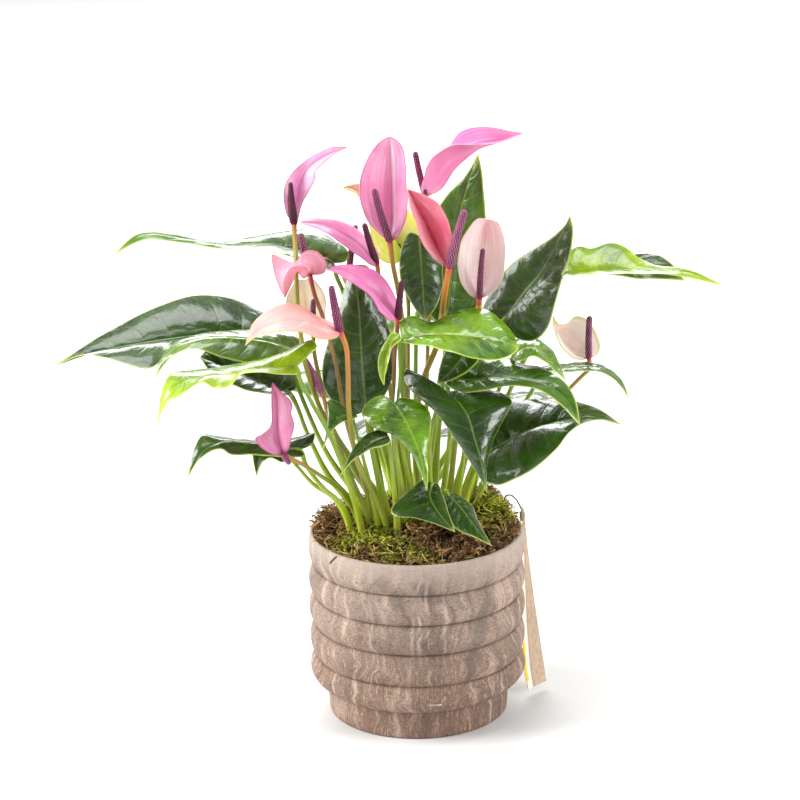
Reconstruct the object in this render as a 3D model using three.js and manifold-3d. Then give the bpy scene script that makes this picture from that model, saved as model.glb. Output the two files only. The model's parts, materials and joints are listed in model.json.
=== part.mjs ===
import * as THREE from 'three';
import Module from 'manifold-3d';
import { mergeVertices } from 'three/addons/utils/BufferGeometryUtils.js';

// Potted anthurium: a ringed pot, its soil and moss, the leaves and flower
// stems that come up through the moss, and a plain card tag on a wire.
// Millimetres, +Z up. The origin is the middle of the pot's flat underside.
// -Y is the side that the plant shows best.

// driving dimensions
const POT_HEIGHT = 133;        // floor to rim
const FOOT_RADIUS = 63;        // plain foot under the rings
const RING_RADIUS = 76;        // widest point of each ring
const GROOVE_RADIUS = 72.2;    // between two rings
const MOUTH_RADIUS = 74.5;     // rim's upper edge
const LIP = 2.5;               // wall at the rim
const WALL = 6;                // wall at the foot
const FLOOR = 8;               // pot floor
const RING_EDGES = [21, 43.2, 66.3, 88, 110, 133]; // the five rings' limits in Z
const SOIL_TOP = 122;          // potting soil's surface
const MOSS_RIM = 131;          // moss at the wall
const MOSS_TOP = 143;          // moss at the crown of the plant
// heaps in the moss: middle x, y, half-widths, height
const HEAPS = [[50, 30, 15, 20, 14], [62, 12, 10, 15, 7], [-62, 6, 13, 22, 8]];
const CLEARANCE = 0.3;         // gap between two pieces that touch
const ROOT_DEPTH = 114;        // how low the stems reach in the soil
const PETIOLE_RADIUS = 1.9;    // leaf stalk
const PEDUNCLE_RADIUS = 1.7;   // flower stalk
const LEAF_THICKNESS = 1.1;    // at the midrib
const SPATHE_THICKNESS = 0.9;
const TAG_THICKNESS = 1.0;
const WIRE_RADIUS = 0.7;

const wasm = await Module();
wasm.setup();

// leaves: midrib from the stalk to the tip, right and left margins, stalk from the soil up
const LEAVES = {
  leaf_01: { look: 'leaf',
    mid: [[-55.6, 8.0, 324.0], [-73.2, 8.0, 332.1], [-96.8, 6.0, 337.9], [-127.3, 2.0, 339.5], [-157.2, -4.0, 346.5], [-180.5, -8.0, 350.0], [-202.3, -12.0, 337.5]],
    right: [[-55.6, 8.0, 324.0], [-46.2, 16.0, 322.4], [-44.1, 26.0, 326.7], [-53.1, 34.0, 333.3], [-68.8, 36.0, 340.2], [-87.3, 30.0, 341.3], [-107.7, 22.0, 339.5], [-134.5, 10.0, 339.6], [-167.5, 0.0, 349.8], [-186.8, -6.0, 349.6], [-202.3, -12.0, 337.5]],
    left: [[-55.6, 8.0, 324.0], [-50.7, -2.0, 321.7], [-59.2, -14.0, 326.6], [-75.7, -22.0, 334.6], [-91.1, -22.0, 339.1], [-104.6, -18.0, 341.0], [-126.6, -10.0, 340.2], [-156.9, -10.0, 344.6], [-180.3, -12.0, 347.6], [-202.3, -12.0, 337.5]],
    stem: [[-12.0, 24.0, 118.0], [-12.0, 24.0, 141.0], [-44.4, 14.0, 274.3], [-47.3, 16.0, 298.8], [-51.8, 14.0, 311.6], [-55.6, 8.0, 324.0]] },
  leaf_02: { look: 'leaf',
    mid: [[-100.2, 10.0, 273.5], [-126.2, 8.0, 275.2], [-163.1, 2.0, 274.0], [-190.1, -4.0, 272.0], [-219.9, -10.0, 267.9], [-245.5, -17.0, 261.2]],
    right: [[-100.2, 10.0, 273.5], [-93.5, 18.0, 275.3], [-97.9, 30.0, 280.5], [-114.7, 36.0, 287.0], [-130.6, 38.0, 292.5], [-149.2, 36.0, 294.8], [-171.7, 28.0, 291.7], [-199.4, 14.0, 281.8], [-220.6, 0.0, 273.4], [-245.5, -17.0, 261.2]],
    left: [[-100.2, 10.0, 273.5], [-97.2, 2.0, 272.2], [-108.5, -6.0, 273.4], [-125.3, -12.0, 274.8], [-142.1, -16.0, 275.5], [-157.4, -22.0, 274.1], [-168.7, -28.0, 269.0], [-179.5, -32.0, 263.0], [-209.1, -24.0, 268.4], [-227.1, -20.0, 268.9], [-245.5, -17.0, 261.2]],
    stem: [[-31.0, -2.0, 118.0], [-31.0, -2.0, 141.0], [-60.6, 2.0, 187.4], [-77.2, 8.0, 225.9], [-88.9, 12.0, 259.0], [-100.2, 10.0, 273.5]] },
  leaf_03: { look: 'leaf',
    mid: [[-77.3, -24.0, 270.5], [-97.3, -28.0, 279.1], [-117.3, -32.0, 283.5], [-140.5, -37.0, 285.4], [-157.2, -42.0, 282.2], [-168.7, -46.0, 273.1], [-176.0, -50.0, 259.0]],
    right: [[-77.3, -24.0, 270.5], [-73.3, -16.0, 273.7], [-84.2, -12.0, 279.8], [-103.3, -10.0, 282.4], [-125.0, -12.0, 282.6], [-145.0, -20.0, 283.2], [-159.2, -32.0, 282.1], [-169.6, -42.0, 274.0], [-176.0, -50.0, 259.0]],
    left: [[-77.3, -24.0, 270.5], [-75.8, -32.0, 265.9], [-87.1, -40.0, 265.7], [-107.0, -46.0, 269.3], [-126.9, -48.0, 274.5], [-143.5, -48.0, 280.3], [-155.5, -48.0, 279.8], [-167.3, -48.0, 270.9], [-176.0, -50.0, 259.0]],
    stem: [[-24.0, 6.0, 118.0], [-24.0, 6.0, 141.0], [-53.6, 4.0, 190.3], [-66.6, 0.0, 226.9], [-73.9, -12.0, 255.3], [-77.3, -24.0, 270.5]] },
  leaf_04: { look: 'lime',
    mid: [[-78.6, -71.0, 273.8], [-97.0, -75.0, 275.3], [-118.7, -79.0, 274.2], [-141.7, -83.0, 272.3], [-156.2, -87.0, 267.6], [-165.6, -90.0, 257.6], [-170.5, -91.0, 240.7]],
    right: [[-78.6, -71.0, 273.8], [-70.6, -65.0, 280.1], [-64.7, -59.0, 284.5], [-68.0, -55.0, 288.2], [-76.2, -51.0, 284.3], [-90.0, -47.0, 276.3], [-106.9, -47.0, 271.7], [-125.0, -49.0, 268.4], [-145.2, -59.0, 269.7], [-162.4, -71.0, 271.0], [-168.1, -81.0, 259.6], [-170.5, -91.0, 240.7]],
    left: [[-78.6, -71.0, 273.8], [-77.8, -79.0, 272.1], [-84.7, -87.0, 274.7], [-100.1, -95.0, 278.2], [-114.3, -101.0, 278.9], [-120.9, -103.0, 272.1], [-130.8, -103.0, 270.9], [-138.6, -101.0, 274.5], [-150.8, -99.0, 266.5], [-162.7, -94.0, 257.5], [-167.7, -92.0, 250.0], [-170.5, -91.0, 240.7]],
    stem: [[-38.0, -23.0, 118.0], [-38.0, -23.0, 141.0], [-56.3, -52.0, 216.5], [-68.2, -62.0, 244.9], [-76.3, -66.0, 263.8], [-78.6, -71.0, 273.8]] },
  leaf_05: { look: 'leaf',
    mid: [[-87.3, 6.0, 232.6], [-98.3, 6.0, 236.4], [-114.0, 6.0, 243.9], [-130.3, 6.0, 251.4], [-147.3, 6.0, 258.9]],
    right: [[-87.3, 6.0, 232.6], [-81.9, 12.0, 233.5], [-83.4, 20.0, 239.7], [-96.6, 26.0, 247.5], [-117.4, 28.0, 253.8], [-134.3, 22.0, 259.6], [-143.6, 14.0, 260.7], [-147.3, 6.0, 258.9]],
    left: [[-87.3, 6.0, 232.6], [-84.3, -2.0, 232.2], [-95.7, -10.0, 236.4], [-111.8, -16.0, 240.7], [-125.3, -16.0, 245.3], [-136.4, -10.0, 250.7], [-142.9, -2.0, 254.8], [-147.3, 6.0, 258.9]],
    stem: [[-39.0, 4.0, 118.0], [-39.0, 4.0, 141.0], [-61.0, 4.0, 172.0], [-75.6, 6.0, 204.6], [-82.0, 6.0, 223.7], [-87.3, 6.0, 232.6]] },
  leaf_06: { shoot: 'leaf_06_pair', look: 'leaf',
    mid: [[-78.7, -34.0, 203.6], [-92.1, -38.0, 208.1], [-112.2, -42.0, 212.0], [-130.9, -48.0, 215.0], [-143.6, -54.0, 210.1], [-154.4, -58.0, 193.1]],
    right: [[-78.7, -34.0, 203.6], [-70.6, -28.0, 205.8], [-69.3, -20.0, 211.0], [-80.5, -14.0, 206.3], [-96.5, -12.0, 203.7], [-114.3, -16.0, 203.9], [-128.2, -24.0, 208.3], [-137.0, -34.0, 214.7], [-144.6, -42.0, 218.5], [-151.2, -52.0, 207.4], [-154.4, -58.0, 193.1]],
    left: [[-78.7, -34.0, 203.6], [-75.9, -38.0, 200.6], [-86.6, -44.0, 202.2], [-100.0, -48.0, 204.5], [-112.8, -50.0, 206.1], [-125.4, -54.0, 208.4], [-131.2, -56.0, 212.7], [-138.7, -56.0, 210.7], [-146.9, -58.0, 204.4], [-154.4, -58.0, 193.1]],
    stem: [[-46.0, -19.0, 118.0], [-46.0, -19.0, 141.0], [-52.3, -30.0, 163.3], [-63.6, -34.0, 175.9], [-74.8, -36.0, 193.4], [-78.7, -34.0, 203.6]] },
  leaf_07: { shoot: 'leaf_06_pair', look: 'leaf',
    mid: [[-90.1, -22.0, 198.3], [-99.6, -24.0, 201.3], [-106.3, -30.0, 198.4], [-108.8, -36.0, 185.3]],
    right: [[-90.1, -22.0, 198.3], [-89.6, -14.0, 201.4], [-98.6, -12.0, 203.8], [-108.1, -16.0, 204.5], [-112.7, -22.0, 203.0], [-111.2, -31.0, 195.2], [-108.8, -36.0, 185.3]],
    left: [[-90.1, -22.0, 198.3], [-85.9, -28.0, 195.9], [-91.2, -34.0, 195.2], [-99.1, -38.0, 199.6], [-104.7, -38.0, 195.3], [-108.8, -36.0, 185.3]],
    stem: [[-46.0, -19.0, 118.0], [-46.0, -19.0, 141.0], [-55.8, -24.0, 164.1], [-70.7, -24.0, 175.4], [-84.8, -23.0, 192.7], [-90.1, -22.0, 198.3]] },
  leaf_08: { look: 'leaf',
    mid: [[-33.4, -12.0, 223.7], [-35.0, -12.0, 246.1], [-36.0, -10.0, 270.6], [-36.9, -4.0, 293.7], [-39.9, 6.0, 319.3]],
    right: [[-33.4, -12.0, 223.7], [-26.5, -6.0, 225.3], [-18.8, -2.0, 234.0], [-13.7, 0.0, 249.2], [-13.5, 2.0, 264.4], [-17.3, 3.0, 280.7], [-23.9, 6.0, 297.8], [-31.9, 8.0, 311.6], [-39.9, 6.0, 319.3]],
    left: [[-33.4, -12.0, 223.7], [-43.1, -8.0, 219.7], [-52.7, -6.0, 225.0], [-60.1, -4.0, 234.6], [-63.2, -3.0, 249.5], [-60.9, -2.0, 263.5], [-55.8, 0.0, 278.6], [-50.0, 4.0, 295.2], [-44.9, 7.0, 312.0], [-39.9, 6.0, 319.3]],
    stem: [[-20.0, -12.0, 118.0], [-20.0, -12.0, 141.0], [-31.0, -14.0, 203.3], [-33.4, -12.0, 223.7]] },
  leaf_09: { look: 'leaf',
    mid: [[23.8, 40.0, 274.1], [26.1, 40.0, 294.4], [28.5, 40.0, 319.6], [35.0, 38.0, 355.8], [46.2, 34.0, 393.3]],
    right: [[23.8, 40.0, 274.1], [31.4, 36.0, 270.1], [41.1, 32.0, 278.4], [48.1, 30.0, 296.9], [51.1, 30.0, 322.0], [51.3, 32.0, 342.8], [50.0, 33.0, 363.9], [48.8, 33.0, 380.1], [46.2, 34.0, 393.3]],
    left: [[23.8, 40.0, 274.1], [17.5, 42.0, 270.7], [10.0, 46.0, 279.9], [6.8, 48.0, 299.7], [8.5, 48.0, 321.4], [14.3, 46.0, 343.4], [24.8, 42.0, 362.0], [34.5, 39.0, 373.2], [42.0, 36.0, 384.4], [46.2, 34.0, 393.3]],
    stem: [[13.0, 46.0, 118.0], [13.0, 46.0, 141.0], [23.0, 42.0, 253.8], [23.8, 40.0, 274.1]] },
  leaf_10: { look: 'leaf',
    mid: [[4.9, 16.8, 339.8], [6.0, 12.8, 322.4], [7.1, 11.0, 303.0], [8.2, 11.0, 280.0]],
    right: [[4.9, 16.8, 339.8], [-1.2, 18.8, 342.2], [-6.9, 18.8, 333.0], [-8.8, 17.0, 321.5], [-7.9, 13.0, 308.3], [-0.6, 11.0, 293.1], [8.2, 11.0, 280.0]],
    left: [[4.9, 16.8, 339.8], [11.1, 18.8, 342.0], [17.2, 20.8, 334.2], [20.5, 21.0, 319.9], [20.9, 17.0, 304.6], [15.9, 13.0, 290.8], [8.2, 11.0, 280.0]],
    stem: [[1.0, 42.0, 118.0], [1.0, 42.0, 141.0], [2.0, 38.0, 259.1], [5.2, 39.0, 295.1], [7.3, 34.0, 324.5], [4.9, 16.8, 339.8]] },
  leaf_11: { look: 'leaf',
    mid: [[61.3, 12.0, 278.9], [77.1, 10.0, 301.4], [90.0, 8.0, 318.1], [100.6, 2.0, 340.7], [107.0, -4.0, 358.3]],
    right: [[61.3, 12.0, 278.9], [66.6, 8.0, 272.1], [74.7, 4.0, 268.1], [82.1, 0.0, 268.8], [87.4, -4.0, 273.2], [91.4, -6.0, 279.4], [96.0, -8.0, 293.4], [100.1, -8.0, 308.9], [105.5, -8.0, 327.2], [108.7, -6.0, 341.3], [109.0, -5.0, 350.1], [107.0, -4.0, 358.3]],
    left: [[61.3, 12.0, 278.9], [54.5, 16.0, 274.9], [47.7, 20.0, 282.5], [50.6, 22.0, 291.9], [58.3, 22.0, 304.0], [65.9, 20.0, 315.9], [78.1, 16.0, 326.7], [93.5, 8.0, 338.5], [103.9, 0.0, 350.3], [107.0, -4.0, 358.3]],
    stem: [[29.0, 46.0, 118.0], [29.0, 46.0, 141.0], [53.2, 28.0, 232.0], [58.7, 20.0, 259.9], [61.3, 12.0, 278.9]] },
  leaf_12: { look: 'lime',
    mid: [[106.1, 25.0, 309.6], [129.3, 22.0, 310.7], [156.4, 16.0, 313.4], [183.1, 8.0, 314.4], [199.9, 4.0, 311.0], [213.3, 0.0, 305.5]],
    right: [[106.1, 25.0, 309.6], [102.9, 18.0, 308.7], [111.3, 8.0, 310.6], [127.8, 0.0, 315.4], [144.6, -4.0, 316.6], [161.6, -4.0, 316.0], [182.0, -4.0, 314.3], [195.9, -2.0, 310.6], [213.3, 0.0, 305.5]],
    left: [[106.1, 25.0, 309.6], [102.3, 32.0, 312.7], [106.8, 38.0, 319.6], [115.9, 40.0, 324.7], [124.2, 40.0, 323.1], [138.1, 40.0, 326.5], [147.5, 36.0, 324.5], [155.4, 30.0, 318.8], [167.0, 20.0, 316.0], [190.0, 8.0, 315.0], [213.3, 0.0, 305.5]],
    stem: [[39.0, 38.0, 118.0], [39.0, 38.0, 141.0], [67.6, 38.0, 221.2], [81.7, 38.0, 254.1], [92.7, 34.0, 280.6], [100.1, 30.0, 299.7], [106.1, 25.0, 309.6]] },
  leaf_13: { shoot: 'leaf_13_pair', look: 'leaf',
    mid: [[110.5, 54.0, 305.1], [131.5, 54.0, 309.1], [150.9, 52.0, 309.3], [169.5, 48.0, 307.2], [190.0, 42.0, 297.7]],
    right: [[110.5, 54.0, 305.1], [108.9, 50.0, 303.3], [120.5, 45.0, 303.1], [139.1, 42.0, 302.9], [158.3, 38.0, 301.1], [174.3, 38.0, 300.2], [183.5, 40.0, 299.1], [190.0, 42.0, 297.7]],
    left: [[110.5, 54.0, 305.1], [107.9, 58.0, 308.4], [118.1, 63.0, 311.2], [132.3, 66.0, 313.1], [146.5, 68.0, 314.1], [160.4, 66.0, 313.3], [175.0, 56.0, 311.5], [182.8, 48.0, 307.0], [190.0, 42.0, 297.7]],
    stem: [[35.0, 50.0, 118.0], [35.0, 50.0, 141.0], [71.7, 52.0, 224.1], [85.4, 58.0, 251.7], [96.7, 58.0, 280.9], [105.0, 56.0, 299.5], [110.5, 54.0, 305.1]] },
  leaf_14: { look: 'leaf',
    mid: [[-7.2, -44.0, 285.3], [7.5, -46.0, 287.8], [27.6, -48.0, 288.0], [47.6, -50.0, 286.2], [60.9, -52.0, 283.8], [70.2, -54.0, 279.4]],
    right: [[-7.2, -44.0, 285.3], [-8.0, -50.0, 284.3], [-1.3, -58.0, 285.2], [10.6, -66.0, 286.1], [23.7, -72.0, 283.5], [38.3, -72.0, 279.1], [51.7, -68.0, 276.3], [62.6, -61.0, 276.0], [70.2, -54.0, 279.4]],
    left: [[-7.2, -44.0, 285.3], [-9.2, -38.0, 289.1], [-8.4, -30.0, 293.8], [-0.2, -24.0, 294.4], [11.3, -20.0, 289.1], [24.3, -16.0, 293.4], [37.3, -14.0, 296.5], [50.7, -18.0, 295.7], [61.2, -28.0, 290.0], [68.0, -42.0, 284.2], [70.2, -54.0, 279.4]],
    stem: [[-3.0, 2.0, 118.0], [-3.0, 2.0, 141.0], [-7.3, -16.0, 225.3], [-8.9, -28.0, 256.4], [-8.0, -38.0, 277.2], [-7.2, -44.0, 285.3]] },
  leaf_15: { look: 'leaf',
    mid: [[21.8, -18.0, 248.5], [38.0, -22.0, 248.0], [55.0, -26.0, 251.2], [71.8, -30.0, 250.7], [90.5, -36.0, 247.3], [103.1, -42.0, 238.4], [111.6, -48.0, 223.1]],
    right: [[21.8, -18.0, 248.5], [21.5, -28.0, 246.6], [32.2, -38.0, 244.7], [45.5, -44.0, 247.1], [61.0, -46.0, 250.3], [77.9, -46.0, 250.0], [90.0, -47.0, 244.5], [99.4, -48.0, 236.8], [106.7, -49.0, 228.5], [111.6, -48.0, 223.1]],
    left: [[21.8, -18.0, 248.5], [17.9, -8.0, 251.2], [26.3, 2.0, 255.8], [44.4, 6.0, 257.9], [62.9, 2.0, 256.7], [75.6, -6.0, 253.2], [86.3, -12.0, 253.4], [96.6, -24.0, 251.3], [104.2, -34.0, 246.5], [109.2, -42.0, 237.6], [111.6, -48.0, 223.1]],
    stem: [[18.0, 8.0, 118.0], [18.0, 8.0, 141.0], [24.4, -2.0, 205.7], [23.1, -14.0, 237.1], [21.8, -18.0, 248.5]] },
  leaf_16: { look: 'leaf',
    mid: [[91.2, 5.0, 245.9], [107.6, 2.0, 248.7], [124.6, -2.0, 249.7], [136.7, -6.0, 245.0], [144.0, -10.0, 237.5], [147.4, -12.0, 228.7]],
    right: [[91.2, 5.0, 245.9], [90.3, 0.0, 244.6], [100.3, -6.0, 247.7], [113.8, -10.0, 249.5], [125.4, -10.0, 248.6], [134.9, -12.0, 245.5], [141.8, -12.0, 238.1], [147.4, -12.0, 228.7]],
    left: [[91.2, 5.0, 245.9], [88.1, 12.0, 245.9], [96.2, 20.0, 244.8], [112.4, 24.0, 244.0], [126.1, 20.0, 245.0], [137.2, 10.0, 242.9], [144.0, -2.0, 237.8], [147.4, -12.0, 228.7]],
    stem: [[43.0, 28.0, 118.0], [43.0, 28.0, 141.0], [70.1, 16.0, 206.2], [87.3, 10.0, 238.6], [91.2, 5.0, 245.9]] },
  leaf_17: { look: 'leaf',
    mid: [[70.4, 0.0, 260.0], [78.5, -2.0, 264.8], [86.6, -6.0, 263.8], [93.9, -10.0, 257.0], [104.3, -14.0, 243.7]],
    right: [[70.4, 0.0, 260.0], [67.9, -10.0, 258.1], [72.3, -18.0, 259.8], [80.4, -22.0, 264.5], [87.8, -22.0, 260.8], [94.7, -20.0, 254.3], [104.3, -14.0, 243.7]],
    left: [[70.4, 0.0, 260.0], [68.6, 8.0, 263.4], [77.2, 14.0, 265.8], [87.4, 12.0, 265.5], [94.6, 4.0, 261.3], [99.6, -6.0, 254.2], [104.3, -14.0, 243.7]],
    stem: [[36.0, 20.0, 118.0], [36.0, 20.0, 141.0], [56.1, 10.0, 223.1], [66.1, -2.0, 252.1], [70.4, 0.0, 260.0]] },
  leaf_18: { look: 'leaf',
    mid: [[50.1, -20.0, 194.6], [67.1, -24.0, 206.5], [82.0, -28.0, 214.8], [100.3, -32.0, 220.9], [118.9, -38.0, 225.4], [140.1, -46.0, 222.0]],
    right: [[50.1, -20.0, 194.6], [44.3, -28.0, 190.9], [43.9, -38.0, 184.9], [49.1, -46.0, 181.9], [57.1, -52.0, 182.4], [73.2, -58.0, 191.4], [84.6, -60.0, 199.8], [95.5, -58.0, 210.4], [103.2, -52.0, 218.2], [113.8, -44.0, 222.5], [126.8, -42.0, 224.5], [140.1, -46.0, 222.0]],
    left: [[50.1, -20.0, 194.6], [44.8, -14.0, 198.4], [46.5, -6.0, 210.3], [55.8, 2.0, 219.1], [67.0, 6.0, 222.7], [80.2, 6.0, 224.0], [95.2, 2.0, 226.5], [111.1, -10.0, 227.9], [126.5, -26.0, 226.4], [140.1, -46.0, 222.0]],
    stem: [[33.0, 8.0, 118.0], [33.0, 8.0, 141.0], [39.5, 4.0, 170.3], [44.8, -10.0, 184.6], [50.1, -20.0, 194.6]] },
  leaf_19: { look: 'leaf',
    mid: [[20.6, -43.0, 245.0], [29.1, -51.0, 241.8], [35.6, -59.0, 233.7], [39.4, -65.0, 221.5], [43.2, -69.0, 208.6], [47.7, -71.0, 183.6]],
    right: [[20.6, -43.0, 245.0], [11.9, -37.0, 248.9], [2.6, -29.0, 253.7], [-5.5, -25.0, 257.6], [-7.0, -29.0, 251.7], [-1.0, -39.0, 244.8], [10.3, -49.0, 237.9], [20.1, -57.0, 228.3], [28.6, -63.0, 216.7], [36.5, -67.0, 204.5], [43.1, -70.0, 193.3], [47.7, -71.0, 183.6]],
    left: [[20.6, -43.0, 245.0], [25.5, -33.0, 243.9], [34.4, -28.0, 242.9], [51.5, -28.0, 242.6], [61.5, -32.0, 240.1], [65.9, -40.0, 237.6], [63.0, -45.0, 232.9], [56.6, -53.0, 223.6], [50.9, -59.0, 212.2], [48.0, -65.0, 202.2], [47.4, -69.0, 192.2], [47.7, -71.0, 183.6]],
    stem: [[11.0, -4.0, 118.0], [11.0, -4.0, 141.0], [10.3, -16.0, 203.3], [17.3, -30.0, 236.6], [20.6, -43.0, 245.0]] },
  leaf_20: { look: 'leaf',
    mid: [[-14.0, -45.0, 239.9], [-6.7, -54.0, 230.6], [-1.5, -60.0, 220.5], [3.0, -65.0, 209.3], [7.3, -70.0, 185.3]],
    right: [[-14.0, -45.0, 239.9], [-20.0, -38.0, 242.7], [-27.5, -32.0, 239.5], [-34.5, -32.0, 233.1], [-35.9, -38.0, 228.7], [-27.1, -48.0, 223.3], [-16.3, -54.0, 220.8], [-9.0, -58.0, 216.4], [-2.4, -62.0, 208.4], [2.8, -66.0, 198.3], [7.3, -70.0, 185.3]],
    left: [[-14.0, -45.0, 239.9], [-9.9, -42.0, 242.4], [-1.8, -42.0, 241.5], [6.3, -46.0, 238.4], [10.2, -50.0, 233.3], [10.7, -54.0, 226.8], [9.2, -58.0, 217.5], [7.7, -63.0, 207.1], [8.2, -67.0, 197.8], [7.3, -70.0, 185.3]],
    stem: [[-7.0, -20.0, 118.0], [-7.0, -20.0, 141.0], [-13.2, -26.0, 199.8], [-14.1, -34.0, 227.7], [-14.0, -45.0, 239.9]] },
  leaf_21: { shoot: 'leaf_21_pair', look: 'leaf',
    mid: [[11.2, -30.0, 176.1], [9.6, -40.0, 170.3], [16.1, -50.0, 160.7], [26.1, -58.0, 151.1]],
    right: [[11.2, -30.0, 176.1], [5.7, -26.0, 178.4], [-5.4, -32.0, 171.3], [-15.1, -38.0, 164.1], [-17.3, -42.0, 160.5], [-13.9, -46.0, 159.0], [-1.6, -50.0, 158.8], [12.6, -54.0, 155.7], [26.1, -58.0, 151.1]],
    left: [[11.2, -30.0, 176.1], [15.3, -28.0, 175.3], [18.6, -34.0, 168.7], [22.4, -46.0, 159.9], [24.9, -54.0, 154.8], [26.1, -58.0, 151.1]],
    stem: [[9.0, -10.0, 118.0], [9.0, -10.0, 141.0], [10.6, -16.0, 166.8], [11.2, -30.0, 176.1]] },
  leaf_22: { shoot: 'leaf_21_pair', look: 'leaf',
    mid: [[20.9, -20.0, 166.6], [30.2, -30.0, 159.7], [39.5, -42.0, 150.1], [51.3, -56.0, 139.8]],
    right: [[20.9, -20.0, 166.6], [19.3, -26.0, 162.9], [21.8, -36.0, 155.5], [27.0, -46.0, 148.9], [37.8, -52.0, 145.8], [44.5, -55.0, 143.2], [51.3, -56.0, 139.8]],
    left: [[20.9, -20.0, 166.6], [23.8, -14.0, 165.8], [29.2, -16.0, 162.8], [38.7, -24.0, 157.4], [43.1, -36.0, 149.3], [47.5, -48.0, 144.2], [51.3, -56.0, 139.8]],
    stem: [[9.0, -10.0, 118.0], [9.0, -10.0, 141.0], [20.3, -10.0, 161.5], [20.9, -20.0, 166.6]] },
  leaf_23: { look: 'leaf',
    mid: [[-18.4, -52.0, 218.8], [-29.2, -56.0, 215.3], [-40.1, -60.0, 207.6], [-51.1, -66.0, 195.6]],
    right: [[-18.4, -52.0, 218.8], [-19.7, -46.0, 221.1], [-25.1, -42.0, 219.8], [-33.3, -44.0, 217.0], [-39.4, -50.0, 213.5], [-44.2, -56.0, 207.7], [-47.7, -62.0, 201.3], [-51.1, -66.0, 195.6]],
    left: [[-18.4, -52.0, 218.8], [-17.1, -58.0, 216.5], [-21.1, -62.0, 215.1], [-29.9, -64.0, 213.8], [-38.7, -66.0, 208.9], [-44.2, -67.0, 205.1], [-48.3, -67.0, 199.5], [-51.1, -66.0, 195.6]],
    stem: [[-13.0, -26.0, 118.0], [-13.0, -26.0, 141.0], [-17.2, -44.0, 206.0], [-18.4, -52.0, 218.8]] },
  leaf_24: { look: 'lime',
    mid: [[-9.9, -56.0, 291.7], [-15.3, -58.6, 287.0], [-19.2, -60.5, 276.3], [-20.4, -62.3, 257.9]],
    right: [[-9.9, -56.0, 291.7], [-13.9, -54.0, 292.6], [-18.6, -57.0, 287.3], [-23.4, -60.0, 278.5], [-24.2, -61.0, 270.5], [-23.0, -61.0, 263.5], [-20.4, -62.3, 257.9]],
    left: [[-9.9, -56.0, 291.7], [-8.6, -58.0, 288.8], [-14.7, -62.0, 283.9], [-16.8, -64.0, 276.2], [-19.3, -64.0, 267.1], [-20.4, -62.3, 257.9]],
    stem: [[-1.0, -11.0, 118.0], [-1.0, -11.0, 141.0], [-11.4, -28.0, 229.3], [-9.6, -38.0, 257.4], [-10.0, -48.0, 281.6], [-9.9, -56.0, 291.7]] },
  leaf_25: { look: 'leaf',
    mid: [[38.4, -14.0, 270.6], [32.8, -18.0, 262.6], [25.8, -22.0, 255.4], [15.5, -26.0, 246.8]],
    right: [[38.4, -14.0, 270.6], [33.1, -8.0, 273.8], [24.9, -8.0, 269.7], [19.9, -14.0, 262.3], [17.0, -20.0, 254.9], [15.5, -26.0, 246.8]],
    left: [[38.4, -14.0, 270.6], [43.8, -18.0, 268.8], [44.3, -22.0, 262.9], [36.6, -26.0, 255.7], [25.7, -28.0, 250.1], [15.5, -26.0, 246.8]],
    stem: [[29.0, 18.0, 118.0], [29.0, 18.0, 141.0], [40.3, 18.0, 220.8], [43.2, 16.0, 247.6], [43.2, 12.0, 259.0], [38.4, -14.0, 270.6]] },
  leaf_26: { look: 'leaf',
    mid: [[-44.1, -32.0, 228.3], [-52.2, -36.0, 226.1], [-59.1, -42.0, 218.2], [-63.3, -48.0, 207.4]],
    right: [[-44.1, -32.0, 228.3], [-47.5, -28.0, 231.3], [-54.9, -26.0, 236.5], [-58.9, -28.0, 237.3], [-59.0, -34.0, 228.5], [-60.5, -41.0, 217.2], [-63.3, -48.0, 207.4]],
    left: [[-44.1, -32.0, 228.3], [-38.6, -36.0, 228.1], [-42.7, -40.0, 226.6], [-48.7, -44.0, 226.6], [-54.9, -47.0, 222.7], [-59.0, -48.0, 216.7], [-63.3, -48.0, 207.4]],
    stem: [[-26.0, -21.5, 118.0], [-26.0, -21.5, 141.0], [-41.5, -30.0, 219.7], [-44.1, -32.0, 228.3]] },
  leaf_27: { shoot: 'leaf_27_pair', look: 'leaf',
    mid: [[-29.0, 44.0, 249.0], [-36.2, 72.0, 253.2], [-43.5, 100.0, 257.6], [-49.0, 134.0, 255.4]],
    right: [[-29.0, 44.0, 249.0], [-22.0, 48.0, 250.6], [-14.8, 58.0, 256.3], [-12.5, 78.0, 263.6], [-24.6, 104.0, 268.2], [-37.8, 122.0, 263.2], [-49.0, 134.0, 255.4]],
    left: [[-29.0, 44.0, 249.0], [-34.7, 42.0, 246.7], [-47.3, 48.0, 249.5], [-57.4, 64.0, 253.7], [-60.5, 88.0, 258.5], [-56.6, 114.0, 258.3], [-49.0, 134.0, 255.4]],
    stem: [[-16.0, 46.0, 118.0], [-16.0, 46.0, 141.0], [-27.8, 38.0, 236.1], [-29.0, 44.0, 249.0]] },
  leaf_28: { shoot: 'leaf_28_pair', look: 'leaf',
    mid: [[23.3, 62.0, 253.0], [26.8, 90.0, 259.4], [31.1, 118.0, 266.2], [36.9, 150.0, 263.1]],
    right: [[23.3, 62.0, 253.0], [31.8, 62.0, 252.8], [43.5, 72.0, 255.6], [49.9, 94.0, 262.4], [47.8, 122.0, 267.8], [42.5, 140.0, 267.3], [36.9, 150.0, 263.1]],
    left: [[23.3, 62.0, 253.0], [14.9, 64.0, 252.5], [5.1, 76.0, 255.0], [1.1, 98.0, 262.0], [7.2, 122.0, 267.0], [22.1, 142.0, 267.1], [36.9, 150.0, 263.1]],
    stem: [[9.0, 54.0, 118.0], [9.0, 54.0, 141.0], [21.6, 56.0, 237.1], [23.3, 62.0, 253.0]] },
  leaf_29: { shoot: 'leaf_28_pair', look: 'leaf',
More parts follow.
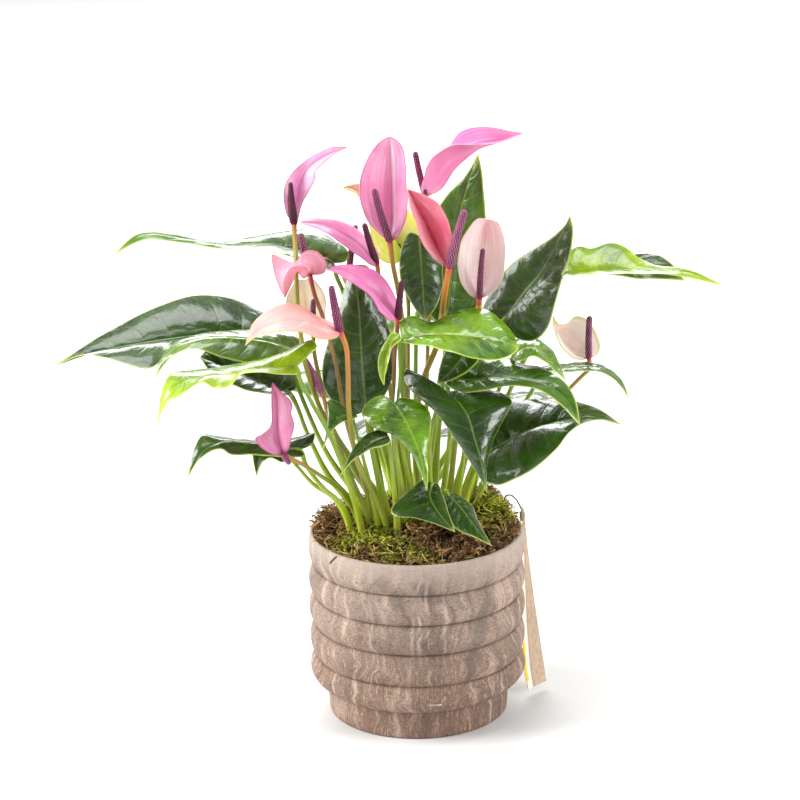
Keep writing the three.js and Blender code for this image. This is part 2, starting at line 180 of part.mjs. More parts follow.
    mid: [[67.3, 64.0, 246.4], [76.8, 88.0, 254.0], [86.6, 114.0, 261.2], [97.4, 142.0, 256.8]],
    right: [[67.3, 64.0, 246.4], [74.2, 60.0, 245.3], [84.3, 64.0, 248.4], [93.7, 82.0, 254.7], [96.4, 108.0, 259.0], [97.5, 128.0, 259.3], [97.4, 142.0, 256.8]],
    left: [[67.3, 64.0, 246.4], [60.3, 68.0, 247.6], [55.1, 80.0, 254.5], [57.3, 102.0, 261.4], [69.6, 122.0, 264.5], [86.2, 136.0, 261.7], [97.4, 142.0, 256.8]],
    stem: [[9.0, 54.0, 118.0], [9.0, 54.0, 141.0], [61.3, 58.0, 231.3], [67.3, 64.0, 246.4]] },
  leaf_30: { shoot: 'leaf_28_pair', look: 'leaf',
    mid: [[30.0, 74.0, 176.0], [37.2, 89.3, 176.4], [44.1, 104.0, 174.6], [50.5, 117.6, 169.4], [56.4, 130.1, 160.8], [62.0, 142.0, 150.0]],
    right: [[30.0, 74.0, 176.0], [35.0, 62.2, 175.7], [46.9, 58.5, 170.9], [58.4, 68.7, 167.9], [65.5, 83.7, 167.2], [68.2, 102.7, 164.2], [66.8, 120.7, 158.6], [64.0, 133.2, 153.8], [62.0, 142.0, 150.0]],
    left: [[30.0, 74.0, 176.0], [17.8, 70.3, 175.7], [7.3, 77.1, 170.9], [7.8, 92.5, 167.9], [14.8, 107.5, 167.2], [27.7, 121.7, 164.2], [42.5, 132.1, 158.6], [53.9, 138.0, 153.8], [62.0, 142.0, 150.0]],
    stem: [[9.0, 54.0, 118.0], [9.0, 54.0, 141.0], [21.0, 62.0, 154.0], [30.0, 74.0, 176.0]] },
  leaf_31: { shoot: 'leaf_27_pair', look: 'leaf',
    mid: [[-42.0, 62.0, 222.0], [-56.9, 71.0, 223.8], [-71.5, 79.7, 223.6], [-85.5, 88.1, 220.2], [-98.9, 96.2, 213.6], [-112.0, 104.0, 205.0]],
    right: [[-42.0, 62.0, 222.0], [-29.8, 65.4, 221.0], [-25.9, 76.9, 216.9], [-35.7, 89.7, 215.4], [-50.4, 98.6, 216.2], [-69.8, 103.9, 215.1], [-88.9, 105.3, 211.4], [-102.4, 104.6, 207.9], [-112.0, 104.0, 205.0]],
    left: [[-42.0, 62.0, 222.0], [-39.2, 49.6, 221.0], [-47.5, 40.8, 216.9], [-63.5, 43.4, 215.4], [-78.2, 52.2, 216.2], [-92.0, 66.8, 215.1], [-102.3, 83.1, 211.4], [-108.0, 95.3, 207.9], [-112.0, 104.0, 205.0]],
    stem: [[-16.0, 46.0, 118.0], [-16.0, 46.0, 141.0], [-30.0, 54.0, 186.0], [-42.0, 62.0, 222.0]] },
  leaf_32: { shoot: 'leaf_27_pair', look: 'leaf',
    mid: [[-14.0, 80.0, 180.0], [-17.6, 95.7, 181.2], [-21.0, 110.7, 180.3], [-24.2, 124.7, 175.9], [-27.2, 137.7, 168.0], [-30.0, 150.0, 158.0]],
    right: [[-14.0, 80.0, 180.0], [-2.6, 74.3, 179.3], [9.5, 78.8, 174.6], [12.7, 93.3, 172.3], [9.2, 108.7, 172.4], [-0.4, 124.4, 170.5], [-12.8, 137.0, 165.7], [-22.8, 144.7, 161.4], [-30.0, 150.0, 158.0]],
    left: [[-14.0, 80.0, 180.0], [-21.8, 69.9, 179.3], [-34.6, 68.8, 174.6], [-43.8, 80.4, 172.3], [-47.4, 95.8, 172.4], [-45.6, 114.1, 170.5], [-39.9, 130.8, 165.7], [-34.1, 142.1, 161.4], [-30.0, 150.0, 158.0]],
    stem: [[-16.0, 46.0, 118.0], [-16.0, 46.0, 141.0], [-16.0, 58.0, 156.0], [-14.0, 80.0, 180.0]] },
  leaf_33: { shoot: 'leaf_13_pair', look: 'leaf',
    mid: [[60.0, 58.0, 206.0], [74.3, 66.7, 207.1], [88.2, 75.1, 206.3], [101.4, 83.1, 202.3], [113.9, 90.7, 195.1], [126.0, 98.0, 186.0]],
    right: [[60.0, 58.0, 206.0], [57.6, 45.8, 205.4], [65.6, 36.8, 201.2], [80.9, 39.1, 199.1], [95.0, 47.7, 199.2], [108.0, 61.9, 197.4], [117.4, 77.6, 193.0], [122.5, 89.5, 189.1], [126.0, 98.0, 186.0]],
    left: [[60.0, 58.0, 206.0], [48.1, 61.5, 205.4], [43.8, 72.8, 201.2], [52.9, 85.3, 199.1], [67.0, 93.8, 199.2], [85.6, 98.8, 197.4], [103.9, 99.8, 193.0], [116.9, 98.8, 189.1], [126.0, 98.0, 186.0]],
    stem: [[35.0, 50.0, 118.0], [35.0, 50.0, 141.0], [48.0, 56.0, 172.0], [60.0, 58.0, 206.0]] },
};
// flowers: the same for the spathe, and the spadix from its foot to its tip
const FLOWERS = {
  flower_01: { look: 'pink', spadixRadius: [2.9, 1.5],
    mid: [[-80.0, 3.0, 353.2], [-78.5, 9.0, 364.9], [-76.2, 10.0, 376.5], [-70.4, 9.0, 389.2], [-60.0, 6.0, 398.1], [-42.2, 0.0, 406.8]],
    right: [[-80.0, 3.0, 353.2], [-77.3, 6.0, 355.9], [-75.0, 6.0, 364.2], [-70.0, 4.0, 374.4], [-65.7, 2.0, 383.2], [-64.2, 2.0, 390.1], [-60.1, 3.0, 394.0], [-51.8, 2.0, 401.3], [-42.2, 0.0, 406.8]],
    left: [[-80.0, 3.0, 353.2], [-84.5, 2.0, 359.8], [-86.2, -1.0, 371.1], [-86.0, 0.0, 378.5], [-84.3, 2.0, 383.5], [-78.5, 6.0, 390.1], [-69.5, 8.0, 397.1], [-59.9, 6.0, 402.9], [-52.4, 3.0, 406.3], [-42.2, 0.0, 406.8]],
    spadix: [[-80.0, 3.0, 353.2], [-81.4, -4.0, 384.2]],
    stem: [[-26.0, -5.0, 118.0], [-26.0, -5.0, 141.0], [-56.5, -7.0, 207.2], [-64.2, -14.0, 225.6], [-69.8, -32.0, 249.4], [-72.8, -44.0, 266.7], [-75.8, -40.0, 286.6], [-78.0, -34.0, 310.1], [-78.2, -30.0, 335.5], [-79.1, -14.0, 344.4], [-80.0, 3.0, 353.2]] },
  flower_02: { look: 'pink', spadixRadius: [2.5, 2.1],
    mid: [[-15.0, -22.0, 346.2], [-13.4, -13.0, 359.1], [-13.2, -11.0, 372.4], [-13.5, -13.0, 393.6], [-13.8, -20.0, 418.2]],
    right: [[-15.0, -22.0, 346.2], [-10.2, -21.0, 348.6], [-6.8, -23.0, 355.3], [-3.5, -24.0, 365.2], [-2.5, -24.0, 375.5], [-3.6, -24.0, 389.3], [-3.5, -23.0, 398.6], [-4.8, -22.0, 408.6], [-8.1, -21.0, 414.7], [-13.8, -20.0, 418.2]],
    left: [[-15.0, -22.0, 346.2], [-22.9, -22.0, 352.9], [-29.7, -24.0, 361.5], [-33.6, -24.0, 372.6], [-34.7, -24.0, 383.6], [-33.8, -23.0, 391.6], [-29.0, -22.0, 403.6], [-22.5, -21.0, 412.8], [-17.8, -20.5, 416.7], [-13.8, -20.0, 418.2]],
    spadix: [[-15.0, -22.0, 346.2], [-25.0, -36.0, 386.4]],
    stem: [[4.0, 10.0, 118.0], [4.0, 10.0, 141.0], [-6.2, -4.0, 243.1], [-7.1, -10.0, 280.8], [-10.1, -16.0, 310.9], [-13.2, -20.0, 329.6], [-15.0, -22.0, 346.2]] },
  flower_03: { look: 'magenta', spadixRadius: [2.2, 1.9],
    mid: [[9.5, 3.0, 371.0], [20.2, 8.0, 375.5], [29.2, 10.0, 388.1], [37.4, 10.0, 395.6], [46.8, 8.0, 402.8], [57.5, 5.0, 406.8], [76.2, 0.0, 414.5]],
    right: [[9.5, 3.0, 371.0], [6.5, -2.0, 376.1], [8.6, -8.0, 386.5], [10.7, -12.0, 395.7], [15.4, -14.0, 403.0], [22.1, -15.0, 407.9], [28.8, -15.0, 410.5], [46.3, -12.0, 409.8], [63.9, -5.0, 410.4], [76.2, 0.0, 414.5]],
    left: [[9.5, 3.0, 371.0], [14.1, 14.0, 371.3], [18.4, 22.0, 381.2], [24.1, 26.0, 395.5], [32.4, 26.0, 408.6], [38.5, 24.0, 412.4], [46.6, 20.0, 414.6], [57.2, 12.0, 415.6], [68.4, 5.0, 414.6], [76.2, 0.0, 414.5]],
    spadix: [[9.5, 3.0, 371.0], [2.8, -2.0, 403.5]],
    stem: [[7.0, 32.0, 118.0], [7.0, 32.0, 141.0], [10.3, 38.0, 258.9], [12.1, 38.0, 288.0], [13.2, 34.0, 328.7], [12.5, 18.0, 349.2], [9.5, 3.0, 371.0]] },
  flower_04: { look: 'rose', spadixRadius: [3.0, 2.5],
    mid: [[24.4, -30.5, 329.8], [17.3, -19.0, 339.3], [12.1, -17.0, 351.4], [5.5, -21.0, 366.4], [-2.7, -32.0, 385.1]],
    right: [[24.4, -30.5, 329.8], [27.1, -30.0, 336.5], [27.2, -33.0, 348.4], [25.9, -35.0, 355.9], [23.9, -36.0, 364.4], [19.4, -36.0, 373.4], [13.5, -36.0, 379.0], [5.6, -34.0, 382.7], [-2.7, -32.0, 385.1]],
    left: [[24.4, -30.5, 329.8], [18.4, -31.0, 332.8], [11.0, -35.0, 342.3], [5.1, -36.0, 352.3], [2.6, -35.0, 362.4], [-1.2, -34.0, 373.9], [-2.7, -32.0, 385.1]],
    spadix: [[24.4, -30.5, 329.8], [35.1, -44.0, 373.1]],
    stem: [[4.0, 22.0, 118.0], [4.0, 22.0, 141.0], [0.2, 8.0, 202.7], [6.9, 2.0, 242.4], [16.1, -2.0, 267.3], [18.9, -6.0, 284.9], [20.9, -22.0, 305.1], [24.4, -30.5, 329.8]] },
  flower_05: { look: 'pale', spadixRadius: [2.1, 1.6],
    mid: [[45.1, -14.0, 302.7], [47.2, -5.0, 313.9], [48.7, -3.0, 330.9], [50.1, -5.0, 345.5], [51.4, -9.0, 357.7]],
    right: [[45.1, -14.0, 302.7], [54.7, -14.0, 307.9], [60.2, -16.0, 316.3], [62.4, -17.0, 328.6], [62.5, -17.0, 342.2], [60.4, -15.0, 351.4], [58.1, -13.0, 356.4], [54.7, -11.0, 357.4], [51.4, -9.0, 357.7]],
    left: [[45.1, -14.0, 302.7], [39.2, -14.0, 305.6], [33.0, -16.0, 315.1], [30.7, -17.0, 325.2], [31.6, -17.0, 337.1], [34.1, -16.0, 346.6], [38.8, -14.0, 353.6], [44.7, -11.0, 358.5], [51.4, -9.0, 357.7]],
    spadix: [[45.1, -14.0, 302.7], [47.5, -24.0, 341.1]],
    stem: [[24.0, 32.0, 118.0], [24.0, 32.0, 141.0], [33.7, 34.0, 215.7], [41.5, 30.0, 246.2], [43.9, 10.0, 272.6], [44.2, -8.0, 292.1], [45.1, -14.0, 302.7]] },
  flower_06: { look: 'cream', spadixRadius: [2.3, 2.1],
    mid: [[122.2, 27.0, 246.9], [115.1, 34.0, 246.7], [108.2, 36.0, 251.3], [102.7, 38.0, 258.9], [99.2, 38.0, 267.7], [97.7, 36.0, 276.3]],
    right: [[122.2, 27.0, 246.9], [128.2, 32.0, 247.8], [130.4, 34.0, 253.8], [128.4, 36.0, 261.2], [125.1, 38.0, 267.2], [118.9, 40.0, 273.0], [113.3, 41.0, 273.5], [106.4, 41.0, 268.1], [101.3, 39.0, 269.5], [97.7, 36.0, 276.3]],
    left: [[122.2, 27.0, 246.9], [117.1, 22.0, 247.5], [111.3, 18.0, 249.5], [105.1, 18.0, 255.4], [100.4, 21.0, 261.8], [98.0, 28.0, 267.8], [97.2, 33.0, 272.1], [97.7, 36.0, 276.3]],
    spadix: [[122.2, 27.0, 246.9], [122.2, 20.0, 279.8]],
    stem: [[41.0, 16.0, 118.0], [41.0, 16.0, 141.0], [63.2, 20.0, 179.2], [91.5, 25.0, 208.8], [109.2, 29.0, 224.9], [117.7, 31.0, 232.9], [123.3, 31.0, 238.7], [122.2, 27.0, 246.9]] },
  flower_07: { look: 'magenta', spadixRadius: [2.4, 1.9],
    mid: [[-24.1, 1.5, 324.2], [-34.2, 4.0, 335.3], [-45.6, 4.0, 344.0], [-59.0, 2.0, 351.7], [-76.3, -4.0, 356.4]],
    right: [[-24.1, 1.5, 324.2], [-23.3, 8.0, 331.3], [-28.7, 14.0, 336.1], [-35.5, 16.0, 343.5], [-42.2, 16.0, 348.5], [-51.7, 14.0, 352.7], [-63.7, 8.0, 355.5], [-72.4, 2.0, 356.1], [-76.3, -4.0, 356.4]],
    left: [[-24.1, 1.5, 324.2], [-26.8, -6.0, 325.3], [-32.8, -12.0, 331.2], [-42.0, -16.0, 339.4], [-52.6, -16.0, 348.0], [-63.4, -12.0, 353.4], [-71.5, -8.0, 355.2], [-76.3, -4.0, 356.4]],
    spadix: [[-24.1, 1.5, 324.2], [-32.4, 0.0, 353.9]],
    stem: [[-6.0, 34.0, 118.0], [-6.0, 34.0, 141.0], [-16.7, 16.0, 229.7], [-18.8, 12.0, 274.4], [-22.3, 4.0, 309.0], [-24.1, 1.5, 324.2]] },
  flower_08: { look: 'magenta', spadixRadius: [2.4, 1.8],
    mid: [[-10.4, -33.0, 295.1], [-19.7, -31.0, 304.8], [-28.2, -31.0, 315.4], [-37.4, -33.0, 325.9], [-48.0, -37.0, 331.3], [-57.9, -42.0, 333.2]],
    right: [[-10.4, -33.0, 295.1], [-8.9, -28.0, 300.2], [-11.1, -24.0, 306.2], [-14.1, -22.0, 311.9], [-19.4, -20.0, 320.6], [-25.5, -20.0, 325.9], [-33.4, -22.0, 329.1], [-40.7, -26.0, 331.8], [-50.0, -34.0, 333.8], [-57.9, -42.0, 333.2]],
    left: [[-10.4, -33.0, 295.1], [-15.1, -42.0, 296.7], [-19.1, -46.0, 301.5], [-23.0, -48.0, 305.6], [-27.5, -50.0, 315.3], [-34.7, -50.0, 322.3], [-43.9, -48.0, 327.6], [-51.9, -45.0, 331.9], [-57.9, -42.0, 333.2]],
    spadix: [[-10.4, -33.0, 295.1], [-7.1, -34.0, 322.9]],
    stem: [[-10.0, -5.0, 118.0], [-10.0, -5.0, 141.0], [-15.6, -12.0, 216.9], [-13.8, -20.0, 248.3], [-12.8, -26.0, 271.5], [-11.2, -32.0, 286.0], [-10.4, -33.0, 295.1]] },
  flower_09: { look: 'pink', spadixRadius: [2.6, 2.2],
    mid: [[-68.9, -32.0, 326.8], [-73.1, -45.0, 336.7], [-81.0, -48.0, 336.3], [-85.9, -48.0, 327.4], [-85.7, -44.0, 314.5]],
    right: [[-68.9, -32.0, 326.8], [-73.4, -40.0, 327.0], [-77.2, -45.0, 332.7], [-79.9, -47.0, 327.0], [-82.8, -46.0, 320.6], [-85.7, -44.0, 314.5]],
    left: [[-68.9, -32.0, 326.8], [-59.4, -38.0, 329.7], [-57.9, -38.0, 337.3], [-63.7, -38.0, 344.3], [-71.7, -39.0, 345.4], [-78.5, -41.0, 338.5], [-86.4, -42.0, 341.0], [-93.6, -42.0, 344.5], [-93.1, -43.0, 336.5], [-91.3, -44.0, 327.8], [-88.8, -44.0, 320.8], [-85.7, -44.0, 314.5]],
    spadix: [[-68.9, -32.0, 326.8], [-74.6, -32.0, 356.0]],
    stem: [[-29.0, -12.0, 118.0], [-29.0, -12.0, 141.0], [-47.2, -16.0, 218.7], [-53.6, -26.0, 265.1], [-60.9, -32.0, 297.3], [-66.5, -34.0, 314.8], [-68.9, -32.0, 326.8]] },
  flower_10: { look: 'salmon', spadixRadius: [3.0, 2.1],
    mid: [[-48.8, -60.0, 295.0], [-60.9, -64.0, 299.8], [-75.3, -66.0, 305.5], [-91.7, -70.0, 305.5], [-103.6, -74.0, 299.3], [-111.6, -78.0, 291.7]],
    right: [[-48.8, -60.0, 295.0], [-49.1, -54.0, 296.7], [-55.9, -48.0, 298.5], [-66.6, -44.0, 303.0], [-77.8, -44.0, 309.8], [-89.0, -48.0, 310.8], [-99.4, -56.0, 308.1], [-107.2, -66.0, 302.5], [-111.6, -78.0, 291.7]],
    left: [[-48.8, -60.0, 295.0], [-51.6, -72.0, 294.4], [-60.7, -80.0, 296.0], [-71.6, -86.0, 302.1], [-82.5, -90.0, 304.8], [-95.7, -88.0, 303.4], [-105.2, -84.0, 298.9], [-111.6, -78.0, 291.7]],
    spadix: [[-48.8, -60.0, 295.0], [-54.3, -62.0, 327.7]],
    stem: [[-20.0, -23.0, 118.0], [-20.0, -23.0, 141.0], [-40.5, -36.0, 200.1], [-44.4, -50.0, 237.0], [-44.4, -56.0, 267.2], [-45.3, -60.0, 285.2], [-48.8, -60.0, 295.0]] },
  flower_11: { look: 'cream', spadixRadius: [2.1, 1.7],
    mid: [[-68.0, -18.0, 282.4], [-71.7, -11.0, 290.7], [-74.1, -10.0, 303.2], [-74.3, -13.0, 318.1]],
    right: [[-68.0, -18.0, 282.4], [-62.1, -18.0, 286.9], [-59.8, -18.0, 296.8], [-59.6, -17.0, 307.0], [-62.9, -15.0, 313.6], [-68.2, -14.0, 319.0], [-74.3, -13.0, 318.1]],
    left: [[-68.0, -18.0, 282.4], [-75.7, -18.0, 284.3], [-83.0, -18.0, 292.9], [-86.1, -17.0, 303.3], [-83.3, -15.0, 311.8], [-78.4, -14.0, 317.8], [-74.3, -13.0, 318.1]],
    spadix: [[-68.0, -18.0, 282.4], [-67.2, -26.0, 308.3]],
    stem: [[-18.0, 4.0, 118.0], [-18.0, 4.0, 141.0], [-56.1, 5.0, 204.6], [-64.7, -6.0, 244.7], [-68.1, -13.0, 268.4], [-68.0, -18.0, 282.4]] },
  flower_12: { look: 'magenta', spadixRadius: [2.4, 1.8],
    mid: [[-88.2, -63.0, 209.8], [-91.8, -58.0, 219.2], [-92.9, -56.0, 232.7], [-92.5, -56.0, 246.8], [-95.1, -58.0, 260.2]],
    right: [[-88.2, -63.0, 209.8], [-85.7, -64.0, 213.3], [-83.4, -66.0, 222.4], [-81.2, -65.0, 232.7], [-83.0, -63.0, 239.8], [-81.6, -63.0, 244.0], [-83.6, -61.0, 248.3], [-88.9, -59.0, 252.7], [-95.1, -58.0, 260.2]],
    left: [[-88.2, -63.0, 209.8], [-96.5, -64.0, 211.3], [-105.0, -66.0, 218.5], [-107.6, -64.0, 222.5], [-102.3, -61.0, 225.0], [-96.9, -59.0, 230.2], [-96.2, -58.0, 243.3], [-96.0, -58.0, 251.8], [-95.1, -58.0, 260.2]],
    spadix: [[-88.2, -63.0, 209.8], [-84.5, -84.0, 211.6]],
    stem: [[-40.0, -12.0, 118.0], [-40.0, -12.0, 141.0], [-50.2, -22.0, 168.5], [-60.7, -36.0, 182.3], [-78.2, -56.0, 201.9], [-88.2, -63.0, 209.8]] },
  flower_14: { look: 'cream', spadixRadius: [2.4, 1.9],
    mid: [[-6.6, 30.5, 325.6], [-15.0, 33.9, 338.4], [-25.1, 36.1, 352.0], [-35.2, 32.0, 365.3], [-47.3, 25.9, 372.6]],
    right: [[-6.6, 30.5, 325.6], [1.3, 25.5, 324.7], [5.6, 27.5, 331.2], [5.1, 33.5, 341.0], [-2.3, 41.5, 351.9], [-13.2, 43.5, 362.3], [-26.9, 39.5, 370.6], [-38.4, 31.5, 373.4], [-47.3, 25.9, 372.6]],
    left: [[-6.6, 30.5, 325.6], [-10.5, 16.5, 320.9], [-17.3, 13.5, 321.9], [-24.8, 14.5, 327.4], [-28.0, 16.5, 342.5], [-31.1, 19.5, 355.9], [-38.4, 19.5, 370.8], [-47.3, 25.9, 372.6]],
    spadix: [[-6.6, 30.5, 325.6], [-13.3, 47.5, 353.4]],
    stem: [[-5.0, 50.0, 118.0], [-5.0, 50.0, 141.0], [-3.6, 44.0, 257.3], [-3.2, 44.0, 286.5], [-5.8, 40.0, 305.1], [-6.3, 30.0, 319.3], [-6.6, 30.5, 325.6]] },
  flower_15: { look: 'rose', spadixRadius: [2.2, 1.8],
    mid: [[-43.7, 28.5, 313.2], [-39.8, 40.0, 309.9], [-35.8, 52.0, 302.2], [-32.6, 60.0, 288.3]],
    right: [[-43.7, 28.5, 313.2], [-40.2, 30.0, 315.6], [-33.4, 38.0, 314.0], [-28.1, 50.0, 305.5], [-28.3, 58.0, 294.6], [-32.6, 60.0, 288.3]],
    left: [[-43.7, 28.5, 313.2], [-48.0, 32.0, 308.0], [-47.7, 44.0, 300.3], [-43.7, 54.0, 291.6], [-39.0, 59.0, 287.2], [-32.6, 60.0, 288.3]],
    spadix: [[-43.7, 28.5, 313.2], [-38.2, 23.0, 346.6]],
    stem: [[-22.0, 26.0, 118.0], [-22.0, 26.0, 141.0], [-33.7, 26.0, 219.4], [-41.1, 26.0, 270.6], [-43.2, 28.0, 302.6], [-43.7, 28.5, 313.2]] },
};
const BUD = { radius: 2.6, base: [-62.2, -30.0, 240.8], tip: [-73.0, -34.0, 270.0],
  stem: [[-32.0, -17.0, 118.0], [-32.0, -17.0, 141.0], [-51.7, -20.0, 198.4], [-58.5, -26.0, 225.8], [-62.2, -30.0, 240.8]] };
// tag: left and right edge of the card at seven heights
const TAG = { levels: [[[73.3, 20.0, 136.1], [77.4, 20.6, 136.3]], [[74.3, 20.0, 127.8], [77.4, 21.0, 127.4]], [[74.9, 20.0, 110.8], [78.9, 23.0, 109.4]], [[74.9, 20.0, 78.1], [82.8, 25.5, 75.8]], [[74.8, 19.5, 46.4], [87.1, 27.0, 43.1]], [[76.1, 15.5, 19.1], [91.0, 27.5, 13.8]], [[78.9, 12.0, 2.8], [92.2, 26.5, 4.2]]],
  hole: [[75.9, 16.3, 133.0], [74.7, 24.3, 133.0]], holeRadius: 1.1,
  wire: [[61.0, 24.6, 127.0], [62.4, 24.2, 138.0], [63.3, 23.5, 146.6], [64.9, 22.5, 148.3], [67.7, 21.0, 148.6], [70.9, 19.5, 146.1], [73.6, 18.1, 141.6], [75.2, 17.1, 138.0]],
  loop: [[75.5, 17.3, 136.0], [75.6, 17.8, 133.8], [75.3, 20.3, 133.0], [75.0, 22.8, 133.8], [74.9, 23.5, 136.2], [75.1, 22.0, 138.7], [75.3, 19.4, 139.1], [75.5, 17.5, 137.8], [75.5, 17.3, 136.0]],
  knot: [[75.3, 16.8, 131.2], [75.3, 16.8, 138.4]] };

// ---------------------------------------------------------------- helpers

const v = (p) => new THREE.Vector3(p[0], p[1], p[2]);

function closedMesh(geometry) {
  const g = geometry.index ? geometry.toNonIndexed() : geometry.clone();
  g.deleteAttribute('normal');
  g.deleteAttribute('uv');
  return mergeVertices(g, 1e-4);
}

// a closed mesh as a solid; a mesh whose faces point in is turned inside out
function solid(geometry) {
  const g = closedMesh(geometry);
  const p = g.attributes.position, idx = Array.from(g.index.array);
  const a = new THREE.Vector3(), b = new THREE.Vector3(), c = new THREE.Vector3();
  let six = 0;
  const tri = [];
  for (let i = 0; i < idx.length; i += 3) {
    const [i0, i1, i2] = [idx[i], idx[i + 1], idx[i + 2]];
    if (i0 === i1 || i1 === i2 || i0 === i2) continue;
    a.fromBufferAttribute(p, i0); b.fromBufferAttribute(p, i1); c.fromBufferAttribute(p, i2);
    six += a.dot(b.cross(c));
    tri.push(i0, i1, i2);
  }
  if (six < 0) for (let i = 0; i < tri.length; i += 3) [tri[i], tri[i + 1]] = [tri[i + 1], tri[i]];
  return new wasm.Manifold(new wasm.Mesh({
    numProp: 3,
    vertProperties: new Float32Array(p.array),
    triVerts: new Uint32Array(tri),
  }));
}

function toGeometry(body) {
  const m = body.getMesh();
  const g = new THREE.BufferGeometry();
  g.setAttribute('position', new THREE.BufferAttribute(new Float32Array(m.vertProperties), 3));
  g.setIndex(new THREE.BufferAttribute(new Uint32Array(m.triVerts), 1));
  const flat = g.toNonIndexed();
  flat.computeVertexNormals();
  return flat;
}

function ngon(radius, sides) {
  const s = new THREE.Shape();
  for (let i = 0; i < sides; i++) {
    const a = (i / sides) * 2 * Math.PI;
    const x = radius * Math.cos(a), y = radius * Math.sin(a);
    if (i === 0) s.moveTo(x, y); else s.lineTo(x, y);
  }
  s.closePath();
  return s;
}

// a round rod along a smooth curve
function rod(points, radius, steps, sides = 6) {
  const path = new THREE.CatmullRomCurve3(points.map(v), false, 'centripetal');
  return new THREE.ExtrudeGeometry(ngon(radius, sides), { steps, extrudePath: path, bevelEnabled: false });
}

// a leaf blade or a spathe: the midrib curve and the two edge curves carry a
// thin sheet that is thickest along the midrib and sharp at its margin. The
// halves on the two sides of the midrib are closed strips, joined along it.
function sheet(t, rows, thickness) {
  const [mid, right, left] = [t.mid, t.right, t.left].map((p) => new THREE.CatmullRomCurve3(p.map(v), false, 'centripetal'));
  const crown = t.crown ?? 0.07;
  const at = [];
  for (let i = 1; i < rows; i++) {
    const u = i / rows, w = Math.pow(u, 1.35);
    const m = mid.getPointAt(w), r = right.getPointAt(u), l = left.getPointAt(u), t0 = mid.getTangentAt(w);
    at.push({ m, r, l, cr: new THREE.Vector3().subVectors(r, m).cross(t0), cl: new THREE.Vector3().subVectors(m, l).cross(t0) });
  }
  // each side's normal is averaged with its neighbours', weighted by width
  const smooth = (key) => at.map((_, i) => {
    const n = new THREE.Vector3();
    for (const k of [-1, 0, 1]) n.addScaledVector(at[Math.min(at.length - 1, Math.max(0, i + k))][key], k === 0 ? 2 : 1);
    return n.normalize();
  });
  const nrs = smooth('cr'), nls = smooth('cl');
  const ends = [mid.getPointAt(0), mid.getPointAt(1)];
  const strip = (side) => {
    const pos = [], index = [];
    const push = (p) => { pos.push(p.x, p.y, p.z); return pos.length / 3 - 1; };
    const base = push(ends[0]);
    const grid = at.map((g, i) => {
      const [edge, n] = side > 0 ? [g.r, nrs[i]] : [g.l, nls[i]];
      const share = nrs[i].dot(nls[i]) > 0.3;
      const nm = share ? new THREE.Vector3().addVectors(nrs[i], nls[i]).normalize() : n;
      const w = g.m.distanceTo(edge);
      const m = share ? g.m : g.m.clone().addScaledVector(new THREE.Vector3().subVectors(edge, g.m).normalize(), -0.3);
      const a = (thickness / 2) * Math.min(1, 0.35 + w / 8);
      const half = g.m.clone().lerp(edge, 0.5).addScaledVector(n, crown * w);
      const off = (p, d, s) => push(p.clone().addScaledVector(d, s));
      const am = thickness / 2 * Math.min(1, 0.35 + Math.min(g.m.distanceTo(g.r), g.m.distanceTo(g.l)) / 8);
      return [off(m, nm, am), off(half, n, a * 0.8), push(edge), off(half, n, -a * 0.8), off(m, nm, -am)];
    });
    const tip = push(ends[1]);
    for (let i = 0; i + 1 < grid.length; i++) {
      const a = grid[i], b = grid[i + 1];
      // both faces are split along the same diagonal, so a twisted row keeps its thickness
      for (let k = 0; k < 5; k++) {
        const q = (k + 1) % 5;
        if (k < 2) index.push(a[k], a[q], b[q], a[k], b[q], b[k]);
        else index.push(a[k], a[q], b[k], a[q], b[q], b[k]);
      }
    }
    const a = grid[0], z = grid[grid.length - 1];
    for (let k = 0; k < 5; k++) {
      const q = (k + 1) % 5;
      index.push(base, a[q], a[k]);
      index.push(tip, z[k], z[q]);
    }
    const g = new THREE.BufferGeometry();
    g.setAttribute('position', new THREE.BufferAttribute(new Float32Array(pos), 3));
    g.setIndex(index);
    return solid(g);
  };
  return { body: strip(1).add(strip(-1)), mid };
}

// a spadix: a tapered round body from its base to its blunt tip
function spadix(from, to, r0, r1, grow = 0) {
  const a = v(from), b = v(to);
  const len = a.distanceTo(b);
  const profile = [[0, -1 - grow], [r0 * 0.8, -1 - grow], [r0, len * 0.2], [(r0 + r1) * 0.52, len * 0.6], [r1, len * 0.92], [0, len + grow]]
    .map(([x, y]) => new THREE.Vector2(x, y));
  const g = new THREE.LatheGeometry(profile, 8);
  g.applyQuaternion(new THREE.Quaternion().setFromUnitVectors(new THREE.Vector3(0, 1, 0), b.clone().sub(a).normalize()));
  g.translate(a.x, a.y, a.z);
  return g;
}

const group = new THREE.Group();
const looks = {
  pot: [0x8f8275, 0.72], soil: [0x3a2c22, 0.95], moss: [0x8c8446, 0.95], tag: [0xb99d6b, 0.8], wire: [0x3d3a35, 0.5],
  leaf: [0x2f5a2c, 0.35], lime: [0x8fae4a, 0.35], pink: [0xe58fb2, 0.4], magenta: [0xd24f8e, 0.4], rose: [0xc23b6a, 0.4],
  pale: [0xf1d3d2, 0.4], cream: [0xe9d9c4, 0.4], salmon: [0xeda39c, 0.4], stem: [0x86994f, 0.45],
};
function addPiece(name, body, look) {
  const [color, roughness] = looks[look];
  const mesh = new THREE.Mesh(toGeometry(body), new THREE.MeshStandardMaterial({ color, roughness, metalness: 0 }));
  mesh.name = name;
  group.add(mesh);
}

// ---------------------------------------------------------------- plant

const UP = (p, z) => [p[0], p[1], z];
const grown = [];          // every piece that comes up through the moss
const holes = [];          // fatter copies of the stems' feet

